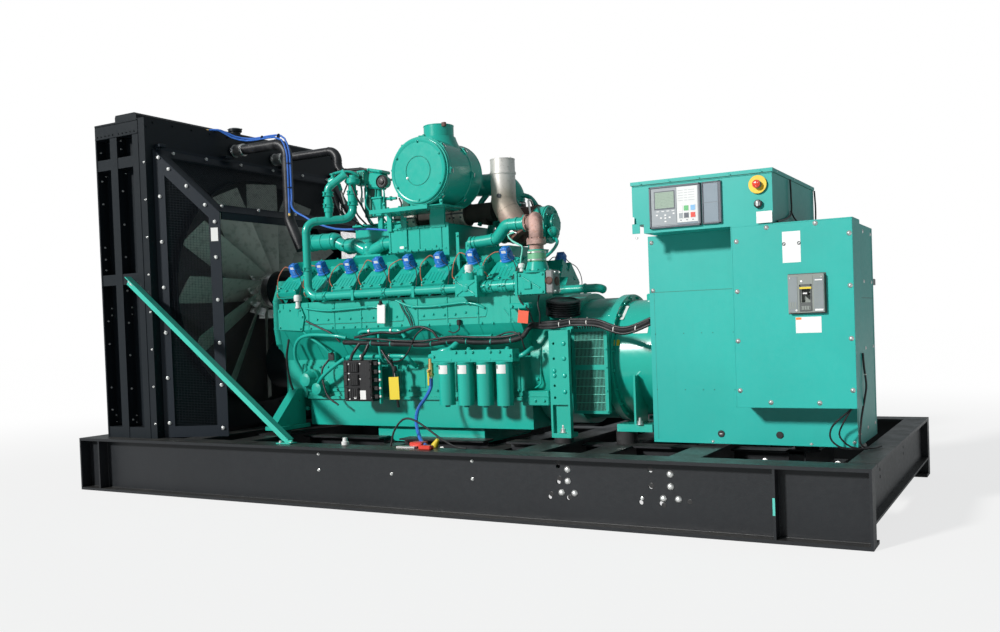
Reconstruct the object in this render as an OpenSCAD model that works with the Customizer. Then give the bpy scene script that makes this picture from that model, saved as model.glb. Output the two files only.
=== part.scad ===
// Skid-mounted generator set: sixteen-cylinder V engine, belt-driven fan and radiator,
// alternator, breaker cubicle and control box. Millimetres, +Z up, +X to the alternator end.
// The origin is under the middle of the skid, at its bottom face.

/* [Skid] */
// Overall length of the skid
skid_l = 6100; // [5600:50:7400]
// Overall width of the skid
skid_w = 2630; // [2300:10:3200]
// Depth of the side rails
skid_h = 420; // [340:10:520]
// Width of the side rails' flanges
rail_flange = 190; // [140:5:240]
// Thickness of the side rails' flanges
rail_flange_t = 20; // [12:1:30]
// Thickness of the side rails' webs
rail_web_t = 14; // [8:1:20]
// Depth of the cross-members
cross_h = 190; // [140:10:240]
// Radius of the lashing holes in the rail webs
web_hole_r = 14; // [8:1:20]

/* [Radiator] */
// Distance from the skid's end to the radiator's outer face
rad_setback = 200; // [100:10:400]
// Width of the radiator
rad_w = 2386; // [1900:10:2600]
// Height of the outer core frame above the skid
rad_h = 2520; // [2000:10:2900]
// Depth of the outer core frame
outer_d = 240; // [160:5:300]
// Depth of the inner core frame
inner_d = 260; // [160:5:320]
// Extra height of the inner core frame's header
header_rise = 50; // [20:5:90]
// Depth of the fan shroud
shroud_d = 71; // [50:1:160]
// Sheet thickness of the frames and the shroud
sheet_t = 6; // [3:0.5:10]

/* [Fan] */
// Radius at the tips of the fan blades
fan_r = 940; // [700:10:970]
// Number of fan blades
fan_blades = 12; // [8:1:14]
// Gap between the blade tips and the shroud ring
tip_gap = 30; // [15:1:50]
// Height of the fan's axis above the ground
fan_z = 1590; // [1450:10:1600]
// Pitch of the blades at the root
root_pitch = 48; // [35:1:60]
// Pitch of the blades at the tip
tip_pitch = 28; // [20:1:40]

/* [Engine] */
// Distance from the skid's radiator end to the front of the block
block_setback = 1450; // [1350:10:1700]
// Cylinders on each bank
bank_n = 8; // [6:1:8]
// Distance between neighbouring cylinders
cyl_pitch = 279; // [240:1:290]
// Height of the crankshaft's axis above the ground
crank_z = 950; // [900:5:1000]
// Half of the angle between the banks
bank_half = 30; // [25:1:35]
// Distance from the crankshaft to the deck
deck_l = 620; // [580:5:680]
// Height of a head with its cover
head_h = 222; // [200:2:280]
// Width of a head, along the crankshaft
head_w = 226; // [180:2:236]
// Half width of the block at its side covers
block_half = 600; // [540:5:640]
// Radius of the flywheel housing
flywheel_r = 470; // [420:5:500]
// Length of the flywheel housing
flywheel_l = 300; // [200:5:340]

/* [Pipes] */
// Outer radius of the coolant loop
loop_r = 31; // [20:1:40]
// Outer radius of the charge air pipes
charge_r = 65; // [56:1:90]
// Length of bare duct above the collar of the exhaust outlet and of the air inlet
duct_grip = 100; // [80:5:120]
// Outer radius of the exhaust elbow
exhaust_r = 92; // [70:1:110]
// Wall of the exhaust elbow
exhaust_wall = 5; // [3:1:8]
// Outer radius of the rubber coolant hoses
hose_r = 38; // [28:1:46]

/* [Air cleaner] */
// Radius of the canister
cleaner_r = 245; // [200:5:270]
// Length of the canister
cleaner_l = 480; // [400:10:540]
// Outer radius of the inlet neck
neck_r = 112; // [80:2:130]
// Height of the canister's axis above the ground
cleaner_z = 2350; // [2340:5:2400]

/* [Filters] */
// Number of oil filters
filter_n = 4; // [2:1:5]
// Radius of an oil filter
filter_r = 58; // [45:1:60]
// Length of an oil filter
filter_l = 305; // [240:5:330]

/* [Alternator] */
// Radius of the alternator's frame
alt_r = 405; // [360:5:430]
// Length of the adaptor between engine and alternator
adaptor_l = 245; // [200:5:320]
// Length of the alternator's frame
alt_l = 1475; // [1300:5:1500]
// Distance from the shaft to the near face of the alternator's feet
alt_foot_y = 450; // [420:5:520]

/* [Cubicle] */
// Distance from the skid's alternator end to the cubicle
cubicle_setback = 170; // [100:1:300]
// Length of the cubicle
cubicle_l = 1232; // [1100:2:1260]
// Depth of the cubicle, across the skid
cubicle_d = 700; // [660:5:760]
// Top of the cubicle above the ground
cubicle_top = 1740; // [1700:1:1800]
// How far the breaker box and the control box stand out of the cubicle
breaker_box_d = 235; // [180:5:280]
// Length of the breaker box
breaker_box_l = 674; // [640:2:720]
// Length of the control box
control_l = 849; // [780:1:900]
// Depth of the control box
control_d = 1106; // [900:2:1160]
// Height of the control box
control_h = 315; // [280:1:360]

/* [Hidden] */
$fn = 64;

eps = 1;
// Weld bead at each end of a bend: how far it stands out, and its width
bead = 2;
bead_l = 6;
// How far a straight stops short inside the bead
lap = 1;
rail_y = (skid_w - rail_flange) / 2;
web_face = rail_y - rail_web_t / 2;
rad_x0 = -skid_l / 2 + rad_setback;
core_x1 = rad_x0 + outer_d;
inner_x1 = core_x1 + inner_d;
shroud_x1 = inner_x1 + shroud_d;
rad_top = skid_h + rad_h;
inner_top = rad_top + header_rise;
block_x0 = -skid_l / 2 + block_setback;
cyl_x0 = block_x0 + 145;
block_l = bank_n * cyl_pitch + 48;
block_x1 = block_x0 + block_l;
flywheel_x1 = block_x1 + flywheel_l;
adaptor_x1 = flywheel_x1 + adaptor_l;
alt_x1 = adaptor_x1 + alt_l;
cubicle_x1 = skid_l / 2 - cubicle_setback;
cubicle_x0 = cubicle_x1 - cubicle_l;
cubicle_y0 = -668;
cubicle_y1 = cubicle_y0 + cubicle_d;
cubicle_bottom = skid_h + 21;
panel_y = cubicle_y0 - breaker_box_d;
// Engine feet stand on cross-members at the rails' top, alternator feet on lower ones
mount_y = 700;
mount_h = 33;
alt_beam_top = skid_h - 30;
alt_mount_h = 84;
bearer_y = 450;
bearer_h = 160;
gasket = 0.5;
pan_rail = crank_z - 260;
valley_half = 70;
valley_z = crank_z + 440;
valley_top = 1790;
blue_green = [0.13, 0.65, 0.53];
box_green = [0.16, 0.70, 0.62];
black = [0.13, 0.14, 0.15];

// ---- vectors ----
function unit(v) = v / norm(v);
function side_of(d) = unit(cross(d, abs(d[2]) < 0.9 ? [0, 0, 1] : [1, 0, 0]));
function corner_turn(a, b) = acos(min(1, max(-1, a * b)));

// A frame whose Z axis runs along d
module along(p, d) {
    u = side_of(d);
    v = cross(d, u);
    multmatrix([[u[0], v[0], d[0], p[0]], [u[1], v[1], d[1], p[1]], [u[2], v[2], d[2], p[2]]])
        children();
}

// Tube along the points, with round bends; wall of 0 is solid
module bent_tube(pts, r, bend, wall = 0) {
    difference() {
        tube_run(pts, r, bend, bead, 0);
        if (wall > 0) tube_run(pts, r - wall, bend, 0.5, eps);
    }
}

// Solid rod along the points, with round bends and a weld bead at each end of a bend
module tube_run(pts, r, bend, proud, over) {
    n = len(pts);
    dirs = [for (i = [0 : n - 2]) unit(pts[i + 1] - pts[i])];
    turns = [for (i = [0 : n - 3]) corner_turn(dirs[i], dirs[i + 1])];
    trim = [for (i = [0 : n - 1]) i == 0 || i == n - 1 ? 0 : bend * tan(turns[i - 1] / 2)];
    for (i = [0 : n - 2]) {
        a = i == 0 ? -over : trim[i] + lap;
        b = i == n - 2 ? -over : trim[i + 1] + lap;
        along(pts[i] + dirs[i] * a, dirs[i]) cylinder(r = r, h = norm(pts[i + 1] - pts[i]) - a - b);
    }
    for (i = [1 : n - 2]) {
        a = dirs[i - 1];
        b = dirs[i];
        t = turns[i - 1];
        inward = (b - cos(t) * a) / sin(t);
        axis = cross(a, inward);
        c = pts[i] - a * trim[i] + inward * bend;
        multmatrix([[-inward[0], a[0], axis[0], c[0]], [-inward[1], a[1], axis[1], c[1]],
                    [-inward[2], a[2], axis[2], c[2]]])
            rotate_extrude(angle = t) translate([bend, 0]) circle(r);
        for (e = [[pts[i] - a * trim[i], a], [pts[i] + b * trim[i], b]])
            along(e[0] - e[1] * bead_l / 2, e[1]) cylinder(r = r + proud, h = bead_l);
    }
}

module ring(r, wall, l) {
    difference() {
        cylinder(r = r, h = l);
        if (wall > 0) translate([0, 0, -eps]) cylinder(r = r - wall, h = l + 2 * eps);
    }
}

module both_sides() {
    children();
    mirror([0, 1, 0]) children();
}

// Profile in Y and Z, pushed along X from x0 to x1
module along_x(x0, x1) {
    translate([x0, 0, 0]) rotate([90, 0, 90]) linear_extrude(x1 - x0) children();
}

module block_of(x0, x1, y0, y1, z0, z1) {
    translate([x0, y0, z0]) cube([x1 - x0, y1 - y0, z1 - z0]);
}

// ---- skid ----
module i_section(w, h, tf, tw) {
    translate([-w / 2, 0]) square([w, tf]);
    translate([-w / 2, h - tf]) square([w, tf]);
    translate([-tw / 2, tf - eps]) square([tw, h - 2 * tf + 2 * eps]);
}

// Places of the two groups of four lashing holes, from the skid's middle
lash_x = [1237, 1827];
lash_offsets = [[0, 350], [0, 255], [-62, 160], [62, 160]];

module skid_rails() {
    color(black) both_sides() {
        difference() {
            translate([0, -rail_y, 0]) along_x(-skid_l / 2, skid_l / 2)
                i_section(rail_flange, skid_h, rail_flange_t, rail_web_t);
            for (x = lash_x, o = lash_offsets)
                translate([x + o[0], -rail_y + rail_web_t, o[1]]) rotate([90, 0, 0])
                    cylinder(r = web_hole_r, h = 2 * rail_web_t);
        }
        for (x = [-skid_l / 2 + 215, skid_l / 2 - 505])
            block_of(x, x + 14, -skid_w / 2 + 4, -web_face, rail_flange_t, skid_h - rail_flange_t);
        block_of(skid_l / 2 - 14, skid_l / 2, -skid_w / 2, -web_face, rail_flange_t,
                 skid_h - rail_flange_t);
        block_of(-skid_l / 2, -skid_l / 2 + 14, -skid_w / 2, -web_face, rail_flange_t,
                 skid_h - rail_flange_t);
    }
}

module cross_beam(x, w, h, top, half) {
    translate([x, -half, top - h]) rotate([90, 0, 180]) linear_extrude(2 * half) i_section(w, h, 12, 10);
}

end_flange = 150;
end_h = 300;
cross_top = skid_h - 80;

module end_beam(s) {
    x_web = s * (skid_l / 2 - 50);
    top = skid_h - rail_flange_t;
    span = web_face * 2 - rail_flange;
    difference() {
        union() {
            translate([s * (skid_l / 2 - end_flange / 2) - end_flange / 2, -span / 2, top])
                cube([end_flange, span, rail_flange_t]);
            translate([x_web - 7, -web_face, skid_h - end_h]) cube([14, 2 * web_face, end_h - rail_flange_t]);
            translate([s * (skid_l / 2 - 60) - 60, -web_face, skid_h - end_h])
                cube([120, 2 * web_face, 14]);
        }
        for (y = [-760, 215], z = [295, 335, 375])
            translate([x_web - 20, y, z]) rotate([0, 90, 0]) cylinder(r = 11, h = 40);
    }
}

// Cross-members: place along the skid, top, and whether it reaches the rails
cross_w = 190;
front_mount_x = block_x0 + 145;
rear_mount_x = flywheel_x1 + 30;
alt_mount_a = adaptor_x1 + 120;
alt_mount_b = alt_x1 - 170;
cross_spots = [[-skid_l / 2 + 450, skid_h, true], [-skid_l / 2 + 1080, skid_h, true],
               [front_mount_x, skid_h, true],
               [(3 * front_mount_x + 2 * rear_mount_x) / 5 - 60, cross_top, true],
               [(front_mount_x + 3 * rear_mount_x) / 4, cross_top, true],
               [rear_mount_x - 30, skid_h, true], [alt_mount_a, alt_beam_top, true],
               [(alt_mount_a + alt_mount_b) / 2 + 65, skid_h, true], [alt_mount_b, alt_beam_top, false]];

module skid_cross_members() {
    color(black) {
        end_beam(-1);
        end_beam(1);
        for (c = cross_spots)
            cross_beam(c[0], cross_w, cross_h, c[1],
                       !c[2] ? bearer_y - 5 : c[1] == skid_h ? rail_y - rail_flange / 2 : web_face);
    }
}

// Length of bearer between each pair of neighbouring cross-members
module skid_bearers() {
    top = alt_beam_top;
    color(black) both_sides() for (i = [0 : len(cross_spots) - 2])
        translate([0, -bearer_y, top - bearer_h])
            along_x(cross_spots[i][0] + cross_w / 2, cross_spots[i + 1][0] - cross_w / 2)
                i_section(150, bearer_h, 12, 10);
}

// ---- radiator ----
module side_channel(x0, x1, z1, lip) {
    y0 = -rad_w / 2;
    block_of(x0, x1, y0 + 96, y0 + 96 + sheet_t, skid_h, z1);
    block_of(x0, x0 + sheet_t, y0, y0 + 96, skid_h, z1);
    block_of(x1 - sheet_t, x1, y0, y0 + 96, skid_h, z1);
    block_of(x1 - lip, x1, y0, y0 + sheet_t, skid_h, z1);
    block_of(x0, x0 + 14, y0, y0 + sheet_t, skid_h, z1);
    for (z = [skid_h, skid_h + 1225, skid_h + 2150])
        block_of(x0 + eps, x1 - eps, y0 + 4, y0 + 96, z, z + 86);
}

module frame_box(x0, x1, z1, lip) {
    both_sides() side_channel(x0, x1, z1, lip);
    half = rad_w / 2;
    block_of(x0, x1, -half, half, z1 - 120, z1);
    block_of(x0, x1, -half + 96, half - 96, skid_h, skid_h + 110);
}

module radiator_frame() {
    color(black) {
        frame_box(rad_x0, core_x1, rad_top, 66);
        frame_box(core_x1, inner_x1, rad_top, 66);
        block_of(core_x1 + 6, inner_x1 - 10, -rad_w / 2, rad_w / 2, rad_top - eps, inner_top - 18);
        hull() {
            block_of(core_x1 + 6, inner_x1 - 10, -rad_w / 2, rad_w / 2, inner_top - 20, inner_top - 18);
            block_of(core_x1 + 14, inner_x1 - 30, -rad_w / 2, rad_w / 2, inner_top - 2, inner_top);
        }
        translate([inner_x1 - 90, -40, inner_top - eps]) cylinder(r = 48, h = 30);
        translate([inner_x1 - 90, -40, inner_top + 28]) cylinder(r = 60, h = 22);
    }
}

module radiator_cores() {
    half = rad_w / 2 - 96 - sheet_t;
    color([0.2, 0.21, 0.22])
        for (x = [rad_x0 + 40, core_x1 + 50])
            block_of(x, x + 130, -half, half, skid_h + 110, rad_top - 120);
}

module fan_shroud() {
    half = rad_w / 2 - 4;
    color(black) {
        difference() {
            block_of(inner_x1, shroud_x1, -half, half, skid_h, rad_top);
            block_of(inner_x1 - eps, shroud_x1 - sheet_t, -half + sheet_t, half - sheet_t,
                     skid_h + sheet_t, rad_top - sheet_t);
            translate([inner_x1, 0, fan_z]) rotate([0, 90, 0]) cylinder(r = fan_r + tip_gap, h = 200);
        }
        translate([shroud_x1 - eps, 0, fan_z]) rotate([0, 90, 0])
            difference() {
                cylinder(r = fan_r + tip_gap + sheet_t, h = 60);
                translate([0, 0, -eps]) cylinder(r = fan_r + tip_gap, h = 70);
            }
    }
}

// ---- fan guard ----
guard_x0 = shroud_x1;
guard_x1 = guard_x0 + 480;
guard_base_y = 1110;
guard_end_y = 900;
guard_base_z = 2710;
guard_end_z = 2185;
guard_bar = 88;
bar_t = 12;
wire_t = 3;

// Flat sheet in the plane of u and v, t thick along their cross product, starting d off the plane
module in_plane(o, u, v, d, t) {
    w = cross(u, v);
    multmatrix([[u[0], v[0], w[0], o[0] + d * w[0]], [u[1], v[1], w[1], o[1] + d * w[1]],
                [u[2], v[2], w[2], o[2] + d * w[2]]])
        linear_extrude(t) children();
}

guard_run = guard_x1 - guard_x0;
side_dir = unit([guard_run, guard_base_y - guard_end_y, 0]);
side_l = norm([guard_run, guard_base_y - guard_end_y]);
slope_dir = unit([guard_run, 0, guard_end_z - guard_base_z]);
slope_l = norm([guard_run, guard_end_z - guard_base_z]);

module guard_side_outline() {
    polygon([[0, skid_h], [side_l, skid_h], [side_l, guard_end_z - 9], [0, guard_base_z - 9]]);
}

module guard_top_outline() {
    polygon([[-guard_base_y - bar_t, 14], [guard_base_y + bar_t, 14], [guard_end_y + bar_t, slope_l],
             [-guard_end_y - bar_t, slope_l]]);
}

module fan_guard() {
    color(black) {
        both_sides() in_plane([guard_x0, -guard_base_y, 0], side_dir, [0, 0, 1], 0, bar_t) difference() {
            guard_side_outline();
            offset(delta = -guard_bar) guard_side_outline();
        }
        in_plane([guard_x0, 0, guard_base_z], [0, 1, 0], slope_dir, 0, bar_t) difference() {
            guard_top_outline();
            offset(delta = -guard_bar) guard_top_outline();
        }
        block_of(guard_x0, guard_x0 + 8, -guard_base_y + 20, guard_base_y - 20, guard_base_z - 60,
                 guard_base_z + 14);
        block_of(guard_x1 - bar_t, guard_x1, -guard_end_y + 20, guard_end_y - 20, guard_end_z - 60,
                 guard_end_z - 5);
    }
}

module fan_guard_mesh() {
    color([0.1, 0.1, 0.11]) {
        both_sides() in_plane([guard_x0, -guard_base_y, 0], side_dir, [0, 0, 1], -wire_t - 0.5, wire_t)
            offset(delta = 15 - guard_bar) guard_side_outline();
        in_plane([guard_x0, 0, guard_base_z], [0, 1, 0], slope_dir, -wire_t - 0.5, wire_t)
            offset(delta = 15 - guard_bar) guard_top_outline();
    }
}

// ---- fan ----
fan_x = shroud_x1 + 84;
hub_r = 150;
hub_l = 110;
blade_chord = 250;

// One blade standing up +Z from the hub: chord across, twisted from root to tip
module blade() {
    rotate([0, 0, 90 - root_pitch])
        linear_extrude(fan_r - hub_r + 10, twist = tip_pitch - root_pitch, slices = 8, segments = 10,
                       scale = [1.1, 0.6])
            polygon([[-blade_chord / 2, -4], [-blade_chord / 4, 14], [blade_chord / 4, 14],
                     [blade_chord / 2, -4], [0, 4]]);
}

module fan() {
    color([0.45, 0.46, 0.38]) translate([fan_x, 0, fan_z]) {
        rotate([0, 90, 0]) translate([0, 0, -hub_l / 2]) cylinder(r = hub_r, h = hub_l);
        for (i = [0 : fan_blades - 1])
            rotate([i * 360 / fan_blades, 0, 0]) translate([0, 0, hub_r - 10]) blade();
    }
}

module fan_drive() {
    x0 = fan_x + hub_l / 2 + 2;
    x1 = block_x0 - 102;
    color(black) {
        translate([x0, 0, fan_z]) rotate([0, 90, 0]) cylinder(r = 60, h = 120);
        translate([x0 + 110, 0, fan_z]) rotate([0, 90, 0]) cylinder(r = 165, h = 110);
        block_of(x0 + 210, x1, -140, 140, crank_z + 150, fan_z + 100);
        translate([x0 + 110, 0, crank_z]) rotate([0, 90, 0]) cylinder(r = 215, h = x1 - x0 - 110);
    }
}

module radiator_braces() {
    a = [core_x1 + 90, -rad_w / 2 - 8, skid_h + 1255];
    b = [-900, -rad_w / 2 - 8, skid_h + 8];
    color(box_green) both_sides() difference() {
        d = unit(b - a);
        v = cross([0, 1, 0], d);
        multmatrix([[v[0], 0, d[0], a[0]], [v[1], 1, d[1], a[1]], [v[2], 0, d[2], a[2]]])
            linear_extrude(norm(b - a)) {
                translate([-36, 0]) square([72, 8]);
                translate([-36, -50]) square([8, 50]);
            }
        block_of(b[0] - 200, b[0] + 100, b[1] - 80, b[1] + 40, skid_h - 100, skid_h);
    }
}

module coolant_hoses() {
    color([0.08, 0.08, 0.08]) {
        bent_tube([[shroud_x1, -234, 2800], [-1680, -234, 2800], [-1680, -234, 2160], [-1560, -234, 1900]],
                  hose_r + 6, 110);
        bent_tube([[shroud_x1, 266, 2790], [-1545, 266, 2790], [-1545, 266, 2588], [-1215, 266, 2572],
                   [-1215, 266, 2290]], hose_r, 90);
    }
}

// ---- engine ----
module bank(s) {
    translate([0, 0, crank_z]) rotate([s * bank_half, 0, 0]) children();
}

module engine_block() {
    deck_y = deck_l * sin(bank_half);
    deck_z = crank_z + deck_l * cos(bank_half);
    ox = 150 * cos(bank_half);
    oz = 150 * sin(bank_half);
    half = [[0, pan_rail], [-430, pan_rail], [-430, pan_rail + 300], [-block_half, pan_rail + 540],
            [-block_half, pan_rail + 755], [-deck_y - ox, deck_z - oz], [-deck_y + ox, deck_z + oz],
            [-valley_half, valley_z], [0, valley_z]];
    // The front upper corners are cut off in plan
    corner = [[block_x0 - eps, -block_half - eps], [block_x0 + 100, -block_half - eps],
              [block_x0 - eps, -block_half + 150]];
    color(blue_green) difference() {
        both_sides() along_x(block_x0, block_x1) polygon(half);
        both_sides() translate([0, 0, pan_rail + 300]) linear_extrude(700) polygon(corner);
    }
}

module gear_cover() {
    half = [[0, 560], [-250, 560], [-290, 640], [-290, 990], [-430, 1120], [-450, 1240],
            [-450, 1480], [-380, 1640], [0, 1640]];
    color(blue_green) both_sides() along_x(block_x0 - 100, block_x0) polygon(half);
}

module oil_pan() {
    color(blue_green) {
        block_of(block_x0 + 240, block_x1 - 20, -425, 425, crank_z - 480, pan_rail);
        block_of(-740, 220, -365, 365, crank_z - 600, crank_z - 470);
    }
}

module flywheel_housing() {
    color(blue_green)
        translate([block_x1, 0, crank_z]) rotate([0, 90, 0]) cylinder(r = flywheel_r, h = flywheel_l);
}

module engine_mounts() {
    foot = skid_h + mount_h;
    x1 = rear_mount_x - 71;
    x0 = front_mount_x - 85;
    y0 = -mount_y;
    pocket_top = foot + 220;
    color(blue_green) both_sides() {
        difference() {
            union() {
                block_of(x1, x1 + 142, y0, y0 + 40, foot, 1168);
                block_of(x1, x1 + 28, y0, -flywheel_r, 640, 1168);
                block_of(x1, x1 + 142, y0, y0 + 110, foot, foot + 30);
            }
            block_of(x1 + 14, x1 + 128, y0 - eps, y0 + 28, foot + 30, pocket_top);
            for (z = [720, 800, 980, 1080])
                translate([x1 + 34, y0 - eps, z]) rotate([-90, 0, 0]) cylinder(r = 9, h = 30);
        }
        block_of(x0, x0 + 170, -mount_y - 70, -432, foot, foot + 30);
        along_x(x0 + 45, x0 + 125)
            polygon([[-mount_y - 70, foot + 29], [-432, foot + 29], [-432, 760], [-520, 760],
                     [-mount_y - 70, foot + 60]]);
    }
}

module rubber_mounts() {
    color([0.1, 0.1, 0.1]) both_sides() {
        for (x = [rear_mount_x, front_mount_x])
            translate([x, -mount_y + 40, skid_h]) cylinder(r = 64, h = mount_h);
        for (x = [alt_mount_a, alt_mount_b])
            translate([x, -alt_foot_y + 72, alt_beam_top]) cylinder(r = 72, h = alt_mount_h);
    }
}

// How much lower a cover's outer edge is than its inner one
cover_drop = 55;
// How far a cover reaches outwards from the coil
cover_reach = 200;
// How far its flat part reaches inwards
cover_in = 10;
base_h = 120;
module cylinder_heads() {
    z = deck_l + gasket;
    z1 = z + head_h;
    plan = [[-105, -140], [-100, -cover_reach], [100, -cover_reach], [100, cover_in],
            [-40, cover_in], [-80, -20]];
    color(blue_green)
        both_sides() for (i = [0 : bank_n - 1])
            translate([cyl_x0 + i * cyl_pitch, 0, 0]) bank(1) {
                translate([-head_w / 2, -140, z]) cube([head_w, 280, base_h]);
                translate([-90, 12, z + base_h - eps]) cube([180, 108, 60]);
                translate([0, 0, z + base_h - eps]) cylinder(r = 50, h = head_h - base_h + eps);
                difference() {
                    translate([0, 0, z + base_h - eps]) linear_extrude(head_h - base_h + eps) polygon(plan);
                    translate([-150, cover_in, z1]) rotate([atan(cover_drop / (cover_reach + cover_in)), 0, 0])
                        translate([0, -cover_reach - 60, 0]) cube([300, cover_reach + 60, 100]);
                }
            }
}

module ignition_coils() {
    color([0.1, 0.25, 0.75])
        both_sides() for (i = [0 : bank_n - 1])
            translate([cyl_x0 + i * cyl_pitch, 0, 0]) bank(1)
                translate([0, 0, deck_l + head_h + 2 * gasket]) {
                    cylinder(r = 44, h = 60);
                    translate([-30, -30, 0]) cube([60, 60, 90]);
                }
}

// Two charge air pipes that meet in a stem on the manifold
stem_x = block_x0 + 750;
charge_stem_r = 52;
charge_y = -250;
charge_z = 1945;
charge_end = block_x0 + 410;
charge_leg_r = 49;
module charge_legs() {
    z = valley_top + 100;
    translate([stem_x, charge_y, valley_top - eps]) cylinder(r = charge_stem_r, h = 70);
    translate([stem_x, charge_y, z - 34]) sphere(r = charge_stem_r + 4);
    bent_tube([[charge_end, charge_y, charge_z], [charge_end + 100, charge_y, z + 5],
               [stem_x - 120, charge_y, z + 5], [stem_x - 20, charge_y, z - 50]], charge_leg_r, 90);
    bent_tube([[cooler_x0, charge_y, z - 5], [stem_x + 150, charge_y, z - 5],
               [stem_x + 20, charge_y, z - 55]], charge_leg_r - 3, 90);
    block_of(stem_x - 100, stem_x + 150, charge_y - 60, charge_y + 60, valley_top - eps, valley_top + 16);
}

module intake_manifold() {
    c = 5;
    half = [[0, valley_z], [-valley_half + c, valley_z], [-deck_l * sin(bank_half) + 130 + c, 1560],
            [-165, 1580], [-318, valley_top], [0, valley_top]];
    color(blue_green) {
        both_sides() along_x(block_x0 + 60, block_x1 - 220) polygon(half);
        both_sides() {
            translate([block_x0 + 150, charge_y, charge_z]) rotate([0, 90, 0])
                cylinder(r = charge_r, h = charge_end - block_x0 - 150);
            translate([charge_end, charge_y, charge_z]) sphere(r = charge_r + 1);
            charge_legs();
        }
        bent_tube([[70, -225, valley_top - eps], [70, -225, 1842], [310, -225, 1842],
                   [310, -225, 1885]], 40, 42);
        // The stand under the turbocharger
        block_of(400, 440, turbo_y - 50, turbo_y + 50, valley_top - eps, turbo_z - turbine_r - gasket);
    }
}

cooler_x0 = block_x0 + 1040;
module aftercooler() {
    color(blue_green) block_of(cooler_x0, -20, -380, 380, valley_top, 1985);
}

module gas_train() {
    y = -650;
    z = 1486;
    color(blue_green) {
        both_sides() {
            bent_tube([[-880, -400, 2380], [-880, -400, 2090], [-1150, y, 2065], [-1150, y, z], [229, y, z]],
                      loop_r, 90);
            bent_tube([[-1018, -528, 2090], [-1018, -528, 2330], [-900, -470, 2420]], loop_r - 2, 60);
            along([-1018, -528, 2140], [0, 0, 1]) cylinder(r = loop_r + 5, h = 100);
            along([-880, -400, 2190], [0, 0, 1]) cylinder(r = loop_r + 6, h = 100);
            along([-880, -400, 2379], unit([-3, -1, 5])) cylinder(r = 50, h = 30);
            along([-903, -471, 2419], unit([3, 1.5, 2])) cylinder(r = 44, h = 22);
            translate([214, y, z]) rotate([0, 90, 0]) cylinder(r = 46, h = 16);
            block_of(229, 400, y - 62, y + 48, z - 62, z + 50);
            translate([314, y - 7, z + 49]) cylinder(r = 54, h = 50);
            block_of(399, 415, y - 78, y + 46, z - 70, z + 78);
        }
        translate([414, y, z]) rotate([0, 90, 0]) cylinder(r = 38, h = 302);
        for (x = [480, 560]) translate([x, y, z]) rotate([0, 90, 0]) cylinder(r = 43, h = 16);
        block_of(715, 733, y - 82, y + 78, z - 76, z + 88);
        block_of(732, 938, y - 74, y + 74, z - 70, z + 74);
        translate([848, y, z + 73]) cylinder(r1 = 86, r2 = 66, h = 70);
        translate([848, y, z + 142]) cylinder(r = 58, h = 86);
    }
}

cleaner_x = -97;
cleaner_y0 = -620;
neck_top = cleaner_z + cleaner_r + 120;
module air_cleaner() {
    neck_y = cleaner_y0 + 280;
    pipe_z = cleaner_z - 30;
    color(blue_green) {
        translate([cleaner_x, cleaner_y0, cleaner_z]) rotate([-90, 0, 0]) {
            cylinder(r = cleaner_r, h = cleaner_l);
            translate([0, 0, -14]) cylinder(r = cleaner_r - 12, h = 15);
        }
        translate([cleaner_x, neck_y, neck_top - duct_grip]) cylinder(r = neck_r, h = duct_grip);
        translate([cleaner_x, neck_y, cleaner_z])
            cylinder(r = neck_r + 12, h = neck_top - duct_grip - cleaner_z);
        bent_tube([[cleaner_x, cleaner_y0 + cleaner_l - 5, pipe_z], [cleaner_x, 180, pipe_z],
                   [240, 180, pipe_z], [240, 180, turbo_z + inlet_r + gasket]], 86, 140);
    }
}

module air_cleaner_stand() {
    shelf = cleaner_z - cleaner_r;
    color(blue_green) {
        block_of(-560, -40, -620, -200, shelf - 12, shelf);
        block_of(-160, -40, -400, -380, 1960, shelf - 12);
        block_of(-560, -520, -400, -380, 1960, shelf - 12);
    }
}

// The turbocharger lies along the engine behind the air cleaner
turbo_y = 130;
turbo_z = 1962;
inlet_r = 110;
turbine_r = 150;
module turbochargers() {
    color(blue_green) {
        translate([160, turbo_y, turbo_z]) rotate([0, 90, 0]) cylinder(r = inlet_r, h = 169);
        translate([481, turbo_y, turbo_z]) rotate([0, 90, 0]) cylinder(r = 140, h = 104);
        translate([584, turbo_y, turbo_z]) rotate([0, 90, 0]) cylinder(r = 80, h = 36);
        translate([625, 60, 1896]) sphere(r = 45);
        bent_tube([[165, -365, 1822], [380, -365, 1836], [480, -390, 1930], [638, -390, 1930]], 43, 60);
        along([165, -365, 1822], unit([215, 0, 14])) cylinder(r = 50, h = 18);
        translate([628, -390, 1930]) rotate([0, 90, 0]) cylinder(r = 60, h = 10);
    }
}

outlet_top = 2450;
elbow_path = [[315, -120, outlet_top], [315, -120, 2110], [448, -120, 1900]];
elbow_way = unit(elbow_path[2] - elbow_path[1]);
module exhaust_elbow() {
    bend = 180;
    color([0.55, 0.53, 0.5])
        difference() {
            union() {
                bent_tube(elbow_path, exhaust_r, bend);
                translate(elbow_path[0] - [0, 0, duct_grip + 14]) cylinder(r = exhaust_r + 6, h = 14);
            }
            tube_run(elbow_path, exhaust_r - exhaust_wall, bend, 0.5, eps);
        }
}

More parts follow.
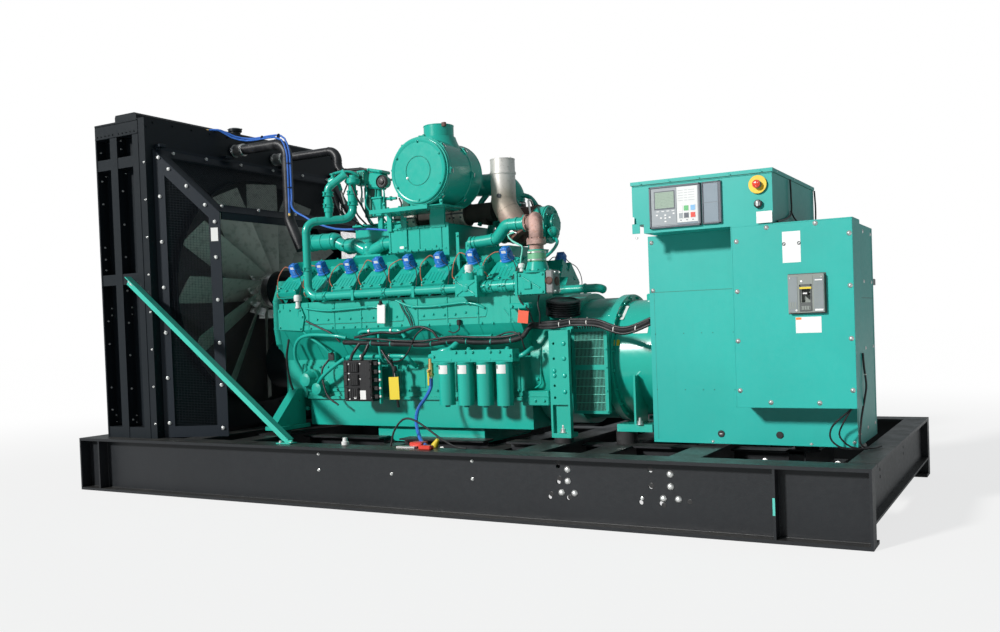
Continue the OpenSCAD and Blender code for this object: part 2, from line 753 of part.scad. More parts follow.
// Lagged exhaust pipe over the valley, with its bellows, and the turbine housing it feeds
module exhaust_manifold() {
    color([0.45, 0.4, 0.33]) {
        translate([-700, -40, 2080]) rotate([0, 90, 0]) cylinder(r = 72, h = 890);
        for (x = [-640, -540, -200, -100])
            translate([x, -40, 2080]) rotate([0, 90, 0]) cylinder(r = 85, h = 70);
        for (x = [-700, 100])
            block_of(x, x + 40, -90, 10, 1985, 2080);
    }
    color([0.3, 0.2, 0.16]) {
        translate([330, turbo_y, turbo_z]) rotate([0, 90, 0]) cylinder(r = turbine_r, h = 150);
        along(elbow_path[2] + elbow_way * gasket, elbow_way) cylinder(r = exhaust_r + 10, h = 34);
        translate([442, -120, 1852]) rotate([-90, 0, 0]) cylinder(r = 36, h = 200);
    }
}

module exhaust_riser() {
    z0 = 1486 + 228;
    color([0.45, 0.3, 0.22]) {
        bent_tube([[848, -650, z0], [848, -650, 1930], [700, -390, 1930], [640, -390, 1930]], 48, 90);
        translate([848, -650, z0 + 36]) cylinder(r = 66, h = 36);
        translate([640, -390, 1930]) rotate([0, 90, 0]) cylinder(r = 60, h = 12);
    }
}

module oil_filters() {
    color(blue_green) {
        block_of(0, 660, -700, -602, 965, 1050);
        block_of(0, 660, -602, -500, 990, 1020);
        for (i = [0 : filter_n - 1])
            translate([88 + i * 158, -642, 965 - filter_l]) cylinder(r = filter_r, h = filter_l + eps);
    }
}

// Drain cock under the oil filter header
module drain_valve() {
    color([0.75, 0.6, 0.3]) {
        bent_tube([[0, drain_y, 1008], [drain_x, drain_y, 1008], [drain_x, drain_y, 935]], 16, 26);
        translate([drain_x, drain_y, 875]) cylinder(r = 20, h = 62);
        translate([drain_x, drain_y, 863]) cylinder(r = 24, h = 14, $fn = 6);
        translate([drain_x, drain_y - 15, 905]) rotate([90, 0, 0]) cylinder(r = 12, h = 20);
    }
}

module control_modules() {
    color([0.1, 0.1, 0.11]) {
        block_of(-820, -560, -660, -560, 680, 990);
        block_of(-820, -560, -672, -659, 690, 980);
    }
}

// ---- cords ----
// Point at t on the smooth curve through four points
function curve(p, t) = 0.5 * (2 * p[1] + t * (p[2] - p[0]) + t * t * (2 * p[0] - 5 * p[1] + 4 * p[2] - p[3])
    + t * t * t * (3 * p[1] - p[0] - 3 * p[2] + p[3]));
function ghosted(p) = concat([2 * p[0] - p[1]], p, [2 * p[len(p) - 1] - p[len(p) - 2]]);
function smooth_path(p, step) = let (g = ghosted(p)) concat(
    [for (i = [0 : len(p) - 2]) let (m = ceil(norm(p[i + 1] - p[i]) / step))
        for (k = [0 : m - 1]) curve([g[i], g[i + 1], g[i + 2], g[i + 3]], k / m)], [p[len(p) - 1]]);
function heading(q, i) = unit(q[min(i + 1, len(q) - 1)] - q[max(i - 1, 0)]);
function rim(c, d, up, r) = let (u = unit(cross(up, d)), v = cross(d, u))
    [for (k = [0 : cord_sides - 1]) c + r * (cos(k * 360 / cord_sides) * u + sin(k * 360 / cord_sides) * v)];

// Round cord swept along the points; up is never along the cord
module cord(points, r, up, step) {
    q = smooth_path(points, step);
    n = len(q);
    rings = [for (i = [0 : n - 1]) each rim(q[i], heading(q, i), up, r)];
    walls = [for (i = [0 : n - 2], k = [0 : cord_sides - 1]) let (m = (k + 1) % cord_sides, a = i * cord_sides)
        [a + k, a + k + cord_sides, a + m + cord_sides, a + m]];
    first = [for (k = [0 : cord_sides - 1]) k];
    last = [for (k = [cord_sides - 1 : -1 : 0]) (n - 1) * cord_sides + k];
    polyhedron(rings, concat(walls, [first, last]));
}

cord_sides = 8;
drain_x = -42;
drain_y = -650;
vent_a = [[-2340, -470, 2952], [-2250, -430, 2952], [-2170, -360, 2888], [-2060, -300, 2856], [-1900, -292, 2852],
          [-1760, -292, 2850], [-1680, -292, 2818], [-1634, -290, 2720], [-1626, -290, 2600], [-1626, -290, 2190]];
vent_b = [[-2340, -445, 2952], [-2250, -405, 2952], [-2160, -335, 2900], [-2050, -280, 2874], [-1900, -274, 2870],
          [-1750, -274, 2868], [-1660, -276, 2830], [-1615, -276, 2720], [-1608, -276, 2600], [-1606, -278, 2330],
          [-1585, -310, 2270], [-1500, -370, 2205], [-1380, -400, 2150], [-1250, -390, 2080], [-1100, -350, 2030],
          [-960, -312, 2016], [-800, -300, 2008], [-640, -300, 1985], [-562, -300, 1970]];
drain_path = [[drain_x, drain_y, 862], [drain_x, -655, 790], [-60, -700, 715], [-62, -790, 650],
              [-20, -890, 580], [60, -990, 505], [150, -1080, 448], [230, -1150, 434]];
harness_path = [[720, -540, 1206], [850, -575, 1202], [978, -600, 1206], [1064, -610, 1216], [1187, -618, 1213],
                [1284, -628, 1202], [1386, -638, 1165], [1460, -642, 1150], [1540, -642, 1166],
                [cubicle_x0 - 12, -640, 1208]];
arch_path = [[-34, -1180, skid_h + 8], [-6, -1180, 524], [48, -1180, 592], [98, -1180, 616], [162, -1180, 607],
             [248, -1180, 563], [362, -1180, 493], [470, -1180, skid_h + 22], [560, -1180, skid_h + 9]];

module vent_lines() {
    color([0.25, 0.4, 0.75]) for (p = [vent_a, vent_b]) cord(p, 8, [0, 1, 0], 90);
}

module drain_hose() {
    color([0.25, 0.4, 0.75]) cord(drain_path, 13, [1, 0, 0], 32);
}

module wiring_harness() {
    color([0.07, 0.07, 0.07]) {
        cord(harness_path, 24, [0, 0, 1], 56);
        cord(arch_path, 7, [0, 1, 0], 32);
    }
}

// ---- alternator ----
module alternator_adaptor() {
    y = -505;
    x0 = flywheel_x1 + 33;
    x1 = adaptor_x1 + 50;
    color(blue_green) {
        translate([flywheel_x1, 0, crank_z]) rotate([0, 90, 0]) cylinder(r = alt_r + 25, h = adaptor_l);
        both_sides() {
            block_of(x0, adaptor_x1 - 12, y + 30, -200, 600, 1168);
            difference() {
                block_of(x0, x1, y, y + 40, 596, 1172);
                for (z = [[616, 892], [926, 1150]])
                    block_of(x0 + 22, x1 - 22, y - eps, y + 24, z[0], z[1]);
            }
        }
    }
}

module alternator_frame() {
    foot = alt_beam_top + alt_mount_h;
    color(blue_green) {
        translate([adaptor_x1, 0, crank_z]) rotate([0, 90, 0]) cylinder(r = alt_r + 45, h = 52);
        translate([adaptor_x1 + 51, 0, crank_z]) rotate([0, 90, 0]) cylinder(r = alt_r, h = alt_l - 51);
        both_sides() for (x = [alt_mount_a - 40, alt_mount_b - 170]) {
            block_of(x, x + 250, -alt_foot_y, -150, foot, foot + 50);
            block_of(x + 125, x + 139, -alt_foot_y, -230, foot, crank_z - 100);
        }
    }
}

// ---- cubicle ----
module terminal_box() {
    w = 10;
    foot = alt_beam_top + alt_mount_h;
    color(box_green) difference() {
        block_of(cubicle_x0, cubicle_x1, cubicle_y0, cubicle_y1, cubicle_bottom, cubicle_top);
        block_of(cubicle_x0 + w, cubicle_x1 - w, cubicle_y0 + w, cubicle_y1 - w, cubicle_bottom + w,
                 cubicle_top - w);
        translate([cubicle_x0 - eps, 0, crank_z]) rotate([0, 90, 0])
            cylinder(r = alt_r + 10, h = alt_x1 - cubicle_x0 + 10);
        block_of(cubicle_x0 - eps, alt_x1 + 10, -alt_foot_y - 15, cubicle_y1 + eps, cubicle_bottom - eps,
                 crank_z);
        for (x = [cubicle_x0 + 435, cubicle_x0 + 790])
            translate([x, cubicle_y0 - eps, 503]) rotate([-90, 0, 0]) cylinder(r = 18, h = w + 2 * eps);
    }
}

// Breaker box on the cubicle's near face, open at the back
breaker_x0 = cubicle_x1 + 40 - breaker_box_l;
module terminal_cover() {
    w = 6;
    x1 = cubicle_x1 + 40;
    color(box_green) difference() {
        block_of(breaker_x0, x1, panel_y, cubicle_y0, 687, cubicle_top);
        block_of(breaker_x0 + w, x1 - w, panel_y + w, cubicle_y0 + eps, 687 + w, cubicle_top - w);
    }
}

breaker_x = 2670;
breaker_z = 1332;
module circuit_breaker() {
    color([0.35, 0.37, 0.38]) difference() {
        block_of(breaker_x - 98, breaker_x + 98, panel_y - 34, panel_y, breaker_z - 107, breaker_z + 107);
        block_of(breaker_x - 24, breaker_x + 24, panel_y - 35, panel_y - 4, breaker_z - 50, breaker_z + 50);
    }
}

module breaker_handle() {
    color([0.08, 0.08, 0.08]) {
        translate([breaker_x - 14, panel_y - 19, breaker_z]) rotate([0, 90, 0]) cylinder(r = 9, h = 28);
        block_of(breaker_x - 14, breaker_x + 14, panel_y - 58, panel_y - 19, breaker_z - 9, breaker_z + 9);
    }
}

control_x0 = cubicle_x0 - 4;
control_x1 = control_x0 + control_l;
control_top = cubicle_top + control_h;
lid_h = 22;
module control_box() {
    color(box_green) {
        difference() {
            block_of(control_x0, control_x1, panel_y, panel_y + control_d, cubicle_top, control_top - lid_h + eps);
            block_of(control_x0 - eps, control_x0 + 70, panel_y - eps, panel_y + control_d + eps, cubicle_top - eps,
                     cubicle_top + 56);
        }
        block_of(control_x0 - 6, control_x1 + 6, panel_y - 8, panel_y + control_d + 6, control_top - lid_h,
                 control_top);
        translate([stop_x, panel_y + eps, stop_z]) rotate([90, 0, 0]) ring(stem_r + 5 + 4, 4, 22 + eps);
        translate([stop_x, panel_y + eps, key_z]) rotate([90, 0, 0]) ring(key_r + 5 + 3, 3, 10 + eps);
    }
}

module display_panel() {
    color([0.5, 0.52, 0.53]) {
        block_of(1760, 2078, panel_y - 16, panel_y, 1762, 2012);
        block_of(2086, 2200, panel_y - 12, panel_y, 1764, 2012);
    }
}

stop_x = 2414;
stop_z = 1966;
key_z = 1855;
stem_r = 14;
key_r = 9;
module emergency_stop() {
    color([0.75, 0.06, 0.05]) translate([stop_x, panel_y, stop_z]) rotate([90, 0, 0]) {
        translate([0, 0, 12]) cylinder(r = stem_r, h = 22);
        translate([0, 0, 33]) cylinder(r = 22, h = 16);
    }
}

module key_switch() {
    color([0.2, 0.2, 0.2]) translate([stop_x, panel_y, key_z]) rotate([90, 0, 0]) {
        translate([0, 0, 6]) cylinder(r = key_r, h = 12);
        translate([-4, -14, 17]) cube([8, 28, 18]);
    }
}

skid_rails();
skid_cross_members();
skid_bearers();
radiator_frame();
radiator_cores();
fan_shroud();
fan_guard();
fan_guard_mesh();
fan();
fan_drive();
radiator_braces();
coolant_hoses();
engine_block();
gear_cover();
oil_pan();
flywheel_housing();
engine_mounts();
rubber_mounts();
cylinder_heads();
intake_manifold();
aftercooler();
gas_train();
air_cleaner();
air_cleaner_stand();
turbochargers();
exhaust_elbow();
exhaust_riser();
oil_filters();
control_modules();
ignition_coils();
alternator_adaptor();
alternator_frame();
terminal_box();
terminal_cover();
circuit_breaker();
breaker_handle();
control_box();
display_panel();
emergency_stop();
key_switch();
exhaust_manifold();
drain_valve();
drain_hose();
vent_lines();
wiring_harness();
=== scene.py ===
"""Looks of a skid-mounted generator set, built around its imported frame.

Lengths are in metres. +X runs along the crankshaft to the alternator end, -Y is the side with the
breaker and the controls, and +Z is up. The CAD nodes keep their shapes and get their finishes here;
bolts, wires, clamps, labels and other small parts are separate pieces that ride on the same bodies.
"""

import logging
import math
import random
from collections.abc import Iterable, Sequence
from dataclasses import dataclass
from enum import Enum

import bpy
from mathutils import Matrix, Vector


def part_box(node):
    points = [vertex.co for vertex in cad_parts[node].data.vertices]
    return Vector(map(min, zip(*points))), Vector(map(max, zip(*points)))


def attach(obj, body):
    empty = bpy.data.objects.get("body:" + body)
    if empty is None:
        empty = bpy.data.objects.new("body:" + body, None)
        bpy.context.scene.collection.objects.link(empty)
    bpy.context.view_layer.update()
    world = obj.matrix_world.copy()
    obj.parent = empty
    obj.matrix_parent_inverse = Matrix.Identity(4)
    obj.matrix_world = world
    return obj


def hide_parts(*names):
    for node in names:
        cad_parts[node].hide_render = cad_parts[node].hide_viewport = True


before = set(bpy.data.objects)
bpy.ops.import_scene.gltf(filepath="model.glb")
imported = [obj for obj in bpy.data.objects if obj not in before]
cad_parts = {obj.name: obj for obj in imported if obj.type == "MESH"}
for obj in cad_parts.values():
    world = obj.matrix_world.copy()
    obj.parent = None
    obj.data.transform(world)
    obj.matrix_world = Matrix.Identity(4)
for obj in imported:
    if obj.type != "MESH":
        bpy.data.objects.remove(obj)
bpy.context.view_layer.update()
LOG = logging.getLogger("generator_set")
ROOT = "frame_and_machines"
UP = Vector((0.0, 0.0, 1.0))
NEAR = Vector((0.0, -1.0, 0.0))
FAR = Vector((0.0, 1.0, 0.0))
AFT = Vector((1.0, 0.0, 0.0))
FORE = Vector((-1.0, 0.0, 0.0))
SIDES = (-1, 1)
CORNERS = ((-1, -1), (1, -1), (1, 1), (-1, 1))
MOST_CUT = 0.45
LEAST_R = 1e-5
SAME_HEIGHT = 1e-7
TURBINE_X = 0.32
STEEP = 0.9
MADE: dict[str, bpy.types.Material] = {}

Rgb = tuple[float, float, float]
Point = Sequence[float]
WHITE: Rgb = (1.0, 1.0, 1.0)


# ---- shader graph ----
class Sig:
    """A shader socket that takes part in Python expressions."""

    def __init__(self, graph: "Graph", socket: bpy.types.NodeSocket) -> None:
        """Keeps a socket with the graph that it belongs to."""
        self.graph = graph
        self.socket = socket

    def __add__(self, other: "Sig | float") -> "Sig":
        """This plus other."""
        return self.graph.calc("ADD", self, other)

    def __radd__(self, other: float) -> "Sig":
        """Other plus this."""
        return self.graph.calc("ADD", other, self)

    def __sub__(self, other: "Sig | float") -> "Sig":
        """This less other."""
        return self.graph.calc("SUBTRACT", self, other)

    def __rsub__(self, other: float) -> "Sig":
        """Other less this."""
        return self.graph.calc("SUBTRACT", other, self)

    def __mul__(self, other: "Sig | float") -> "Sig":
        """This times other."""
        return self.graph.calc("MULTIPLY", self, other)

    def __rmul__(self, other: float) -> "Sig":
        """Other times this."""
        return self.graph.calc("MULTIPLY", other, self)

    def __truediv__(self, other: "Sig | float") -> "Sig":
        """This over other."""
        return self.graph.calc("DIVIDE", self, other)

    def __pow__(self, other: "Sig | float") -> "Sig":
        """This to the power of other."""
        return self.graph.calc("POWER", self, other)

    def clamped(self) -> "Sig":
        """This, kept between 0 and 1."""
        return self.graph.calc("ADD", self, 0.0, clamp=True)

    def above(self, low: float, high: float) -> "Sig":
        """A soft step from 0 at low to 1 at high.

        Args:
            low: the value where the step starts.
            high: the value where it ends.

        Returns:
            The step, between 0 and 1.
        """
        settings = {"interpolation_type": "SMOOTHSTEP", "clamp": True}
        sockets = {0: self, 1: low, 2: high, 3: 0.0, 4: 1.0}
        return self.graph.sig("ShaderNodeMapRange", settings, sockets)


class Graph:
    """A material's node tree, filled through a few short methods."""

    def __init__(self, name: str) -> None:
        """Starts an empty material of that name."""
        self.material = bpy.data.materials.new(name)
        self.material.use_nodes = True
        self.tree = self.material.node_tree
        self.tree.nodes.clear()
        self._where: Sig | None = None

    def add(self, kind: str, settings: dict | None = None, sockets: dict | None = None) -> bpy.types.Node:
        """Adds one node.

        Args:
            kind: the node's type, such as "ShaderNodeTexNoise".
            settings: its properties, set before its sockets; "stops" fills a colour ramp.
            sockets: values or links for its inputs, by name or by index.

        Returns:
            The node.
        """
        node = self.tree.nodes.new(kind)
        for key, value in (settings or {}).items():
            if key == "stops":
                ramp = node.color_ramp
                while len(ramp.elements) < len(value):
                    ramp.elements.new(1.0)
                for element, (place, colour) in zip(ramp.elements, value):
                    element.position = place
                    element.color = (*colour, 1.0)
            else:
                setattr(node, key, value)
        for key, value in (sockets or {}).items():
            if isinstance(value, Sig):
                self.tree.links.new(value.socket, node.inputs[key])
            elif isinstance(value, tuple) and node.inputs[key].type == "RGBA":
                node.inputs[key].default_value = (*value, 1.0)
            else:
                node.inputs[key].default_value = value
        return node

    def sig(self, kind: str, settings: dict | None = None, sockets: dict | None = None,
            output: int | str = 0) -> Sig:
        """Adds one node and returns one of its outputs.

        Args:
            kind: the node's type.
            settings: its properties.
            sockets: values or links for its inputs.
            output: which output is wanted.

        Returns:
            The output as a Sig.
        """
        return Sig(self, self.add(kind, settings, sockets).outputs[output])

    def calc(self, operation: str, *values: "Sig | float", clamp: bool = False) -> Sig:
        """One Math node on these values."""
        return self.sig("ShaderNodeMath", {"operation": operation, "use_clamp": clamp},
                        dict(enumerate(values)))

    def mix(self, share: "Sig | float", first: "Sig | Rgb", second: "Sig | Rgb",
            blend: str = "MIX") -> Sig:
        """Mixes two colours.

        Args:
            share: how much of the second colour there is.
            first: the first colour.
            second: the second colour.
            blend: the way that they mix.

        Returns:
            The mixed colour.
        """
        return self.sig("ShaderNodeMix", {"data_type": "RGBA", "blend_type": blend},
                        {0: share, 6: first, 7: second}, 2)

    def place(self) -> Sig:
        """The point being shaded, in the row frame."""
        if self._where is None:
            self._where = self.sig("ShaderNodeTexCoord", output="Object")
        return self._where

    def stretched(self, x: float, y: float, z: float) -> Sig:
        """The point being shaded with each axis scaled, for streaks and weaves."""
        return self.sig("ShaderNodeVectorMath", {"operation": "MULTIPLY"},
                        {0: self.place(), 1: (x, y, z)})

    def noise(self, scale: float, detail: float = 2.0, where: Sig | None = None) -> Sig:
        """Soft noise between 0 and 1.

        Args:
            scale: how many lumps there are in a metre.
            detail: how many finer layers it has.
            where: the coordinates; the point being shaded if left out.

        Returns:
            The noise.
        """
        return self.sig("ShaderNodeTexNoise", None,
                        {"Vector": where or self.place(), "Scale": scale, "Detail": detail})

    def axis(self, index: int, source: Sig) -> Sig:
        """One number, x, y or z, of a vector."""
        return self.sig("ShaderNodeSeparateXYZ", None, {0: source}, index)

    def facing_up(self) -> Sig:
        """How far the surface faces up, from -1 to 1."""
        return self.axis(2, self.sig("ShaderNodeNewGeometry", output="Normal"))

    def bump(self, height: Sig, depth: float, strength: float = 1.0) -> Sig:
        """A normal that follows a height.

        Args:
            height: the height, between 0 and 1.
            depth: the height of 1 in metres.
            strength: how much of it shows.

        Returns:
            The normal.
        """
        return self.sig("ShaderNodeBump", None,
                        {"Strength": strength, "Distance": depth, "Height": height})

    def close(self, sockets: dict) -> bpy.types.Material:
        """Ends the graph in one principled surface.

        Args:
            sockets: values or links for the surface's inputs.

        Returns:
            The finished material.
        """
        surface = self.sig("ShaderNodeBsdfPrincipled", None, sockets)
        self.add("ShaderNodeOutputMaterial", None, {"Surface": surface})
        return self.material


# ---- finishes ----
@dataclass(frozen=True)
class Finish:
    """What every finish has: a name, a colour, and how rough it is."""

    name: str
    colour: Rgb
    rough: float = 0.4

    def material(self) -> bpy.types.Material:
        """The finish's material, made once."""
        if self.name not in MADE:
            MADE[self.name] = self.build(Graph("finish_" + self.name))
        return MADE[self.name]

    def build(self, graph: Graph) -> bpy.types.Material:
        """Fills the graph for this finish."""
        raise NotImplementedError


@dataclass(frozen=True)
class Paint(Finish):
    """Sprayed paint on steel or iron: colour drift, orange peel, dust on top and faint runs of dirt."""

    dust: float = 0.12
    dirt: float = 0.18
    peel: float = 0.0006
    cast: float = 0.0
    specular: float = 0.5
    coat: float = 0.0
    dust_colour: Rgb = (0.42, 0.38, 0.32)

    def build(self, graph: Graph) -> bpy.types.Material:
        """Fills the graph with layers of drift, dirt and dust over the paint."""
        drift = graph.noise(1.7, 3.0)
        fine = graph.noise(34.0, 3.0)
        shade = tuple(c * 0.86 for c in self.colour)
        light = tuple(min(1.0, c * 1.12 + 0.004) for c in self.colour)
        colour = graph.mix(drift, shade, light)
        runs = graph.noise(1.0, 4.0, graph.stretched(26.0, 26.0, 1.6)).above(0.52, 0.78)
        colour = graph.mix(runs * fine * self.dirt, colour, tuple(c * 0.45 for c in self.colour))
        level = graph.facing_up().above(0.45, 0.98)
        patches = graph.noise(7.0, 5.0).above(0.34, 0.72)
        colour = graph.mix(level * (0.35 + 0.65 * patches) * self.dust, colour, self.dust_colour)
        specks = graph.noise(240.0, 1.0).above(0.72, 0.8)
        colour = graph.mix(specks * level * self.dust, colour, (0.6, 0.56, 0.5))
        rough = self.rough + 0.16 * (fine - 0.5) + level * patches * (self.dust * 1.4)
        height = graph.noise(420.0, 1.0) * 0.5 + graph.noise(90.0, 2.0) * 0.5
        depth = self.peel
        if self.cast:
            height = height * 0.3 + graph.noise(150.0, 4.0) * 0.7
            depth = self.cast
        return graph.close({
            "Base Color": colour, "Roughness": rough.clamped(), "Normal": graph.bump(height, depth),
            "Specular IOR Level": self.specular, "Coat Weight": self.coat, "Coat Roughness": 0.12})


@dataclass(frozen=True)
class Rubber(Finish):
    """Matt rubber or sleeve with a fine skin and dust in its pores."""

    ribs: float = 0.0

    def build(self, graph: Graph) -> bpy.types.Material:
        """Fills the graph with a fine skin and dusty patches."""
        patches = graph.noise(11.0, 4.0)
        skin = graph.noise(300.0, 2.0)
        dusty = tuple(c + 0.05 for c in self.colour)
        colour = graph.mix(patches.above(0.42, 0.75) * 0.55, self.colour, dusty)
        colour = graph.mix(skin.above(0.6, 0.7) * 0.25, colour, tuple(c * 0.5 for c in self.colour))
        height = skin
        if self.ribs:
            wave = graph.sig("ShaderNodeTexWave", {"bands_direction": "X"},
                             {"Vector": graph.place(), "Scale": self.ribs, "Distortion": 0.4})
            height = skin * 0.4 + wave * 0.6
        return graph.close({
            "Base Color": colour, "Roughness": (self.rough + 0.2 * (patches - 0.5)).clamped(),
            "Normal": graph.bump(height, 0.0006), "Specular IOR Level": 0.4})


@dataclass(frozen=True)
class Moulded(Finish):
    """Moulded plastic with a fine grain, faint flow marks and rubbed places."""

    grain: float = 0.0003
    specular: float = 0.5

    def build(self, graph: Graph) -> bpy.types.Material:
        """Fills the graph with grain and faint drift."""
        drift = graph.noise(9.0, 3.0)
        grain = graph.noise(900.0, 1.0)
        rubbed = graph.noise(38.0, 4.0).above(0.62, 0.8)
        colour = graph.mix(drift, tuple(c * 0.88 for c in self.colour),
                           tuple(min(1.0, c * 1.1 + 0.003) for c in self.colour))
        colour = graph.mix(rubbed * 0.12, colour, (0.5, 0.5, 0.5))
        rough = self.rough + 0.18 * (grain - 0.5) - 0.1 * rubbed
        return graph.close({
            "Base Color": colour, "Roughness": rough.clamped(),
            "Normal": graph.bump(grain, self.grain), "Specular IOR Level": self.specular})


@dataclass(frozen=True)
class Metal(Finish):
    """Bare or plated metal with fine brush marks, tarnish and smudges."""

    tarnish: Rgb = (0.3, 0.28, 0.25)
    tarnished: float = 0.3
    metallic: float = 1.0
    brush: float = 0.0002

    def build(self, graph: Graph) -> bpy.types.Material:
        """Fills the graph with brush marks under patches of tarnish."""
        smudge = graph.noise(23.0, 4.0)
        fine = graph.noise(1.0, 3.0, graph.stretched(900.0, 900.0, 60.0))
        patches = smudge.above(0.48, 0.72)
        colour = graph.mix(patches * self.tarnished, self.colour, self.tarnish)
        rough = self.rough + 0.25 * (fine - 0.5) + 0.22 * patches
        return graph.close({
            "Base Color": colour, "Roughness": rough.clamped(), "Metallic": self.metallic,
            "Normal": graph.bump(fine, self.brush)})


@dataclass(frozen=True)
class HeatedSteel(Finish):
    """Bare exhaust steel: grey-beige, with straw, violet and brown tints where it runs hot."""

    hot_z: float = 1.9
    cool_z: float = 2.38

    def build(self, graph: Graph) -> bpy.types.Material:
        """Fills the graph with tints that follow the height and a drift."""
        drift = graph.noise(6.0, 4.0)
        fine = graph.noise(1.0, 3.0, graph.stretched(500.0, 500.0, 40.0))
        height = graph.axis(2, graph.place())
        heat = (1.0 - height.above(self.hot_z, self.cool_z)) + 0.5 * (drift - 0.5)
        stops = [(0.0, self.colour), (0.45, (0.43, 0.385, 0.32)), (0.75, (0.4, 0.33, 0.27)),
                 (0.92, (0.36, 0.26, 0.22)), (1.0, (0.3, 0.2, 0.165))]
        tint = graph.sig("ShaderNodeValToRGB", {"stops": stops}, {0: heat})
        colour = graph.mix(graph.noise(60.0, 4.0).above(0.5, 0.75) * 0.35, tint, (0.22, 0.19, 0.17))
        rough = self.rough + 0.2 * (fine - 0.5) + 0.15 * heat
        return graph.close({
            "Base Color": colour, "Roughness": rough.clamped(), "Metallic": 0.35,
            "Normal": graph.bump(fine * 0.6 + drift * 0.4, 0.0006)})


@dataclass(frozen=True)
class Rust(Finish):
    """Cast iron with a dry brown rust, lighter bloom and dark pits."""

    def build(self, graph: Graph) -> bpy.types.Material:
        """Fills the graph with bloom and pits."""
        bloom = graph.noise(14.0, 6.0)
        pits = graph.noise(190.0, 4.0)
        colour = graph.mix(bloom.above(0.36, 0.68), tuple(c * 0.5 for c in self.colour), self.colour)
        colour = graph.mix(graph.noise(47.0, 5.0).above(0.55, 0.75) * 0.6, colour, (0.42, 0.2, 0.1))
        colour = graph.mix(pits.above(0.58, 0.7) * 0.6, colour, (0.06, 0.035, 0.025))
        height = pits * 0.6 + bloom * 0.4
        return graph.close({
            "Base Color": colour, "Roughness": (self.rough + 0.15 * (bloom - 0.5)).clamped(),
            "Metallic": 0.2, "Normal": graph.bump(height, 0.0022)})


@dataclass(frozen=True)
class Woven(Finish):
    """Woven heat wrap: crossed threads, dust and scorched patches."""

    threads: float = 120.0

    def build(self, graph: Graph) -> bpy.types.Material:
        """Fills the graph with crossed threads and scorch marks."""
        waves = [graph.sig("ShaderNodeTexWave", {"bands_direction": way},
                           {"Vector": graph.place(), "Scale": self.threads, "Distortion": 1.2})
                 for way in ("X", "Z")]
        weave = waves[0] * 0.5 + waves[1] * 0.5
        scorch = graph.noise(8.0, 5.0).above(0.4, 0.7)
        colour = graph.mix(scorch * 0.6, self.colour, tuple(c * 0.45 for c in self.colour))
        colour = graph.mix(weave * 0.35, colour, tuple(c * 0.6 for c in self.colour))
        return graph.close({
            "Base Color": colour, "Roughness": (self.rough + 0.1 * (weave - 0.5)).clamped(),
            "Normal": graph.bump(weave * 0.7 + graph.noise(60.0, 3.0) * 0.3, 0.0015),
            "Specular IOR Level": 0.25})


@dataclass(frozen=True)
class Finned(Finish):
    """A radiator core's stack of thin fins between its tubes."""

    fins: float = 95.0

    def build(self, graph: Graph) -> bpy.types.Material:
        """Fills the graph with fin edges over gaps darkened with painted shade."""
        wave = graph.sig("ShaderNodeTexWave", {"bands_direction": "Z", "wave_profile": "TRI"},
                         {"Vector": graph.place(), "Scale": self.fins, "Distortion": 0.15})
        tubes = graph.sig("ShaderNodeTexWave", {"bands_direction": "Y"},
                          {"Vector": graph.place(), "Scale": 28.0, "Distortion": 0.1})
        dust = graph.noise(6.0, 5.0).above(0.4, 0.75)
        # The dark bands between the fin edges are painted shade in the gaps between the fins.
        colour = graph.mix(wave, tuple(c * 0.25 for c in self.colour), self.colour)
        colour = graph.mix(tubes.above(0.6, 0.9) * 0.5, colour, (0.3, 0.3, 0.3))
        colour = graph.mix(dust * 0.25, colour, (0.3, 0.27, 0.22))
        return graph.close({
            "Base Color": colour, "Roughness": (self.rough + 0.2 * (dust - 0.5)).clamped(),
            "Metallic": 0.6, "Normal": graph.bump(wave, 0.002)})


@dataclass(frozen=True)
class Printed(Finish):
    """A plain stuck-on label: paper-like drift and faint creases shown as painted shade."""

    def build(self, graph: Graph) -> bpy.types.Material:
        """Fills the graph with drift and crease marks of painted shade."""
        drift = graph.noise(16.0, 4.0)
        # Darker crease marks: painted shade along creases, with no bump of their own.
        crease_shade = graph.noise(70.0, 3.0).above(0.6, 0.75)
        colour = graph.mix(drift * 0.3, self.colour, tuple(c * 0.82 for c in self.colour))
        colour = graph.mix(crease_shade * 0.12, colour, (0.35, 0.33, 0.3))
        return graph.close({
            "Base Color": colour, "Roughness": (self.rough + 0.2 * (drift - 0.5)).clamped(),
            "Normal": graph.bump(drift, 0.0004)})


@dataclass(frozen=True)
class Screen(Finish):
    """A liquid crystal display behind its window: fine rows of dots on grey-green."""

    def build(self, graph: Graph) -> bpy.types.Material:
        """Fills the graph with rows of dots."""
        rows = graph.sig("ShaderNodeTexWave", {"bands_direction": "Z"},
                         {"Vector": graph.place(), "Scale": 36.0, "Distortion": 0.0})
        dots = graph.noise(1.0, 1.0, graph.stretched(420.0, 1.0, 180.0)).above(0.5, 0.56)
        mark = rows.above(0.55, 0.7) * dots
        colour = graph.mix(mark * 0.55, self.colour, tuple(c * 0.3 for c in self.colour))
        return graph.close({
            "Base Color": colour, "Roughness": (self.rough + 0.05 * (dots - 0.5)).clamped(),
            "Normal": graph.bump(rows, 0.0001), "Specular IOR Level": 0.6})


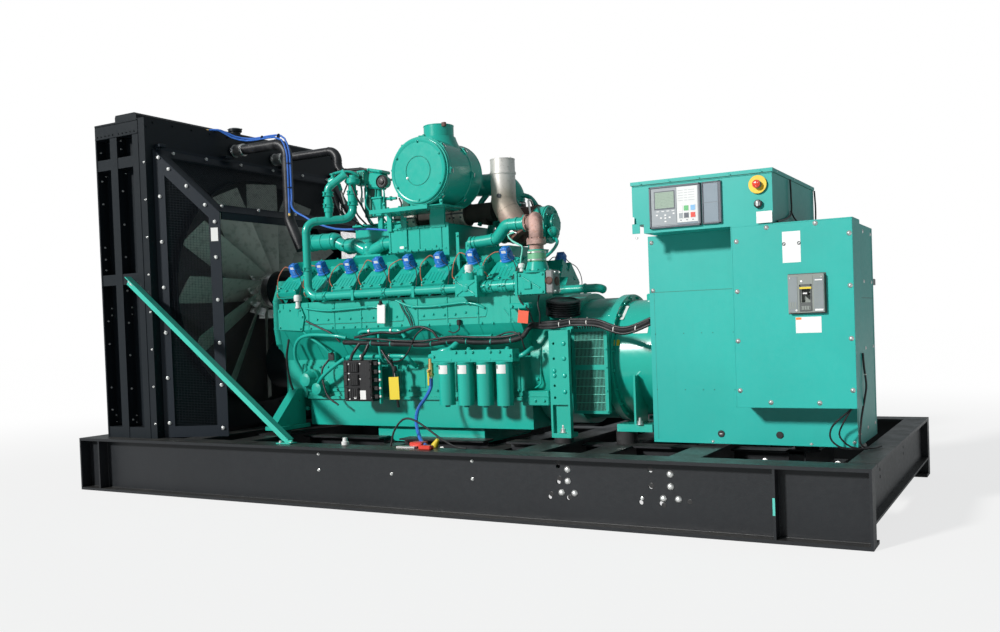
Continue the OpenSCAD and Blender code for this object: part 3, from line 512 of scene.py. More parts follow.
# ---- the set's finishes ----
class Coat(Enum):
    """Every finish on the set, by its maker's name."""

    SKID = Paint("skid_black", (0.012, 0.014, 0.017), 0.38, dust=0.1, dirt=0.3, specular=0.35)
    RADIATOR = Paint("radiator_black", (0.005, 0.009, 0.013), 0.42, dust=0.02, dirt=0.3, specular=0.2)
    GUARD = Paint("guard_black", (0.008, 0.014, 0.022), 0.45, dust=0.02, dirt=0.3, specular=0.22)
    ENGINE = Paint("engine_green", (0.012, 0.43, 0.345), 0.24, dust=0.03, peel=0.00012, specular=0.4,
                   coat=0.2)
    IRON = Paint("cast_green", (0.011, 0.4, 0.315), 0.33, dust=0.04, cast=0.0012, specular=0.35, coat=0.08)
    PANEL = Paint("box_green", (0.014, 0.42, 0.37), 0.38, dust=0.04, dirt=0.1, peel=0.0003, specular=0.4)
    BRACE = Paint("brace_green", (0.04, 0.5, 0.4), 0.33, dust=0.05, dirt=0.1)
    # Dark green for seam gaps, slots and small holes. In three places it is painted shade: a block among the
    # gas regulators, a shadow line under each cast seam of the block, and a ring in the air cleaner lid's
    # groove.
    DARK_GREEN = Paint("recess_green", (0.01, 0.13, 0.09), 0.45, dust=0.1)
    SLEEVE_GREEN = Paint("sleeve_green", (0.17, 0.47, 0.27), 0.35, dust=0.1)
    PALE_GREEN = Paint("pale_green", (0.13, 0.6, 0.48), 0.35, dust=0.1)
    CORE = Finned("core_fins", (0.2, 0.21, 0.22), 0.5)
    BLADE = Metal("fan_alloy", (0.5, 0.52, 0.48), 0.55, tarnish=(0.28, 0.29, 0.26), tarnished=0.45,
                  metallic=0.35)
    HOSE = Rubber("hose_rubber", (0.014, 0.015, 0.018), 0.42)
    PAD = Rubber("mount_rubber", (0.02, 0.02, 0.021), 0.7)
    SLEEVE = Rubber("cable_sleeve", (0.012, 0.012, 0.014), 0.5, ribs=150.0)
    WIRE = Rubber("black_wire", (0.016, 0.016, 0.018), 0.4)
    BLUE_TUBE = Rubber("blue_tube", (0.045, 0.17, 0.62), 0.3)
    LEAD = Rubber("spark_lead", (0.46, 0.135, 0.07), 0.4)
    EXHAUST = HeatedSteel("exhaust_steel", (0.7, 0.685, 0.66), 0.42)
    LAGGING = Woven("exhaust_wrap", (0.055, 0.052, 0.046), 0.85)
    # The pads' beige is brightened past their own colour to stand in for sunlight that the shelf and the air
    # cleaner keep off them: painted light.
    PAD_BEIGE = Woven("heat_pad", (0.84, 0.79, 0.71), 0.85)
    RUST = Rust("rusty_iron", (0.66, 0.43, 0.38), 0.78)
    TURBINE = Rust("turbine_iron", (0.2, 0.1, 0.085), 0.7)
    COIL = Moulded("coil_blue", (0.03, 0.21, 0.66), 0.22, grain=0.0001)
    MODULE = Paint("module_black", (0.014, 0.014, 0.016), 0.38, dust=0.05, specular=0.4)
    BREAKER = Moulded("breaker_grey", (0.24, 0.27, 0.25), 0.5)
    BREAKER_LIGHT = Moulded("breaker_pale", (0.22, 0.255, 0.27), 0.45)
    BREAKER_DARK = Moulded("breaker_dark", (0.075, 0.085, 0.085), 0.45)
    HANDLE = Moulded("handle_black", (0.012, 0.012, 0.013), 0.4)
    BEZEL = Moulded("bezel_grey", (0.3, 0.335, 0.36), 0.42)
    BEZEL_DARK = Moulded("bezel_slate", (0.085, 0.1, 0.125), 0.4)
    BEZEL_PALE = Moulded("bezel_white", (0.7, 0.72, 0.72), 0.4)
    BEZEL_BLUE = Moulded("bezel_blue", (0.19, 0.25, 0.3), 0.4)
    LCD = Screen("display_glass", (0.36, 0.46, 0.38), 0.16)
    STOP = Moulded("stop_red", (0.72, 0.045, 0.02), 0.25, grain=0.0001)
    STOP_DISC = Moulded("stop_yellow", (0.86, 0.56, 0.02), 0.4)
    CHROME = Metal("switch_chrome", (0.72, 0.72, 0.72), 0.16, tarnished=0.1)
    BRASS = Metal("valve_brass", (0.74, 0.53, 0.22), 0.34, tarnish=(0.36, 0.24, 0.1))
    ZINC = Metal("plated_bolt", (0.74, 0.75, 0.74), 0.36, tarnish=(0.42, 0.42, 0.4), metallic=0.85)
    STEEL = Metal("clamp_steel", (0.62, 0.62, 0.61), 0.32, tarnished=0.25, metallic=0.9)
    CAP_WHITE = Moulded("cap_white", (0.78, 0.79, 0.78), 0.4)
    CAP_RED = Moulded("cap_red", (0.7, 0.05, 0.03), 0.35)
    CAP_YELLOW = Moulded("cap_yellow", (0.8, 0.62, 0.04), 0.4)
    CAP_ORANGE = Moulded("cap_orange", (0.8, 0.22, 0.03), 0.4)
    KEY_GREEN = Moulded("key_green", (0.1, 0.45, 0.16), 0.4)
    KEY_BLUE = Moulded("key_blue", (0.2, 0.45, 0.72), 0.4)
    CASTING_GREY = Paint("casting_grey", (0.2, 0.21, 0.21), 0.45, cast=0.001)
    LABEL = Printed("label_white", (0.82, 0.83, 0.82), 0.45)
    LABEL_TEAL = Printed("label_teal", (0.1, 0.55, 0.47), 0.4)
    TAG_YELLOW = Printed("tag_yellow", (0.8, 0.62, 0.03), 0.45)
    TAG_RED = Printed("tag_red", (0.8, 0.09, 0.03), 0.45)
    INK = Printed("label_ink", (0.1, 0.11, 0.12), 0.5)
    TIE = Moulded("cable_tie", (0.74, 0.74, 0.7), 0.4)


NODE_COATS = {
    "skid_rails": Coat.SKID, "skid_cross_members": Coat.SKID, "skid_bearers": Coat.SKID,
    "radiator_frame": Coat.RADIATOR, "radiator_cores": Coat.CORE, "fan_shroud": Coat.RADIATOR,
    "fan_guard": Coat.GUARD, "fan": Coat.BLADE, "fan_drive": Coat.RADIATOR,
    "radiator_braces": Coat.BRACE, "coolant_hoses": Coat.HOSE, "engine_block": Coat.IRON,
    "gear_cover": Coat.IRON, "oil_pan": Coat.ENGINE, "flywheel_housing": Coat.IRON,
    "engine_mounts": Coat.IRON, "rubber_mounts": Coat.PAD, "cylinder_heads": Coat.ENGINE,
    "intake_manifold": Coat.ENGINE, "aftercooler": Coat.ENGINE, "gas_train": Coat.ENGINE,
    "air_cleaner": Coat.ENGINE, "air_cleaner_stand": Coat.ENGINE, "turbochargers": Coat.IRON,
    "exhaust_elbow": Coat.EXHAUST, "exhaust_riser": Coat.RUST, "oil_filters": Coat.ENGINE,
    "control_modules": Coat.MODULE, "ignition_coils": Coat.COIL, "alternator_adaptor": Coat.IRON,
    "alternator_frame": Coat.ENGINE, "terminal_box": Coat.PANEL, "terminal_cover": Coat.PANEL,
    "circuit_breaker": Coat.BREAKER, "breaker_handle": Coat.HANDLE, "control_box": Coat.PANEL,
    "display_panel": Coat.BEZEL, "emergency_stop": Coat.STOP, "key_switch": Coat.CHROME,
    "exhaust_manifold": Coat.LAGGING, "drain_valve": Coat.BRASS, "drain_hose": Coat.BLUE_TUBE,
    "vent_lines": Coat.BLUE_TUBE, "wiring_harness": Coat.SLEEVE,
}


# ---- mesh making ----
class Mould:
    """Gathers the faces of one piece, each with its finish.

    A bolt's sizes are shares of the width of its head, and its radii shares of the head's radius.
    """

    WASHER_HIGH = 0.12
    WASHER_R = 1.35
    WASHER_TOP_R = 1.2
    WASHER_EDGE = 0.7
    HEAD_HIGH = 0.62
    HEAD_BEVEL = 0.08
    HEAD_TOP_R = 0.8

    def __init__(self) -> None:
        """Starts with no faces."""
        self.points: list[Vector] = []
        self.faces: list[tuple[int, ...]] = []
        self.coats: list[int] = []
        self.soft: list[bool] = []
        self.used: list[Coat] = []

    def _coat(self, coat: Coat) -> int:
        """The index of a finish, added when it is new."""
        if coat not in self.used:
            self.used.append(coat)
        return self.used.index(coat)

    def patch(self, points: Iterable[Point], faces: Iterable[Sequence[int]], coat: Coat,
              soft: bool = False) -> None:
        """Adds faces on new points.

        Args:
            points: the corners, in the row frame.
            faces: corner indices of each face, seen from outside against the clock.
            coat: their finish.
            soft: whether they are shaded smooth.
        """
        first = len(self.points)
        self.points.extend(Vector(p) for p in points)
        for ids in faces:
            self.faces.append(tuple(first + i for i in ids))
            self.coats.append(self._coat(coat))
            self.soft.append(soft)

    def block(self, place: Matrix, size: Point, coat: Coat, cut: float = 0.0) -> None:
        """Adds a box with chamfered edges.

        Args:
            place: where its middle is and how it is turned.
            size: its three lengths.
            coat: its finish.
            cut: the chamfer.
        """
        h = [s / 2 for s in size]
        cut = min(cut, MOST_CUT * min(size))
        points, index = [], {}
        for sx in SIDES:
            for sy in SIDES:
                for sz in SIDES:
                    corner = (sx, sy, sz)
                    for flat in range(3):
                        index[corner, flat] = len(points)
                        at = [corner[a] * (h[a] - (0.0 if a == flat else cut)) for a in range(3)]
                        points.append(place @ Vector(at))
        faces = []
        for flat in range(3):
            u, v = (flat + 1) % 3, (flat + 2) % 3
            for s in SIDES:
                ring = []
                for su, sv in CORNERS:
                    corner = [0, 0, 0]
                    corner[flat], corner[u], corner[v] = s, su, sv
                    ring.append(index[tuple(corner), flat])
                faces.append(ring if s > 0 else ring[::-1])
        if cut > 0:
            for edge in range(3):
                u, v = (edge + 1) % 3, (edge + 2) % 3
                for su in SIDES:
                    for sv in SIDES:
                        low, high = [0, 0, 0], [0, 0, 0]
                        low[edge], high[edge] = -1, 1
                        low[u] = high[u] = su
                        low[v] = high[v] = sv
                        low, high = tuple(low), tuple(high)
                        ring = [index[low, u], index[high, u], index[high, v], index[low, v]]
                        faces.append(ring[::-1] if su * sv > 0 else ring)
            for sx in SIDES:
                for sy in SIDES:
                    for sz in SIDES:
                        ring = [index[(sx, sy, sz), flat] for flat in range(3)]
                        faces.append(ring if sx * sy * sz > 0 else ring[::-1])
            self.patch(points, faces, coat)
            return
        corners = [place @ Vector([c[a] * h[a] for a in range(3)])
                   for c in ((x, y, z) for x in SIDES for y in SIDES for z in SIDES)]
        self.patch(corners, [(0, 1, 3, 2), (4, 6, 7, 5), (0, 4, 5, 1), (2, 3, 7, 6), (0, 2, 6, 4),
                             (1, 5, 7, 3)], coat)

    def slab(self, low: Point, high: Point, coat: Coat, cut: float = 0.0015) -> None:
        """Adds a chamfered box between two corners, along the axes."""
        a, b = Vector(low), Vector(high)
        low, high = [min(p) for p in zip(a, b)], [max(p) for p in zip(a, b)]
        middle = (Vector(low) + Vector(high)) / 2
        self.block(Matrix.Translation(middle), Vector(high) - Vector(low), coat, cut)

    def loft(self, rings: Sequence[Sequence[Point]], coat: Coat, soft: bool = True,
             ends: tuple[bool, bool] = (True, True)) -> None:
        """Adds a skin through rings of the same number of points.

        Args:
            rings: the rings, each against the clock as seen from the last one's side.
            coat: the finish.
            soft: whether the skin is shaded smooth.
            ends: whether the first and the last ring are closed.
        """
        n = len(rings[0])
        points = [p for ring in rings for p in ring]
        faces = []
        for r in range(len(rings) - 1):
            for k in range(n):
                a, b = r * n + k, r * n + (k + 1) % n
                faces.append((a, b, b + n, a + n))
        self.patch(points, faces, coat, soft)
        if ends[0]:
            self.patch(rings[0], [tuple(range(n))[::-1]], coat)
        if ends[1]:
            self.patch(rings[-1], [tuple(range(n))], coat)

    def turned(self, at: Point, out: Point, profile: Sequence[tuple[float, float]], coat: Coat,
               sides: int = 16, round_profile: bool = False) -> None:
        """Adds a turned part.

        Args:
            at: the point on its axis where the profile's height is 0.
            out: the direction of its axis.
            profile: pairs of radius and height, from one end to the other.
            coat: its finish.
            sides: how many sides it has.
            round_profile: whether the profile is shaded smooth too.
        """
        u, v, w = self.axes(out)
        base = Vector(at)

        def ring(radius: float, height: float) -> list[Vector]:
            """One ring of the part."""
            turns = [k * math.tau / sides for k in range(sides)]
            return [base + w * height + (u * math.cos(t) + v * math.sin(t)) * max(radius, LEAST_R)
                    for t in turns]

        rings = [ring(r, h) for r, h in profile]
        if round_profile:
            self.loft(rings, coat, True, (True, True))
            return
        for i in range(len(rings) - 1):
            flat = abs(profile[i][1] - profile[i + 1][1]) < SAME_HEIGHT
            self.loft(rings[i:i + 2], coat, not flat, (i == 0, i == len(rings) - 2))

    def rod(self, a: Point, b: Point, r: float, coat: Coat, sides: int = 10,
            r2: float | None = None) -> None:
        """Adds a straight rod or cone from a to b."""
        a, b = Vector(a), Vector(b)
        self.turned(a, b - a, [(r, 0.0), (r if r2 is None else r2, (b - a).length)], coat, sides)

    @staticmethod
    def axes(out: Point) -> tuple[Vector, Vector, Vector]:
        """Three crossed unit vectors, the last along out."""
        w = Vector(out).normalized()
        u = w.cross(UP if abs(w.z) < STEEP else AFT).normalized()
        return u, w.cross(u), w

    @classmethod
    def frame_at(cls, at: Point, out: Point, spin: float = 0.0) -> Matrix:
        """A place at a point with its third axis along out, turned by spin radians."""
        u, v, w = cls.axes(out)
        turned = Matrix((u, v, w)).transposed().to_4x4()
        return Matrix.Translation(Vector(at)) @ turned @ Matrix.Rotation(spin, 4, "Z")

    def tube(self, points: Sequence[Point], r: float, coat: Coat, sides: int = 8,
             step: float = 0.03, straight: bool = False) -> None:
        """Adds a bent rod along a smooth curve through the points.

        Args:
            points: what it passes through.
            r: its radius.
            coat: its finish.
            sides: how many sides it has.
            step: the distance between its rings.
            straight: whether it goes straight from point to point.
        """
        path = [Vector(p) for p in points] if straight else smooth(points, step)
        rings, u = [], None
        for i, p in enumerate(path):
            ahead = (path[min(i + 1, len(path) - 1)] - path[max(i - 1, 0)]).normalized()
            if u is None:
                u = self.axes(ahead)[0]
            u = (u - ahead * u.dot(ahead)).normalized()
            v = ahead.cross(u)
            turns = [k * math.tau / sides for k in range(sides)]
            rings.append([p + (u * math.cos(t) + v * math.sin(t)) * r for t in turns])
        self.loft(rings, coat)

    def prism(self, outline: Sequence[Point], push: Point, coat: Coat, soft: bool = False) -> None:
        """Adds a flat outline pushed along a vector.

        Args:
            outline: its corners, against the clock as seen from the end of the push.
            push: the vector.
            coat: the finish.
            soft: whether its wall is shaded smooth.
        """
        base = [Vector(p) for p in outline]
        area = Vector()
        for a, b in zip(base, base[1:] + base[:1]):
            area += a.cross(b)
        if area.dot(Vector(push)) < 0:
            base.reverse()
        self.loft([base, [p + Vector(push) for p in base]], coat, soft)

    def bolt(self, at: Point, out: Point, across: float = 0.024, coat: Coat = Coat.ZINC,
             washer: bool = True) -> None:
        """Adds a hexagon head with its washer.

        Args:
            at: the point on the surface that it holds.
            out: the way that it faces.
            across: the width of its head.
            coat: its finish.
            washer: whether it has one.
        """
        r = across / math.sqrt(3)
        lift = 0.0
        if washer:
            lift = across * self.WASHER_HIGH
            wide = r * self.WASHER_R
            profile = [(wide, 0.0), (wide, lift * self.WASHER_EDGE), (r * self.WASHER_TOP_R, lift)]
            self.turned(at, out, profile, coat, 12)
        high = lift + across * self.HEAD_HIGH
        bevel = high - across * self.HEAD_BEVEL
        self.turned(at, out, [(r, lift / 2), (r, bevel), (r * self.HEAD_TOP_R, high)], coat, 6)

    def bolts(self, spots: Iterable[Point], out: Point, across: float = 0.024,
              coat: Coat = Coat.ZINC) -> None:
        """Adds the same bolt at each of these spots."""
        for spot in spots:
            self.bolt(spot, out, across, coat)

    def band(self, at: Point, out: Point, r: float, lift: float, wide: float, coat: Coat,
             sides: int = 32, edge: float = 0.002) -> None:
        """Adds a raised band with sloped edges round a pipe.

        Args:
            at: the point on the pipe's axis where the band starts.
            out: the axis's direction.
            r: the pipe's radius.
            lift: how far the band stands out.
            wide: its width.
            coat: its finish.
            sides: how many sides it has.
            edge: the width of each slope.
        """
        profile = [(r, 0.0), (r + lift, edge), (r + lift, wide - edge), (r, wide)]
        self.turned(at, out, profile, coat, sides)

    def plates(self, corners: Iterable[tuple[Point, Point]], y0: float, y1: float, coat: Coat,
               cut: float) -> None:
        """Adds upright plates, each between two corners in x and z."""
        for low, high in corners:
            self.slab((low[0], y0, low[1]), (high[0], y1, high[1]), coat, cut)

    def piece(self, name: str, body: str = ROOT,
              replaces: Sequence[str] = ()) -> bpy.types.Object:
        """Turns the faces into one object that rides on a body.

        Args:
            name: the piece's plain name.
            body: the body that it rides on.
            replaces: the CAD nodes that it stands for.

        Returns:
            The object.
        """
        mesh = bpy.data.meshes.new(name)
        mesh.from_pydata([tuple(p) for p in self.points], [], self.faces)
        for coat in self.used:
            mesh.materials.append(coat.value.material())
        mesh.polygons.foreach_set("material_index", self.coats)
        mesh.polygons.foreach_set("use_smooth", self.soft)
        mesh.update()
        thing = bpy.data.objects.new(name, mesh)
        bpy.context.scene.collection.objects.link(thing)
        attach(thing, body)
        if replaces:
            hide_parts(*replaces)
        LOG.info("%s: %d faces", name, len(self.faces))
        return thing


def smooth(points: Sequence[Point], step: float) -> list[Vector]:
    """Points along the smooth curve through some points.

    Args:
        points: what it passes through.
        step: about how far apart the new points are.

    Returns:
        The points of the curve.
    """
    p = [Vector(q) for q in points]
    ghosts = [2 * p[0] - p[1], *p, 2 * p[-1] - p[-2]]
    path = []
    for i in range(len(p) - 1):
        a, b, c, d = ghosts[i:i + 4]
        count = max(1, math.ceil((c - b).length / step))
        for k in range(count):
            t = k / count
            path.append(0.5 * (2 * b + t * (c - a) + t * t * (2 * a - 5 * b + 4 * c - d)
                               + t * t * t * (3 * b - a - 3 * c + d)))
    path.append(p[-1])
    return path


def around(centre: Point, r: float, count: int, flat: int, start: float = 0.0) -> list[list[float]]:
    """Points on a circle.

    Args:
        centre: its middle.
        r: its radius.
        count: how many points there are.
        flat: the axis through the circle, 0, 1 or 2.
        start: the first point's angle, from the first of the other two axes.

    Returns:
        The points.
    """
    u, v = (axis for axis in range(3) if axis != flat)
    spots = []
    for k in range(count):
        turn = k * math.tau / count + start
        spot = list(centre)
        spot[u] += r * math.cos(turn)
        spot[v] += r * math.sin(turn)
        spots.append(spot)
    return spots


# ---- sub-assemblies ----
@dataclass
class Skid:
    """Bolts, caps, small holes, welds and labels of the skid."""

    web_y: float = 1.227
    cap_r: float = 0.019
    stiffener_x: float = 2.552
    flange_t: float = 0.02
    weld_y: float = 1.228
    weld_long: float = 0.011
    weld_step: float = 0.013

    def __post_init__(self) -> None:
        """Reads the rails' box."""
        self.low, self.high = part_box("skid_rails")

    def caps(self) -> None:
        """Domed round heads in two groups of four on each side, and small bolts between them."""
        mould = Mould()
        groups = ((1.3, 0.043), (1.948, 0.045))
        for side in SIDES:
            out = Vector((0, side, 0))
            y = side * self.web_y
            for x, half in groups:
                spots = ((x, 0.333), (x, 0.262), (x - half, 0.191), (x + half, 0.191))
                for px, pz in spots:
                    r = self.cap_r
                    dome = [(r * 1.08, 0.0), (r * 1.08, 0.003), (r, 0.004), (r * 0.86, 0.009),
                            (r * 0.55, 0.0125), (r * 0.2, 0.014)]
                    mould.turned((px, y, pz), out, dome, Coat.ZINC, 20, True)
            for x, z in ((-0.625, 0.361), (-0.627, 0.248), (0.629, 0.359), (0.629, 0.244),
                         (-0.003, 0.248), (1.774, 0.185)):
                mould.bolt((x, y, z), out, 0.014)
        mould.piece("skid_caps")

    def plugs(self) -> None:
        """Dark rubber plugs in the drilled holes beside the caps."""
        mould = Mould()
        for side in SIDES:
            for x, z in ((1.243, 0.372), (1.246, 0.276), (1.188, 0.178), (1.312, 0.165),
                         (1.829, 0.362), (1.834, 0.262), (1.905, 0.152), (2.06, 0.18)):
                mould.turned((x, side * self.web_y, z), (0, side, 0),
                             [(0.015, -0.002), (0.015, 0.0004), (0.0135, 0.001)], Coat.HANDLE, 16)
        mould.piece("skid_plugs")

    def welds(self) -> None:
        """Fillet weld beads along the stiffeners and the webs' ends."""
        mould = Mould()
        low_z, high_z = self.flange_t, self.high.z - self.flange_t
        chance = random.Random(11)
        for side in SIDES:
            y = side * self.weld_y
            for x in (self.low.x + 0.215, self.low.x + 0.229, self.stiffener_x - 0.007,
                      self.stiffener_x + 0.007):
                z = low_z + 0.004
                while z < high_z - 0.01:
                    r = chance.uniform(0.0035, 0.005)
                    mould.rod((x, y, z), (x, y, z + self.weld_long), r, Coat.SKID, 6, r * 0.7)
                    z += self.weld_step
            for z in (low_z, high_z):
                mould.rod((self.low.x + 0.02, y, z), (self.high.x - 0.02, y, z), 0.005, Coat.SKID, 6)
        mould.piece("skid_welds")

    def end_dress(self) -> None:
        """The blank strip labels on the stiffeners and the bolts of the bearers."""
        mould = Mould()
        for side in SIDES:
            y = side * (self.high.y - 0.012)
            mould.slab((self.stiffener_x - 0.0085, y - 0.008, 0.15),
                       (self.stiffener_x - 0.0072, y + 0.008, 0.245), Coat.LABEL_TEAL, 0.0002)
            mould.slab((self.stiffener_x - 0.006, side * (self.high.y - 0.002), 0.15),
                       (self.stiffener_x + 0.006, side * (self.high.y - 0.0004), 0.245), Coat.LABEL_TEAL,
                       0.0002)
        mould.piece("skid_labels")
        mould = Mould()
        for x, z in ((2.29, 0.31), (2.726, 0.31), (-0.1, 0.31), (1.15, 0.31)):
            for side in SIDES:
                mould.bolt((x, side * 0.4555, z), (0, side, 0), 0.026)
        mould.piece("bearer_bolts")

    def deck_parts(self) -> None:
        """A red cleat, an orange block and a grey plate on the rails under the drain hose."""
        mould = Mould()
        top = self.high.z
        mould.slab((0.1, -1.16, top), (0.2, -1.08, top + 0.035), Coat.CAP_RED, 0.006)
        mould.slab((0.235, -1.255, top), (0.33, -1.2, top + 0.028), Coat.CAP_RED, 0.008)
        mould.turned((0.262, -1.1, top + 0.004), (0.25, -0.05, 0.35),
                     [(0.024, 0.0), (0.024, 0.012), (0.012, 0.06), (0.008, 0.062)], Coat.CAP_YELLOW, 14)
        mould.slab((0.02, -1.2, top), (0.17, -1.15, top + 0.012), Coat.STEEL, 0.002)
        mould.turned((-0.455, -1.14, top), UP, [(0.026, 0.0), (0.026, 0.02), (0.018, 0.026), (0.016, 0.05)],
                     Coat.CAP_WHITE, 14)
        mould.piece("deck_parts")

    def build(self) -> None:
        """Makes every piece of the skid."""
        self.caps()
        self.plugs()
        self.welds()
        self.end_dress()
        self.deck_parts()


@dataclass
class Radiator:
    """Bolts, seams and cap of the radiator, its shroud and its braces."""

    sheet: float = 0.006
    flange_y: float = 1.145
    side_y: float = 1.193
    eye_y: float = 0.8
    fan_z: float = 1.59

    def __post_init__(self) -> None:
        """Reads the frame's and the shroud's boxes."""
        self.low, self.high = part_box("radiator_frame")
        self.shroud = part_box("fan_shroud")

    def frame_bolts(self) -> None:
        """Bolts on the inner faces of the side channels, down both frames and both sides."""
        mould = Mould()
        first = (2.84, 2.73, 2.6, 2.499, 2.314, 1.96, 1.864, 1.776, 1.361, 1.175, 0.82, 0.638, 0.475)
        second = (2.86, 2.801, 2.734, 2.398, 2.13, 1.869, 1.6, 1.341, 1.08, 0.812, 0.56)
        pairs = (2.6, 2.543, 1.727, 1.67, 1.465, 1.409, 0.591, 0.535)
        for side in SIDES:
            for x, heights in ((self.low.x + self.sheet, first), (self.low.x + 0.24 + self.sheet, second)):
                mould.bolts([(x, side * self.flange_y, z) for z in heights], AFT, 0.012)
                mould.bolts([(x, side * 1.108, z) for z in pairs], AFT, 0.009)
        mould.piece("radiator_bolts")

    def header(self) -> None:
        """Lips, gasket seam, bolts and lifting eyes of the two headers, and the cap's tabs."""
        mould = Mould()
        x0, x1 = self.low.x, self.low.x + 0.5
        lip_y = self.side_y - 0.01
        for z in (2.82, 2.935):
            mould.slab((x0 - 0.002, -lip_y, z - 0.006), (x0 + 0.004, lip_y, z), Coat.RADIATOR)
        for side in SIDES:
            for z in (2.826, 2.93):
                mould.slab((x0 + 0.005, side * self.side_y, z - 0.005),
                           (x1 - 0.005, side * (self.side_y + 0.006), z + 0.004), Coat.RADIATOR, 0.001)
            for i in range(5):
                mould.bolts([(x0 + dx + i * 0.045, side * self.side_y, 2.845) for dx in (0.03, 0.28)],
                            (0, side, 0), 0.01, Coat.RADIATOR)
            eye = side * self.eye_y
            mould.slab((x0 + 0.06, eye - 0.006, 2.94), (x0 + 0.16, eye + 0.006, 2.995), Coat.RADIATOR,
                       0.003)
            mould.turned((x0 + 0.11, eye - 0.0075, 2.968), FAR, [(0.017, 0.0), (0.017, 0.015)], Coat.HANDLE,
                         16)
        mould.bolts([(x0 + 0.004, -1.12 + i * 0.0974, 2.88) for i in range(24)], FORE, 0.014, Coat.RADIATOR)
        mould.piece("header_seams")
        cap = Mould()
        at = Vector((self.low.x + 0.41, -0.04, self.high.z - 0.001))
        cap.turned(at, UP, [(0.058, 0.0), (0.058, 0.004), (0.046, 0.009), (0.02, 0.012)], Coat.CHROME, 24)
        for turn in (0.4, 0.4 + math.pi):
            way = Vector((math.cos(turn), math.sin(turn), 0))
            place = Mould.frame_at(at + way * 0.05 + UP * 0.002, UP, turn)
            cap.block(place, (0.028, 0.034, 0.006), Coat.CHROME, 0.002)
        cap.piece("filler_cap_tabs")

    def shroud_bolts(self) -> None:
        """Bolts down the shroud's side strip, round its face and round the fan ring."""
        mould = Mould()
        low, high = self.shroud
        x = high.x - 0.06 - 0.017
        face_x = low.x + 0.071
        for side in SIDES:
            mould.bolts([(x, side * high.y, 0.535 + i * 0.2935) for i in range(8)], (0, side, 0), 0.011)
            mould.bolts([(face_x, side * 1.165, 0.47 + i * 0.3) for i in range(9)], AFT, 0.012,
                        Coat.RADIATOR)
        mould.bolts(around((face_x, 0.0, self.fan_z), 1.02, 28, 0), AFT, 0.014, Coat.RADIATOR)
        mould.bolts([(face_x, -1.1 + i * 0.2, 2.91) for i in range(12)], AFT, 0.014, Coat.RADIATOR)
        mould.piece("shroud_bolts")

    def brace_bolts(self) -> None:
        """The bolts and foot plates at both ends of the braces."""
        mould = Mould()
        low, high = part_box("radiator_braces")
        for side in SIDES:
            y = side * (high.y - 0.05)
            top = Vector((low.x + 0.04, side * 1.2015, high.z - 0.035))
            mould.bolt(top + Vector((0.028, 0, -0.02)), (0, side, 0), 0.026)
            mould.bolt(top, (0, side, 0), 0.02)
            mould.slab((high.x - 0.13, y - 0.035, 0.4205), (high.x, y + 0.045, 0.429), Coat.BRACE, 0.002)
            mould.bolt((high.x - 0.03, y + 0.015, 0.429), UP, 0.024)
            mould.bolt((high.x - 0.1, y - 0.018, 0.429), UP, 0.02)
        mould.piece("brace_bolts")

    def build(self) -> None:
        """Makes every piece of the radiator."""
        self.frame_bolts()
        self.header()
        self.shroud_bolts()
        self.brace_bolts()


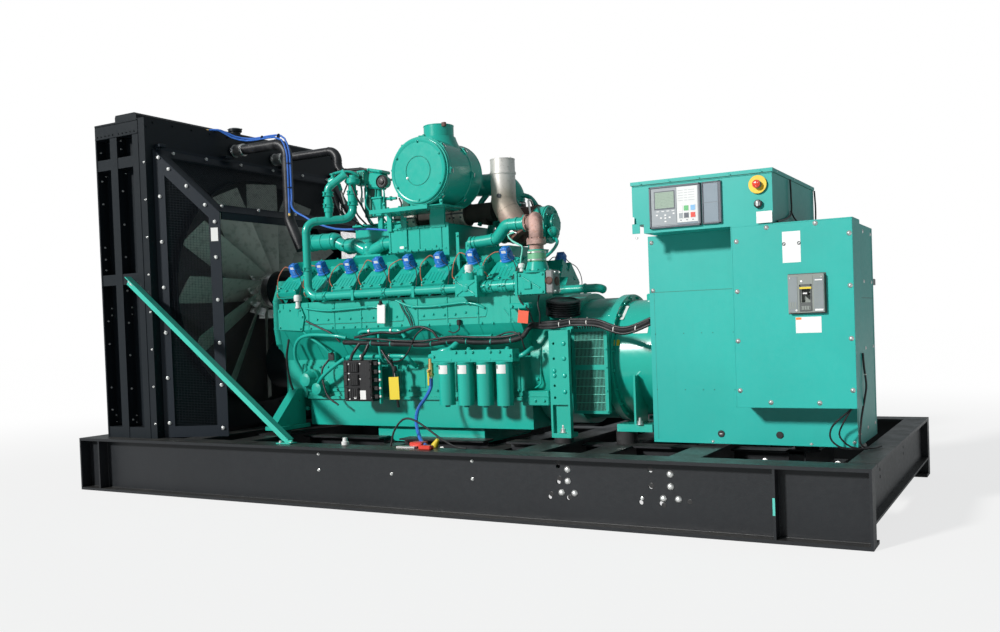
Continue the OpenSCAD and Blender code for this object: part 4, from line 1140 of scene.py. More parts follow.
@dataclass
class FanGuard:
    """The welded wire mesh of the fan guard, its bolts, brackets and blank labels."""

    wire: float = 0.001
    pitch: float = 0.0127
    long_pitch: float = 0.0254
    base_y: float = 1.11
    end_y: float = 0.9
    base_z: float = 2.71
    end_z: float = 2.185
    floor_z: float = 0.42
    clear: float = 0.0085

    def __post_init__(self) -> None:
        """Reads where the guard starts and ends."""
        low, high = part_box("fan_guard")
        self.x0, self.x1 = low.x, high.x

    def wires(self, mould: Mould, origin: Vector, u: Vector, v: Vector,
              outline: Sequence[tuple[float, float]]) -> None:
        """Fills an outline with crossed wires.

        Args:
            mould: where the wires go.
            origin: the outline's origin.
            u: its first axis.
            v: its second axis.
            outline: its corners in u and v, against the clock.
        """
        for flat, pitch in ((0, self.long_pitch), (1, self.pitch)):
            low = min(p[flat] for p in outline)
            high = max(p[flat] for p in outline)
            for i in range(1, int((high - low) / pitch)):
                level = low + i * pitch
                cuts = []
                for a, b in zip(outline, list(outline[1:]) + [outline[0]]):
                    if (a[flat] - level) * (b[flat] - level) < 0:
                        t = (level - a[flat]) / (b[flat] - a[flat])
                        cuts.append(a[1 - flat] + t * (b[1 - flat] - a[1 - flat]))
                if len(cuts) == 2 and abs(cuts[0] - cuts[1]) > pitch:
                    ends = [(level, c) if flat == 0 else (c, level) for c in sorted(cuts)]
                    a, b = (origin + u * p + v * q for p, q in ends)
                    mould.rod(a, b, self.wire, Coat.GUARD, 4)

    def mesh(self) -> None:
        """The wire mesh of both sides and of the sloped top, which stands for the CAD's thin sheet."""
        mould = Mould()
        run = self.x1 - self.x0
        inset = 0.07
        for side in SIDES:
            u = Vector((run, side * (self.end_y - self.base_y), 0)).normalized()
            length = math.hypot(run, self.base_y - self.end_y)
            drop = (self.base_z - self.end_z) / length
            outline = ((inset, self.floor_z + inset), (length - inset, self.floor_z + inset),
                       (length - inset, self.end_z - inset + inset * drop),
                       (inset, self.base_z - inset - inset * drop))
            origin = Vector((self.x0, side * (self.base_y - 0.002), 0))
            self.wires(mould, origin, u, UP, outline)
        v = Vector((run, 0, self.end_z - self.base_z))
        slope = v.length
        v.normalize()
        outline = ((-self.base_y + inset, 0.014 + inset), (self.base_y - inset, 0.014 + inset),
                   (self.end_y - inset, slope - inset), (-self.end_y + inset, slope - inset))
        lift = Vector((-v.z, 0, v.x)) * self.clear
        self.wires(mould, Vector((self.x0, 0, self.base_z)) + lift, Vector((0, 1, 0)), v, outline)
        mould.piece("fan_guard_wires", replaces=["fan_guard_mesh"])

    @staticmethod
    def outwards(along: Vector, side: int) -> Vector:
        """The level normal of a side panel, away from the fan."""
        out = Vector((along.y, -along.x, 0))
        return out if out.y * side > 0 else -out

    def bolts(self) -> None:
        """Bolts along the guard's bars, brackets at its top, and two blank labels."""
        mould = Mould()
        run = self.x1 - self.x0
        length = math.hypot(run, self.base_y - self.end_y)
        for side in SIDES:
            u = Vector((run, side * (self.end_y - self.base_y), 0)).normalized()
            out = self.outwards(u, side)
            origin = Vector((self.x0, side * self.base_y, 0)) + out * 0.0125
            spots = [(0.045, z) for z in (0.534, 0.891, 1.248, 1.606, 1.966, 2.323)]
            spots += [(length - 0.045, z) for z in (0.484, 0.823, 1.155, 1.493, 1.827, 2.105)]
            spots += [(0.045, 2.63), (0.125, 2.535), (0.265, 2.395), (0.41, 2.24)]
            for along, z in spots:
                mould.bolt(origin + u * along + UP * z, out, 0.018)
        v = Vector((run, 0, self.end_z - self.base_z)).normalized()
        lean = Vector((-v.z, 0, v.x))
        for y in (-0.95, -0.6, -0.2, 0.2, 0.6, 0.95):
            mould.bolt(Vector((self.x0, y, self.base_z)) + v * 0.055 + lean * 0.0125, lean, 0.018)
        for y in (-0.86, -0.45, 0.0, 0.45, 0.86):
            mould.bolt(Vector((self.x1, y, self.end_z)) - v * 0.05 + lean * 0.0125, lean, 0.018)
        for y in (-1.06, -0.35, 0.35, 1.06):
            mould.slab((self.x0 + 0.005, y - 0.035, self.base_z + 0.005),
                       (self.x0 + 0.06, y + 0.035, self.base_z + 0.03), Coat.GUARD, 0.003)
        mould.piece("guard_bolts")
        label = Mould()
        for side in SIDES:
            u = Vector((run, side * (self.end_y - self.base_y), 0)).normalized()
            out = self.outwards(u, side)
            spin = Matrix((u, UP, u.cross(UP))).transposed().to_4x4()
            middle = Vector((self.x0, side * self.base_y,
                             0)) + u * (length - 0.05) + UP * 2.006 + out * 0.0135
            label.block(Matrix.Translation(middle) @ spin, (0.058, 0.105, 0.0012), Coat.LABEL, 0.0003)
        label.piece("guard_labels")

    def build(self) -> None:
        """Makes every piece of the guard."""
        self.mesh()
        self.bolts()


@dataclass
class Fan:
    """Blade clamps, spokes, hub plates and hub bolts of the fan, and the drive's bolts and belts."""

    blades: int = 12
    axis_z: float = 1.59
    crank_z: float = 0.95
    hub_r: float = 0.15
    pitch: float = math.radians(42.0)
    clamp: Point = (0.13, 0.075, 0.008)

    def build(self) -> None:
        """Makes the fan's clamps, which turn with it, and the drive's dress."""
        low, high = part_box("fan")
        x = (low.x + high.x) / 2
        mould = Mould()
        centre = Vector((x, 0, self.axis_z))
        for i in range(self.blades):
            turn = i * math.tau / self.blades
            way = Vector((0, -math.sin(turn), math.cos(turn)))
            flat = Vector((0, math.cos(turn), math.sin(turn)))
            face = (AFT * math.sin(self.pitch) + flat * math.cos(self.pitch)).normalized()
            chord = face.cross(way)
            spin = Matrix((chord, way, face)).transposed().to_4x4()
            root = centre + way * (self.hub_r + 0.055)
            mould.block(Matrix.Translation(root + face * 0.016) @ spin, self.clamp, Coat.STEEL, 0.002)
            for a in (-0.042, 0.0, 0.042):
                mould.bolt(root + chord * a + way * 0.012 + face * 0.02, face, 0.016)
            mould.rod(centre + way * 0.11, centre + way * (self.hub_r + 0.03), 0.02, Coat.STEEL, 12)
        for way, inner in ((AFT, 0.09), (FORE, 0.05)):
            mould.turned(centre + way * 0.054, way,
                         [(0.13, 0.0), (0.13, 0.006), (0.1, 0.01), (inner, 0.012)], Coat.STEEL, 32)
        mould.bolts(around(centre + FORE * 0.062, 0.085, 8, 0), FORE, 0.02)
        mould.piece("fan_clamps", "fan")
        drive = Mould()
        low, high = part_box("fan_drive")
        for side in SIDES:
            y = side * 0.14
            for z in (1.2, 1.35, 1.5, 1.64):
                drive.bolt((low.x + 0.24, y, z), (0, side, 0), 0.018)
                drive.bolt((high.x - 0.03, y, z), (0, side, 0), 0.018)
            drive.slab((low.x + 0.26, y, 1.24), (high.x - 0.06, y + side * 0.004, 1.6), Coat.GUARD, 0.001)
            for i in range(7):
                z = 1.29 + i * 0.045
                drive.slab((low.x + 0.29, y, z), (high.x - 0.09, y + side * 0.007, z + 0.012), Coat.HANDLE,
                           0.001)
        for z, r in ((self.axis_z, 0.135), (self.crank_z, 0.185)):
            drive.bolts(around((low.x + 0.109, 0.0, z), r, 8, 0), FORE, 0.018)
        drive.piece("fan_drive_bolts")
@dataclass
class Cubicle:
    """Screws, seams, labels, grommets and cables of the breaker cubicle."""

    seam_z: float = 1.385

    def __post_init__(self) -> None:
        """Reads the boxes of the cubicle and its cover."""
        self.low, self.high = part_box("terminal_box")
        self.cover_low, self.cover_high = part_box("terminal_cover")

    def screw_head(self, mould: Mould, at: Point, out: Point, r: float = 0.0095) -> None:
        """Adds a pan-head screw with its cross slot.

        Args:
            mould: where it goes.
            at: the point on the sheet.
            out: the way that it faces.
            r: its radius.
        """
        dome = [(r * 1.5, 0.0), (r * 1.5, 0.0012), (r, 0.0016), (r * 0.92, 0.004), (r * 0.5, 0.006),
                (r * 0.1, 0.0064)]
        mould.turned(at, out, dome, Coat.ZINC, 14, True)
        place = Mould.frame_at(Vector(at) + Vector(out) * 0.0062, out)
        mould.block(place, (r * 1.1, r * 0.2, 0.0012), Coat.INK)
        mould.block(place, (r * 0.2, r * 1.1, 0.0012), Coat.INK)

    def screws(self) -> None:
        """The cover's twelve screws and those of the cubicle's other sheets."""
        mould = Mould()
        y = self.cover_low.y
        for x, z in ((2.278, 1.65), (2.453, 1.718), (2.724, 1.721), (2.903, 1.652), (2.901, 1.366),
                     (2.9, 1.074),
                     (2.9, 0.788), (2.721, 0.717), (2.45, 0.718), (2.274, 0.786), (2.271, 1.074),
                     (2.275, 1.361)):
            self.screw_head(mould, (x, y, z), NEAR)
        for z in (1.398, 1.7):
            self.screw_head(mould, (1.672, self.low.y, z), NEAR)
        for x, z in ((2.03, 0.452), (2.62, 0.452), (2.86, 0.47)):
            self.screw_head(mould, (x, self.low.y, z), NEAR, 0.007)
        for x in (1.679, 1.864, 1.979, 2.049, 2.177):
            for z in (1.124, 0.773):
                mould.turned((x, self.low.y, z), NEAR, [(0.0035, 0.0), (0.003, 0.0012), (0.001, 0.0014)],
                             Coat.DARK_GREEN, 10, True)
        for y in (-0.6, -0.32, -0.04):
            for z in (0.52, 1.0, 1.4, 1.7):
                self.screw_head(mould, (self.high.x, y, z), AFT, 0.008)
        for x in (1.7, 2.1, 2.5, 2.84):
            for z in (0.98, 1.35, 1.7):
                self.screw_head(mould, (x, self.high.y, z), FAR, 0.008)
        mould.piece("cubicle_screws")

    def seams(self) -> None:
        """Dark gaps where the sheets meet, folded rims and drip lips."""
        mould = Mould()
        x0, x1 = self.low.x, self.cover_low.x
        y = self.low.y
        mould.slab((x0 + 0.002, y - 0.0006, self.seam_z), (x1, y, self.seam_z + 0.0028), Coat.DARK_GREEN,
                   0.0001)
        mould.slab((x0 + 0.03, y - 0.0004, 0.46), (x0 + 0.0315, y, self.seam_z), Coat.DARK_GREEN, 0.0001)
        mould.slab((x0 + 0.001, y - 0.004, 0.4412), (self.high.x - 0.001, y + 0.001, 0.45), Coat.PANEL,
                   0.001)
        low, high = self.cover_low, self.cover_high
        for x in (low.x + 0.001, high.x - 0.007):
            mould.slab((x, low.y - 0.0012, low.z + 0.003), (x + 0.006, low.y, high.z - 0.003), Coat.PANEL,
                       0.0005)
        for z in (low.z + 0.001, high.z - 0.007):
            mould.slab((low.x + 0.003, low.y - 0.0012, z), (high.x - 0.003, low.y, z + 0.006), Coat.PANEL,
                       0.0005)
        mould.slab((low.x, low.y + 0.02, high.z), (high.x, high.y, high.z + 0.0015), Coat.PANEL, 0.0005)
        mould.slab((self.high.x, self.low.y + 0.02, 1.3), (self.high.x + 0.0012, self.high.y - 0.02, 1.303),
                   Coat.DARK_GREEN, 0.0001)
        for y in (-0.64, -0.01):
            mould.slab((self.high.x, y, 0.46), (self.high.x + 0.0015, y + 0.006, 1.73), Coat.PANEL, 0.0005)
        mould.piece("cubicle_seams")

    def labels(self) -> None:
        """Blank labels and the white plate with two dark holes on the cover."""
        mould = Mould()
        y = self.cover_low.y
        mould.slab((2.54, y - 0.001, 1.51), (2.641, y, 1.686), Coat.LABEL, 0.0003)
        for x in (2.549, 2.632):
            mould.turned((x, y - 0.0008, 1.617), NEAR,
                         [(0.0105, 0.0), (0.0105, 0.001), (0.008, 0.0016), (0.003, 0.0016)], Coat.INK, 16)
            mould.block(Mould.frame_at((x, y - 0.0026, 1.617), NEAR, 0.5), (0.012, 0.003, 0.001), Coat.ZINC)
        mould.slab((2.602, y - 0.001, 1.111), (2.743, y, 1.201), Coat.LABEL, 0.0003)
        mould.slab((2.604, y - 0.0014, 1.186), (2.634, y - 0.0008, 1.199), Coat.CAP_ORANGE, 0.0002)
        mould.piece("cubicle_labels")

    def grommets(self) -> None:
        """Dark rubber rings in the two round holes, with a stud behind each."""
        mould = Mould()
        for x in (2.083, 2.438):
            at = Vector((x, self.low.y - 0.0015, 0.503))
            mould.turned(at, NEAR, [(0.0215, 0.0), (0.0215, 0.002), (0.0185, 0.004), (0.014, 0.004)],
                         Coat.HANDLE, 24)
        mould.block(Matrix.Translation((2.083, self.low.y - 0.007, 0.503)), (0.018, 0.005, 0.006),
                    Coat.ZINC, 0.001)
        mould.piece("cubicle_grommets")

    def cables(self) -> None:
        """Black cables that hang under the cover's corner and go down beside the cubicle."""
        mould = Mould()
        for path, r in (
                (((2.906, -0.85, 0.7), (2.85, -0.84, 0.655), (2.765, -0.8, 0.575), (2.752, -0.79, 0.505),
                  (2.8, -0.77, 0.455), (2.875, -0.72, 0.442), (2.93, -0.66, 0.436)), 0.0055),
                (((2.888, -0.84, 0.695), (2.842, -0.83, 0.62), (2.802, -0.8, 0.53), (2.842, -0.76, 0.465),
                  (2.9, -0.7, 0.438)), 0.005),
                (((2.925, -0.71, 0.985), (2.929, -0.7, 0.9), (2.936, -0.69, 0.8), (2.926, -0.7, 0.72),
                  (2.905, -0.7, 0.6), (2.896, -0.69, 0.47), (2.94, -0.62, 0.434), (2.98, -0.5, 0.432)),
                 0.006)):
            mould.tube(path, r, Coat.WIRE, 8, 0.02)
        for at in ((2.896, -0.692, 0.52), (2.932, -0.695, 0.86)):
            mould.turned(at, UP, [(0.0085, 0.0), (0.0085, 0.006)], Coat.TIE, 10)
        mould.piece("cubicle_cables")
        mould = Mould()
        mould.slab((2.8, self.high.y - 0.001, 1.385), (2.878, self.high.y + 0.11, 1.425), Coat.CASTING_GREY,
                   0.003)
        mould.bolt((2.84, self.high.y + 0.085, 1.425), UP, 0.016)
        mould.piece("cubicle_bracket")

    def build(self) -> None:
        """Makes every piece of the cubicle."""
        self.screws()
        self.seams()
        self.labels()
        self.grommets()
        self.cables()


@dataclass
class ControlPanel:
    """The display's keys and panels, the stop button's disc, the key's collar and the box's cables."""

    frame_w: float = 0.011
    side_w: float = 0.008

    def __post_init__(self) -> None:
        """Reads the boxes of the control box and the display."""
        self.low, self.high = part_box("control_box")
        self.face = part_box("display_panel")
        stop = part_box("emergency_stop")
        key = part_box("key_switch")
        self.stop = (stop[0] + stop[1]) / 2
        self.key = (key[0] + key[1]) / 2
        self.sheet_y = self.low.y + 0.022

    def tile(self, mould: Mould, area: tuple[float, float, float, float],
             spot: tuple[float, float, float, float], y: float, coat: Coat, lift: float = 0.0016) -> None:
        """Adds one raised tile, placed by shares of an area.

        Args:
            mould: where it goes.
            area: the area's x0, x1, z0 and z1.
            spot: the tile's left, right, top and bottom shares.
            y: the surface that it lies on.
            coat: its finish.
            lift: how far it stands out.
        """
        x0, x1, z0, z1 = area
        mould.slab((x0 + (x1 - x0) * spot[0], y - lift, z1 - (z1 - z0) * spot[2]),
                   (x0 + (x1 - x0) * spot[1], y, z1 - (z1 - z0) * spot[3]), coat, lift * 0.3)

    def display(self) -> None:
        """The main bezel with its display, soft keys and mode keys."""
        mould = Mould()
        y = self.face[0].y
        area = (1.76, 2.078, 1.762, 2.012)
        x0, x1, z0, z1 = area
        rim = self.frame_w
        mould.plates((((x0, z0), (x1, z0 + rim)), ((x0, z1 - rim), (x1, z1)), ((x0, z0), (x0 + rim, z1)),
                      ((x1 - rim, z0), (x1, z1))), y - 0.005, y + 0.006, Coat.BEZEL_DARK, 0.002)
        self.tile(mould, area, (0.055, 0.535, 0.07, 0.93), y, Coat.BEZEL, 0.002)
        self.tile(mould, area, (0.545, 0.945, 0.06, 0.9), y, Coat.BEZEL_PALE, 0.002)
        self.tile(mould, area, (0.545, 0.945, 0.905, 0.945), y, Coat.BEZEL_BLUE, 0.002)
        y -= 0.002
        self.tile(mould, area, (0.1, 0.51, 0.12, 0.56), y, Coat.BEZEL_DARK, 0.0012)
        self.tile(mould, area, (0.12, 0.49, 0.145, 0.53), y - 0.0012, Coat.LCD, 0.0008)
        for u in (0.14, 0.24, 0.34, 0.44):
            self.tile(mould, area, (u, u + 0.055, 0.59, 0.615), y, Coat.BEZEL_PALE, 0.0012)
        for u, v in ((0.13, 0.67), (0.46, 0.65), (0.295, 0.68), (0.21, 0.74), (0.295, 0.75), (0.38, 0.74),
                     (0.295, 0.83)):
            self.tile(mould, area, (u, u + 0.038, v, v + 0.036), y, Coat.LABEL, 0.0014)
        for v in (0.14, 0.2, 0.26, 0.32, 0.38):
            for u, w in ((0.57, 0.1), (0.69, 0.06), (0.77, 0.12)):
                self.tile(mould, area, (u, u + w, v, v + 0.008), y, Coat.BEZEL, 0.0004)
        for u, w, rows in ((0.575, 0.085, (Coat.CAP_WHITE, Coat.BEZEL)),
                           (0.672, 0.105, (Coat.KEY_GREEN, Coat.BEZEL_DARK)),
                           (0.8, 0.105, (Coat.KEY_BLUE, Coat.CAP_RED))):
            for v, coat in zip((0.5, 0.67), rows):
                self.tile(mould, area, (u, u + w, v, v + 0.14), y, Coat.BEZEL_PALE, 0.001)
                self.tile(mould, area, (u + 0.008, u + w - 0.008, v + 0.01, v + 0.13), y - 0.001, coat,
                          0.0012)
        for u, v in ((0.6, 0.84), (0.72, 0.84), (0.835, 0.84)):
            self.tile(mould, area, (u, u + 0.03, v, v + 0.02), y, Coat.BEZEL_DARK, 0.0006)
        mould.piece("display_keys")
        side = Mould()
        y = self.face[0].y + 0.004
        area = (2.086, 2.2, 1.764, 2.012)
        x0, x1, z0, z1 = area
        rim = self.side_w
        side.plates((((x0, z0), (x1, z0 + rim)), ((x0, z1 - rim), (x1, z1)), ((x0, z0), (x0 + rim, z1)),
                     ((x1 - 2 * rim, z0), (x1, z1))), y - 0.005, y + 0.006, Coat.BEZEL_DARK, 0.002)
        self.tile(side, area, (0.09, 0.84, 0.045, 0.49), y, Coat.BEZEL_BLUE, 0.002)
        self.tile(side, area, (0.09, 0.84, 0.5, 0.955), y, Coat.BEZEL_BLUE, 0.002)
        side.piece("side_panel_tiles")

    def switches(self) -> None:
        """The yellow disc with its plain ring, the mushroom's rim, and the key switch's collar and key."""
        mould = Mould()
        at = Vector((self.stop.x, self.low.y + 0.008, self.stop.z))
        mould.turned(at, NEAR, [(0.052, 0.0), (0.052, 0.001), (0.05, 0.0018), (0.02, 0.0018)],
                     Coat.STOP_DISC, 40)
        top = Vector((self.stop.x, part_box("emergency_stop")[0].y, self.stop.z))
        mould.turned(top + FAR * 0.012, NEAR,
                     [(0.0222, 0.0), (0.0238, 0.004), (0.0228, 0.009), (0.018, 0.0128), (0.01, 0.0148),
                     (0.002, 0.0152)], Coat.STOP, 32, True)
        for k in range(3):
            turn = k * math.tau / 3 + 0.5
            way = Vector((math.cos(turn), 0, math.sin(turn)))
            mould.block(Mould.frame_at(top + way * 0.011 + NEAR * 0.0022, NEAR, turn),
                        (0.009, 0.0022, 0.001), Coat.CAP_WHITE)
        mould.piece("stop_disc")
        mould = Mould()
        at = Vector((self.key.x, self.low.y + 0.008, self.key.z))
        mould.turned(at, NEAR, [(0.024, 0.0), (0.024, 0.004), (0.021, 0.007), (0.0145, 0.008)], Coat.HANDLE,
                     28)
        mould.turned(at + NEAR * 0.007, NEAR,
                     [(0.0145, 0.0), (0.0145, 0.004), (0.0125, 0.006), (0.0105, 0.006)], Coat.CHROME, 28)
        mould.piece("key_collar")

    def box_dress(self) -> None:
        """The box's lid lips, screws, blank labels, hook bracket and end cables."""
        mould = Mould()
        x0, x1 = self.low.x + 0.006, self.high.x - 0.006
        y0 = self.low.y + 0.008
        mould.slab((x0, y0 - 0.0006, self.high.z - 0.0245), (x1, y0, self.high.z - 0.022), Coat.DARK_GREEN,
                   0.0001)
        mould.slab((x1, y0 + 0.01, self.high.z - 0.0245),
                   (x1 + 0.0006, self.high.y - 0.01, self.high.z - 0.022), Coat.DARK_GREEN, 0.0001)
        for i in range(5):
            x = x0 + 0.06 + i * (x1 - x0 - 0.12) / 4
            mould.turned((x, self.low.y, self.high.z - 0.011), NEAR,
                         [(0.004, 0.0), (0.004, 0.002), (0.001, 0.003)], Coat.PANEL, 10)
        for y in (-0.8, -0.36, 0.1):
            mould.turned((self.high.x, y, self.high.z - 0.011), AFT,
                         [(0.005, 0.0), (0.005, 0.002), (0.001, 0.003)], Coat.ZINC, 10)
        mould.slab((x0, y0 + 0.001, 1.741), (x0 + 0.05, y0 + 0.004, 1.8), Coat.PANEL, 0.001)
        mould.turned((x0 + 0.03, y0, 1.715), NEAR, [(0.008, 0.0), (0.008, 0.004), (0.004, 0.006)],
                     Coat.ZINC, 12)
        mould.piece("control_box_seams")
        label = Mould()
        label.slab((2.402, y0 - 0.001, 1.7445), (x1 - 0.001, y0, 1.811), Coat.LABEL, 0.0003)
        label.slab((x0 + 0.001, y0 - 0.001, 1.8), (x0 + 0.016, y0, 1.842), Coat.LABEL, 0.0003)
        label.piece("control_labels")
        wires = Mould()
        x = self.high.x + 0.004
        for path in (((x, -0.5, 2.03), (x + 0.003, -0.5, 1.93), (x + 0.002, -0.5, 1.83), (x, -0.6, 1.79),
                      (x, -0.84, 1.752)),
                     ((x, -0.5, 1.84), (x + 0.004, -0.42, 1.8), (x + 0.012, -0.25, 1.765),
                      (x + 0.012, -0.05, 1.775), (x, 0.12, 1.79)),
                     ((x, 0.19, 2.03), (x + 0.004, 0.195, 1.92), (x + 0.003, 0.19, 1.82),
                      (x + 0.002, 0.18, 1.752))):
            wires.tube(path, 0.0055, Coat.WIRE, 8, 0.02)
        for y in (-0.2, -0.02):
            wires.turned((x + 0.012, y, 1.768), (0, 1, 0.05),
                         [(0.01, 0.0), (0.012, 0.004), (0.012, 0.04), (0.008, 0.05)], Coat.HANDLE, 12)
            wires.bolt((x + 0.001, y + 0.08, 1.775), AFT, 0.01)
        wires.piece("control_box_cables")

    def build(self) -> None:
        """Makes every piece of the control panel."""
        self.display()
        self.switches()
        self.box_dress()


@dataclass
class Breaker:
    """The moulded-case breaker's strips, windows, screws and surround."""

    def __post_init__(self) -> None:
        """Reads the breaker's box."""
        self.low, self.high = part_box("circuit_breaker")

    def build(self) -> None:
        """Makes the breaker's front."""
        mould = Mould()
        x0, x1, y, z0, z1 = self.low.x, self.high.x, self.low.y, self.low.z, self.high.z
        rim = 0.006
        mould.plates((((x0 - rim, z0 - rim), (x1 + rim, z0)), ((x0 - rim, z1), (x1 + rim, z1 + rim)),
                      ((x0 - rim, z0), (x0, z1)), ((x1, z0), (x1 + rim, z1))),
                     self.high.y - 0.004, self.high.y, Coat.BREAKER_DARK, 0.001)
        mould.slab((x0 + 0.003, y - 0.002, z0 + 0.004), (x0 + 0.052, y, z1 - 0.012), Coat.BREAKER_LIGHT,
                   0.0008)
        mould.slab((x1 - 0.054, y - 0.002, z0 + 0.004), (x1 - 0.003, y, z1 - 0.024), Coat.BREAKER_LIGHT,
                   0.0008)
        mould.slab((x0 + 0.058, y - 0.0016, z1 - 0.082), (x1 - 0.06, y, z1 - 0.006), Coat.BREAKER, 0.0006)
        mid0, mid1 = x0 + 0.062, x1 - 0.066
        mould.plates((((mid0, 1.283), (mid0 + 0.008, 1.381)), ((mid1 - 0.008, 1.283), (mid1, 1.381)),
                      ((mid0, 1.232), (mid1, 1.281)), ((mid0, 1.372), (mid1, 1.383))),
                     y - 0.004, y, Coat.BREAKER_DARK, 0.001)
        mould.slab((mid0 + 0.002, y - 0.005, 1.357), (mid1 - 0.002, y - 0.0035, 1.368), Coat.TAG_YELLOW,
                   0.0005)
        mould.slab((mid0 + 0.008, y - 0.006, 1.24), (mid1 - 0.008, y - 0.004, 1.262), Coat.BREAKER, 0.001)
        for x, z, r in ((mid0 + 0.014, 1.398, 0.006), (x0 + 0.045, 1.238, 0.006), (x0 + 0.012, 1.42, 0.004),
                        (x1 - 0.012, 1.42, 0.004)):
            mould.turned((x, y - 0.0014, z), NEAR, [(r, 0.0), (r, 0.0016), (r * 0.6, 0.0024)], Coat.ZINC,
                         16)
            mould.block(Mould.frame_at((x, y - 0.0042, z), NEAR, 0.7), (r * 1.2, r * 0.25, 0.0008),
                        Coat.INK)
        for i in range(11):
            z = z1 - 0.042 - i * 0.0138
            long = 0.036 if i % 3 else 0.024
            mould.slab((x1 - 0.048, y - 0.0026, z), (x1 - 0.048 + long, y - 0.0018, z + 0.0022),
                       Coat.BREAKER, 0.0002)
            mould.slab((x1 - 0.048, y - 0.0026, z - 0.005), (x1 - 0.03, y - 0.0018, z - 0.0036),
                       Coat.BREAKER, 0.0002)
        mould.slab((x1 - 0.05, y - 0.003, z0 + 0.008), (x1 - 0.005, y - 0.0018, z0 + 0.019), Coat.LABEL,
                   0.0003)
        mould.slab((x1 - 0.048, y - 0.003, z1 - 0.038), (x1 - 0.008, y - 0.0018, z1 - 0.031), Coat.LABEL,
                   0.0003)
        for i in range(3):
            mould.slab((x0 + 0.01 + i * 0.013, y - 0.003, z0 + 0.022),
                       (x0 + 0.018 + i * 0.013, y - 0.0018, z0 + 0.06), Coat.BREAKER, 0.0003)
        for i in range(4):
            mould.slab((mid0 + 0.01 + i * 0.014, y - 0.0068, 1.242),
                       (mid0 + 0.014 + i * 0.014, y - 0.0058, 1.26), Coat.BREAKER_DARK, 0.0003)
        mould.piece("breaker_front")
        grip = Mould()
        low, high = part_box("breaker_handle")
        for i in range(3):
            x = low.x + 0.004 + i * 0.0085
            grip.slab((x, low.y - 0.001, low.z - 0.001), (x + 0.004, low.y + 0.022, high.z + 0.001),
                      Coat.HANDLE, 0.0004)
        grip.slab((low.x + 0.003, low.y - 0.0016, low.z + 0.005),
                  (high.x - 0.003, low.y - 0.0008, high.z - 0.005), Coat.CAP_WHITE, 0.0003)
        grip.piece("breaker_grip", "breaker_handle")


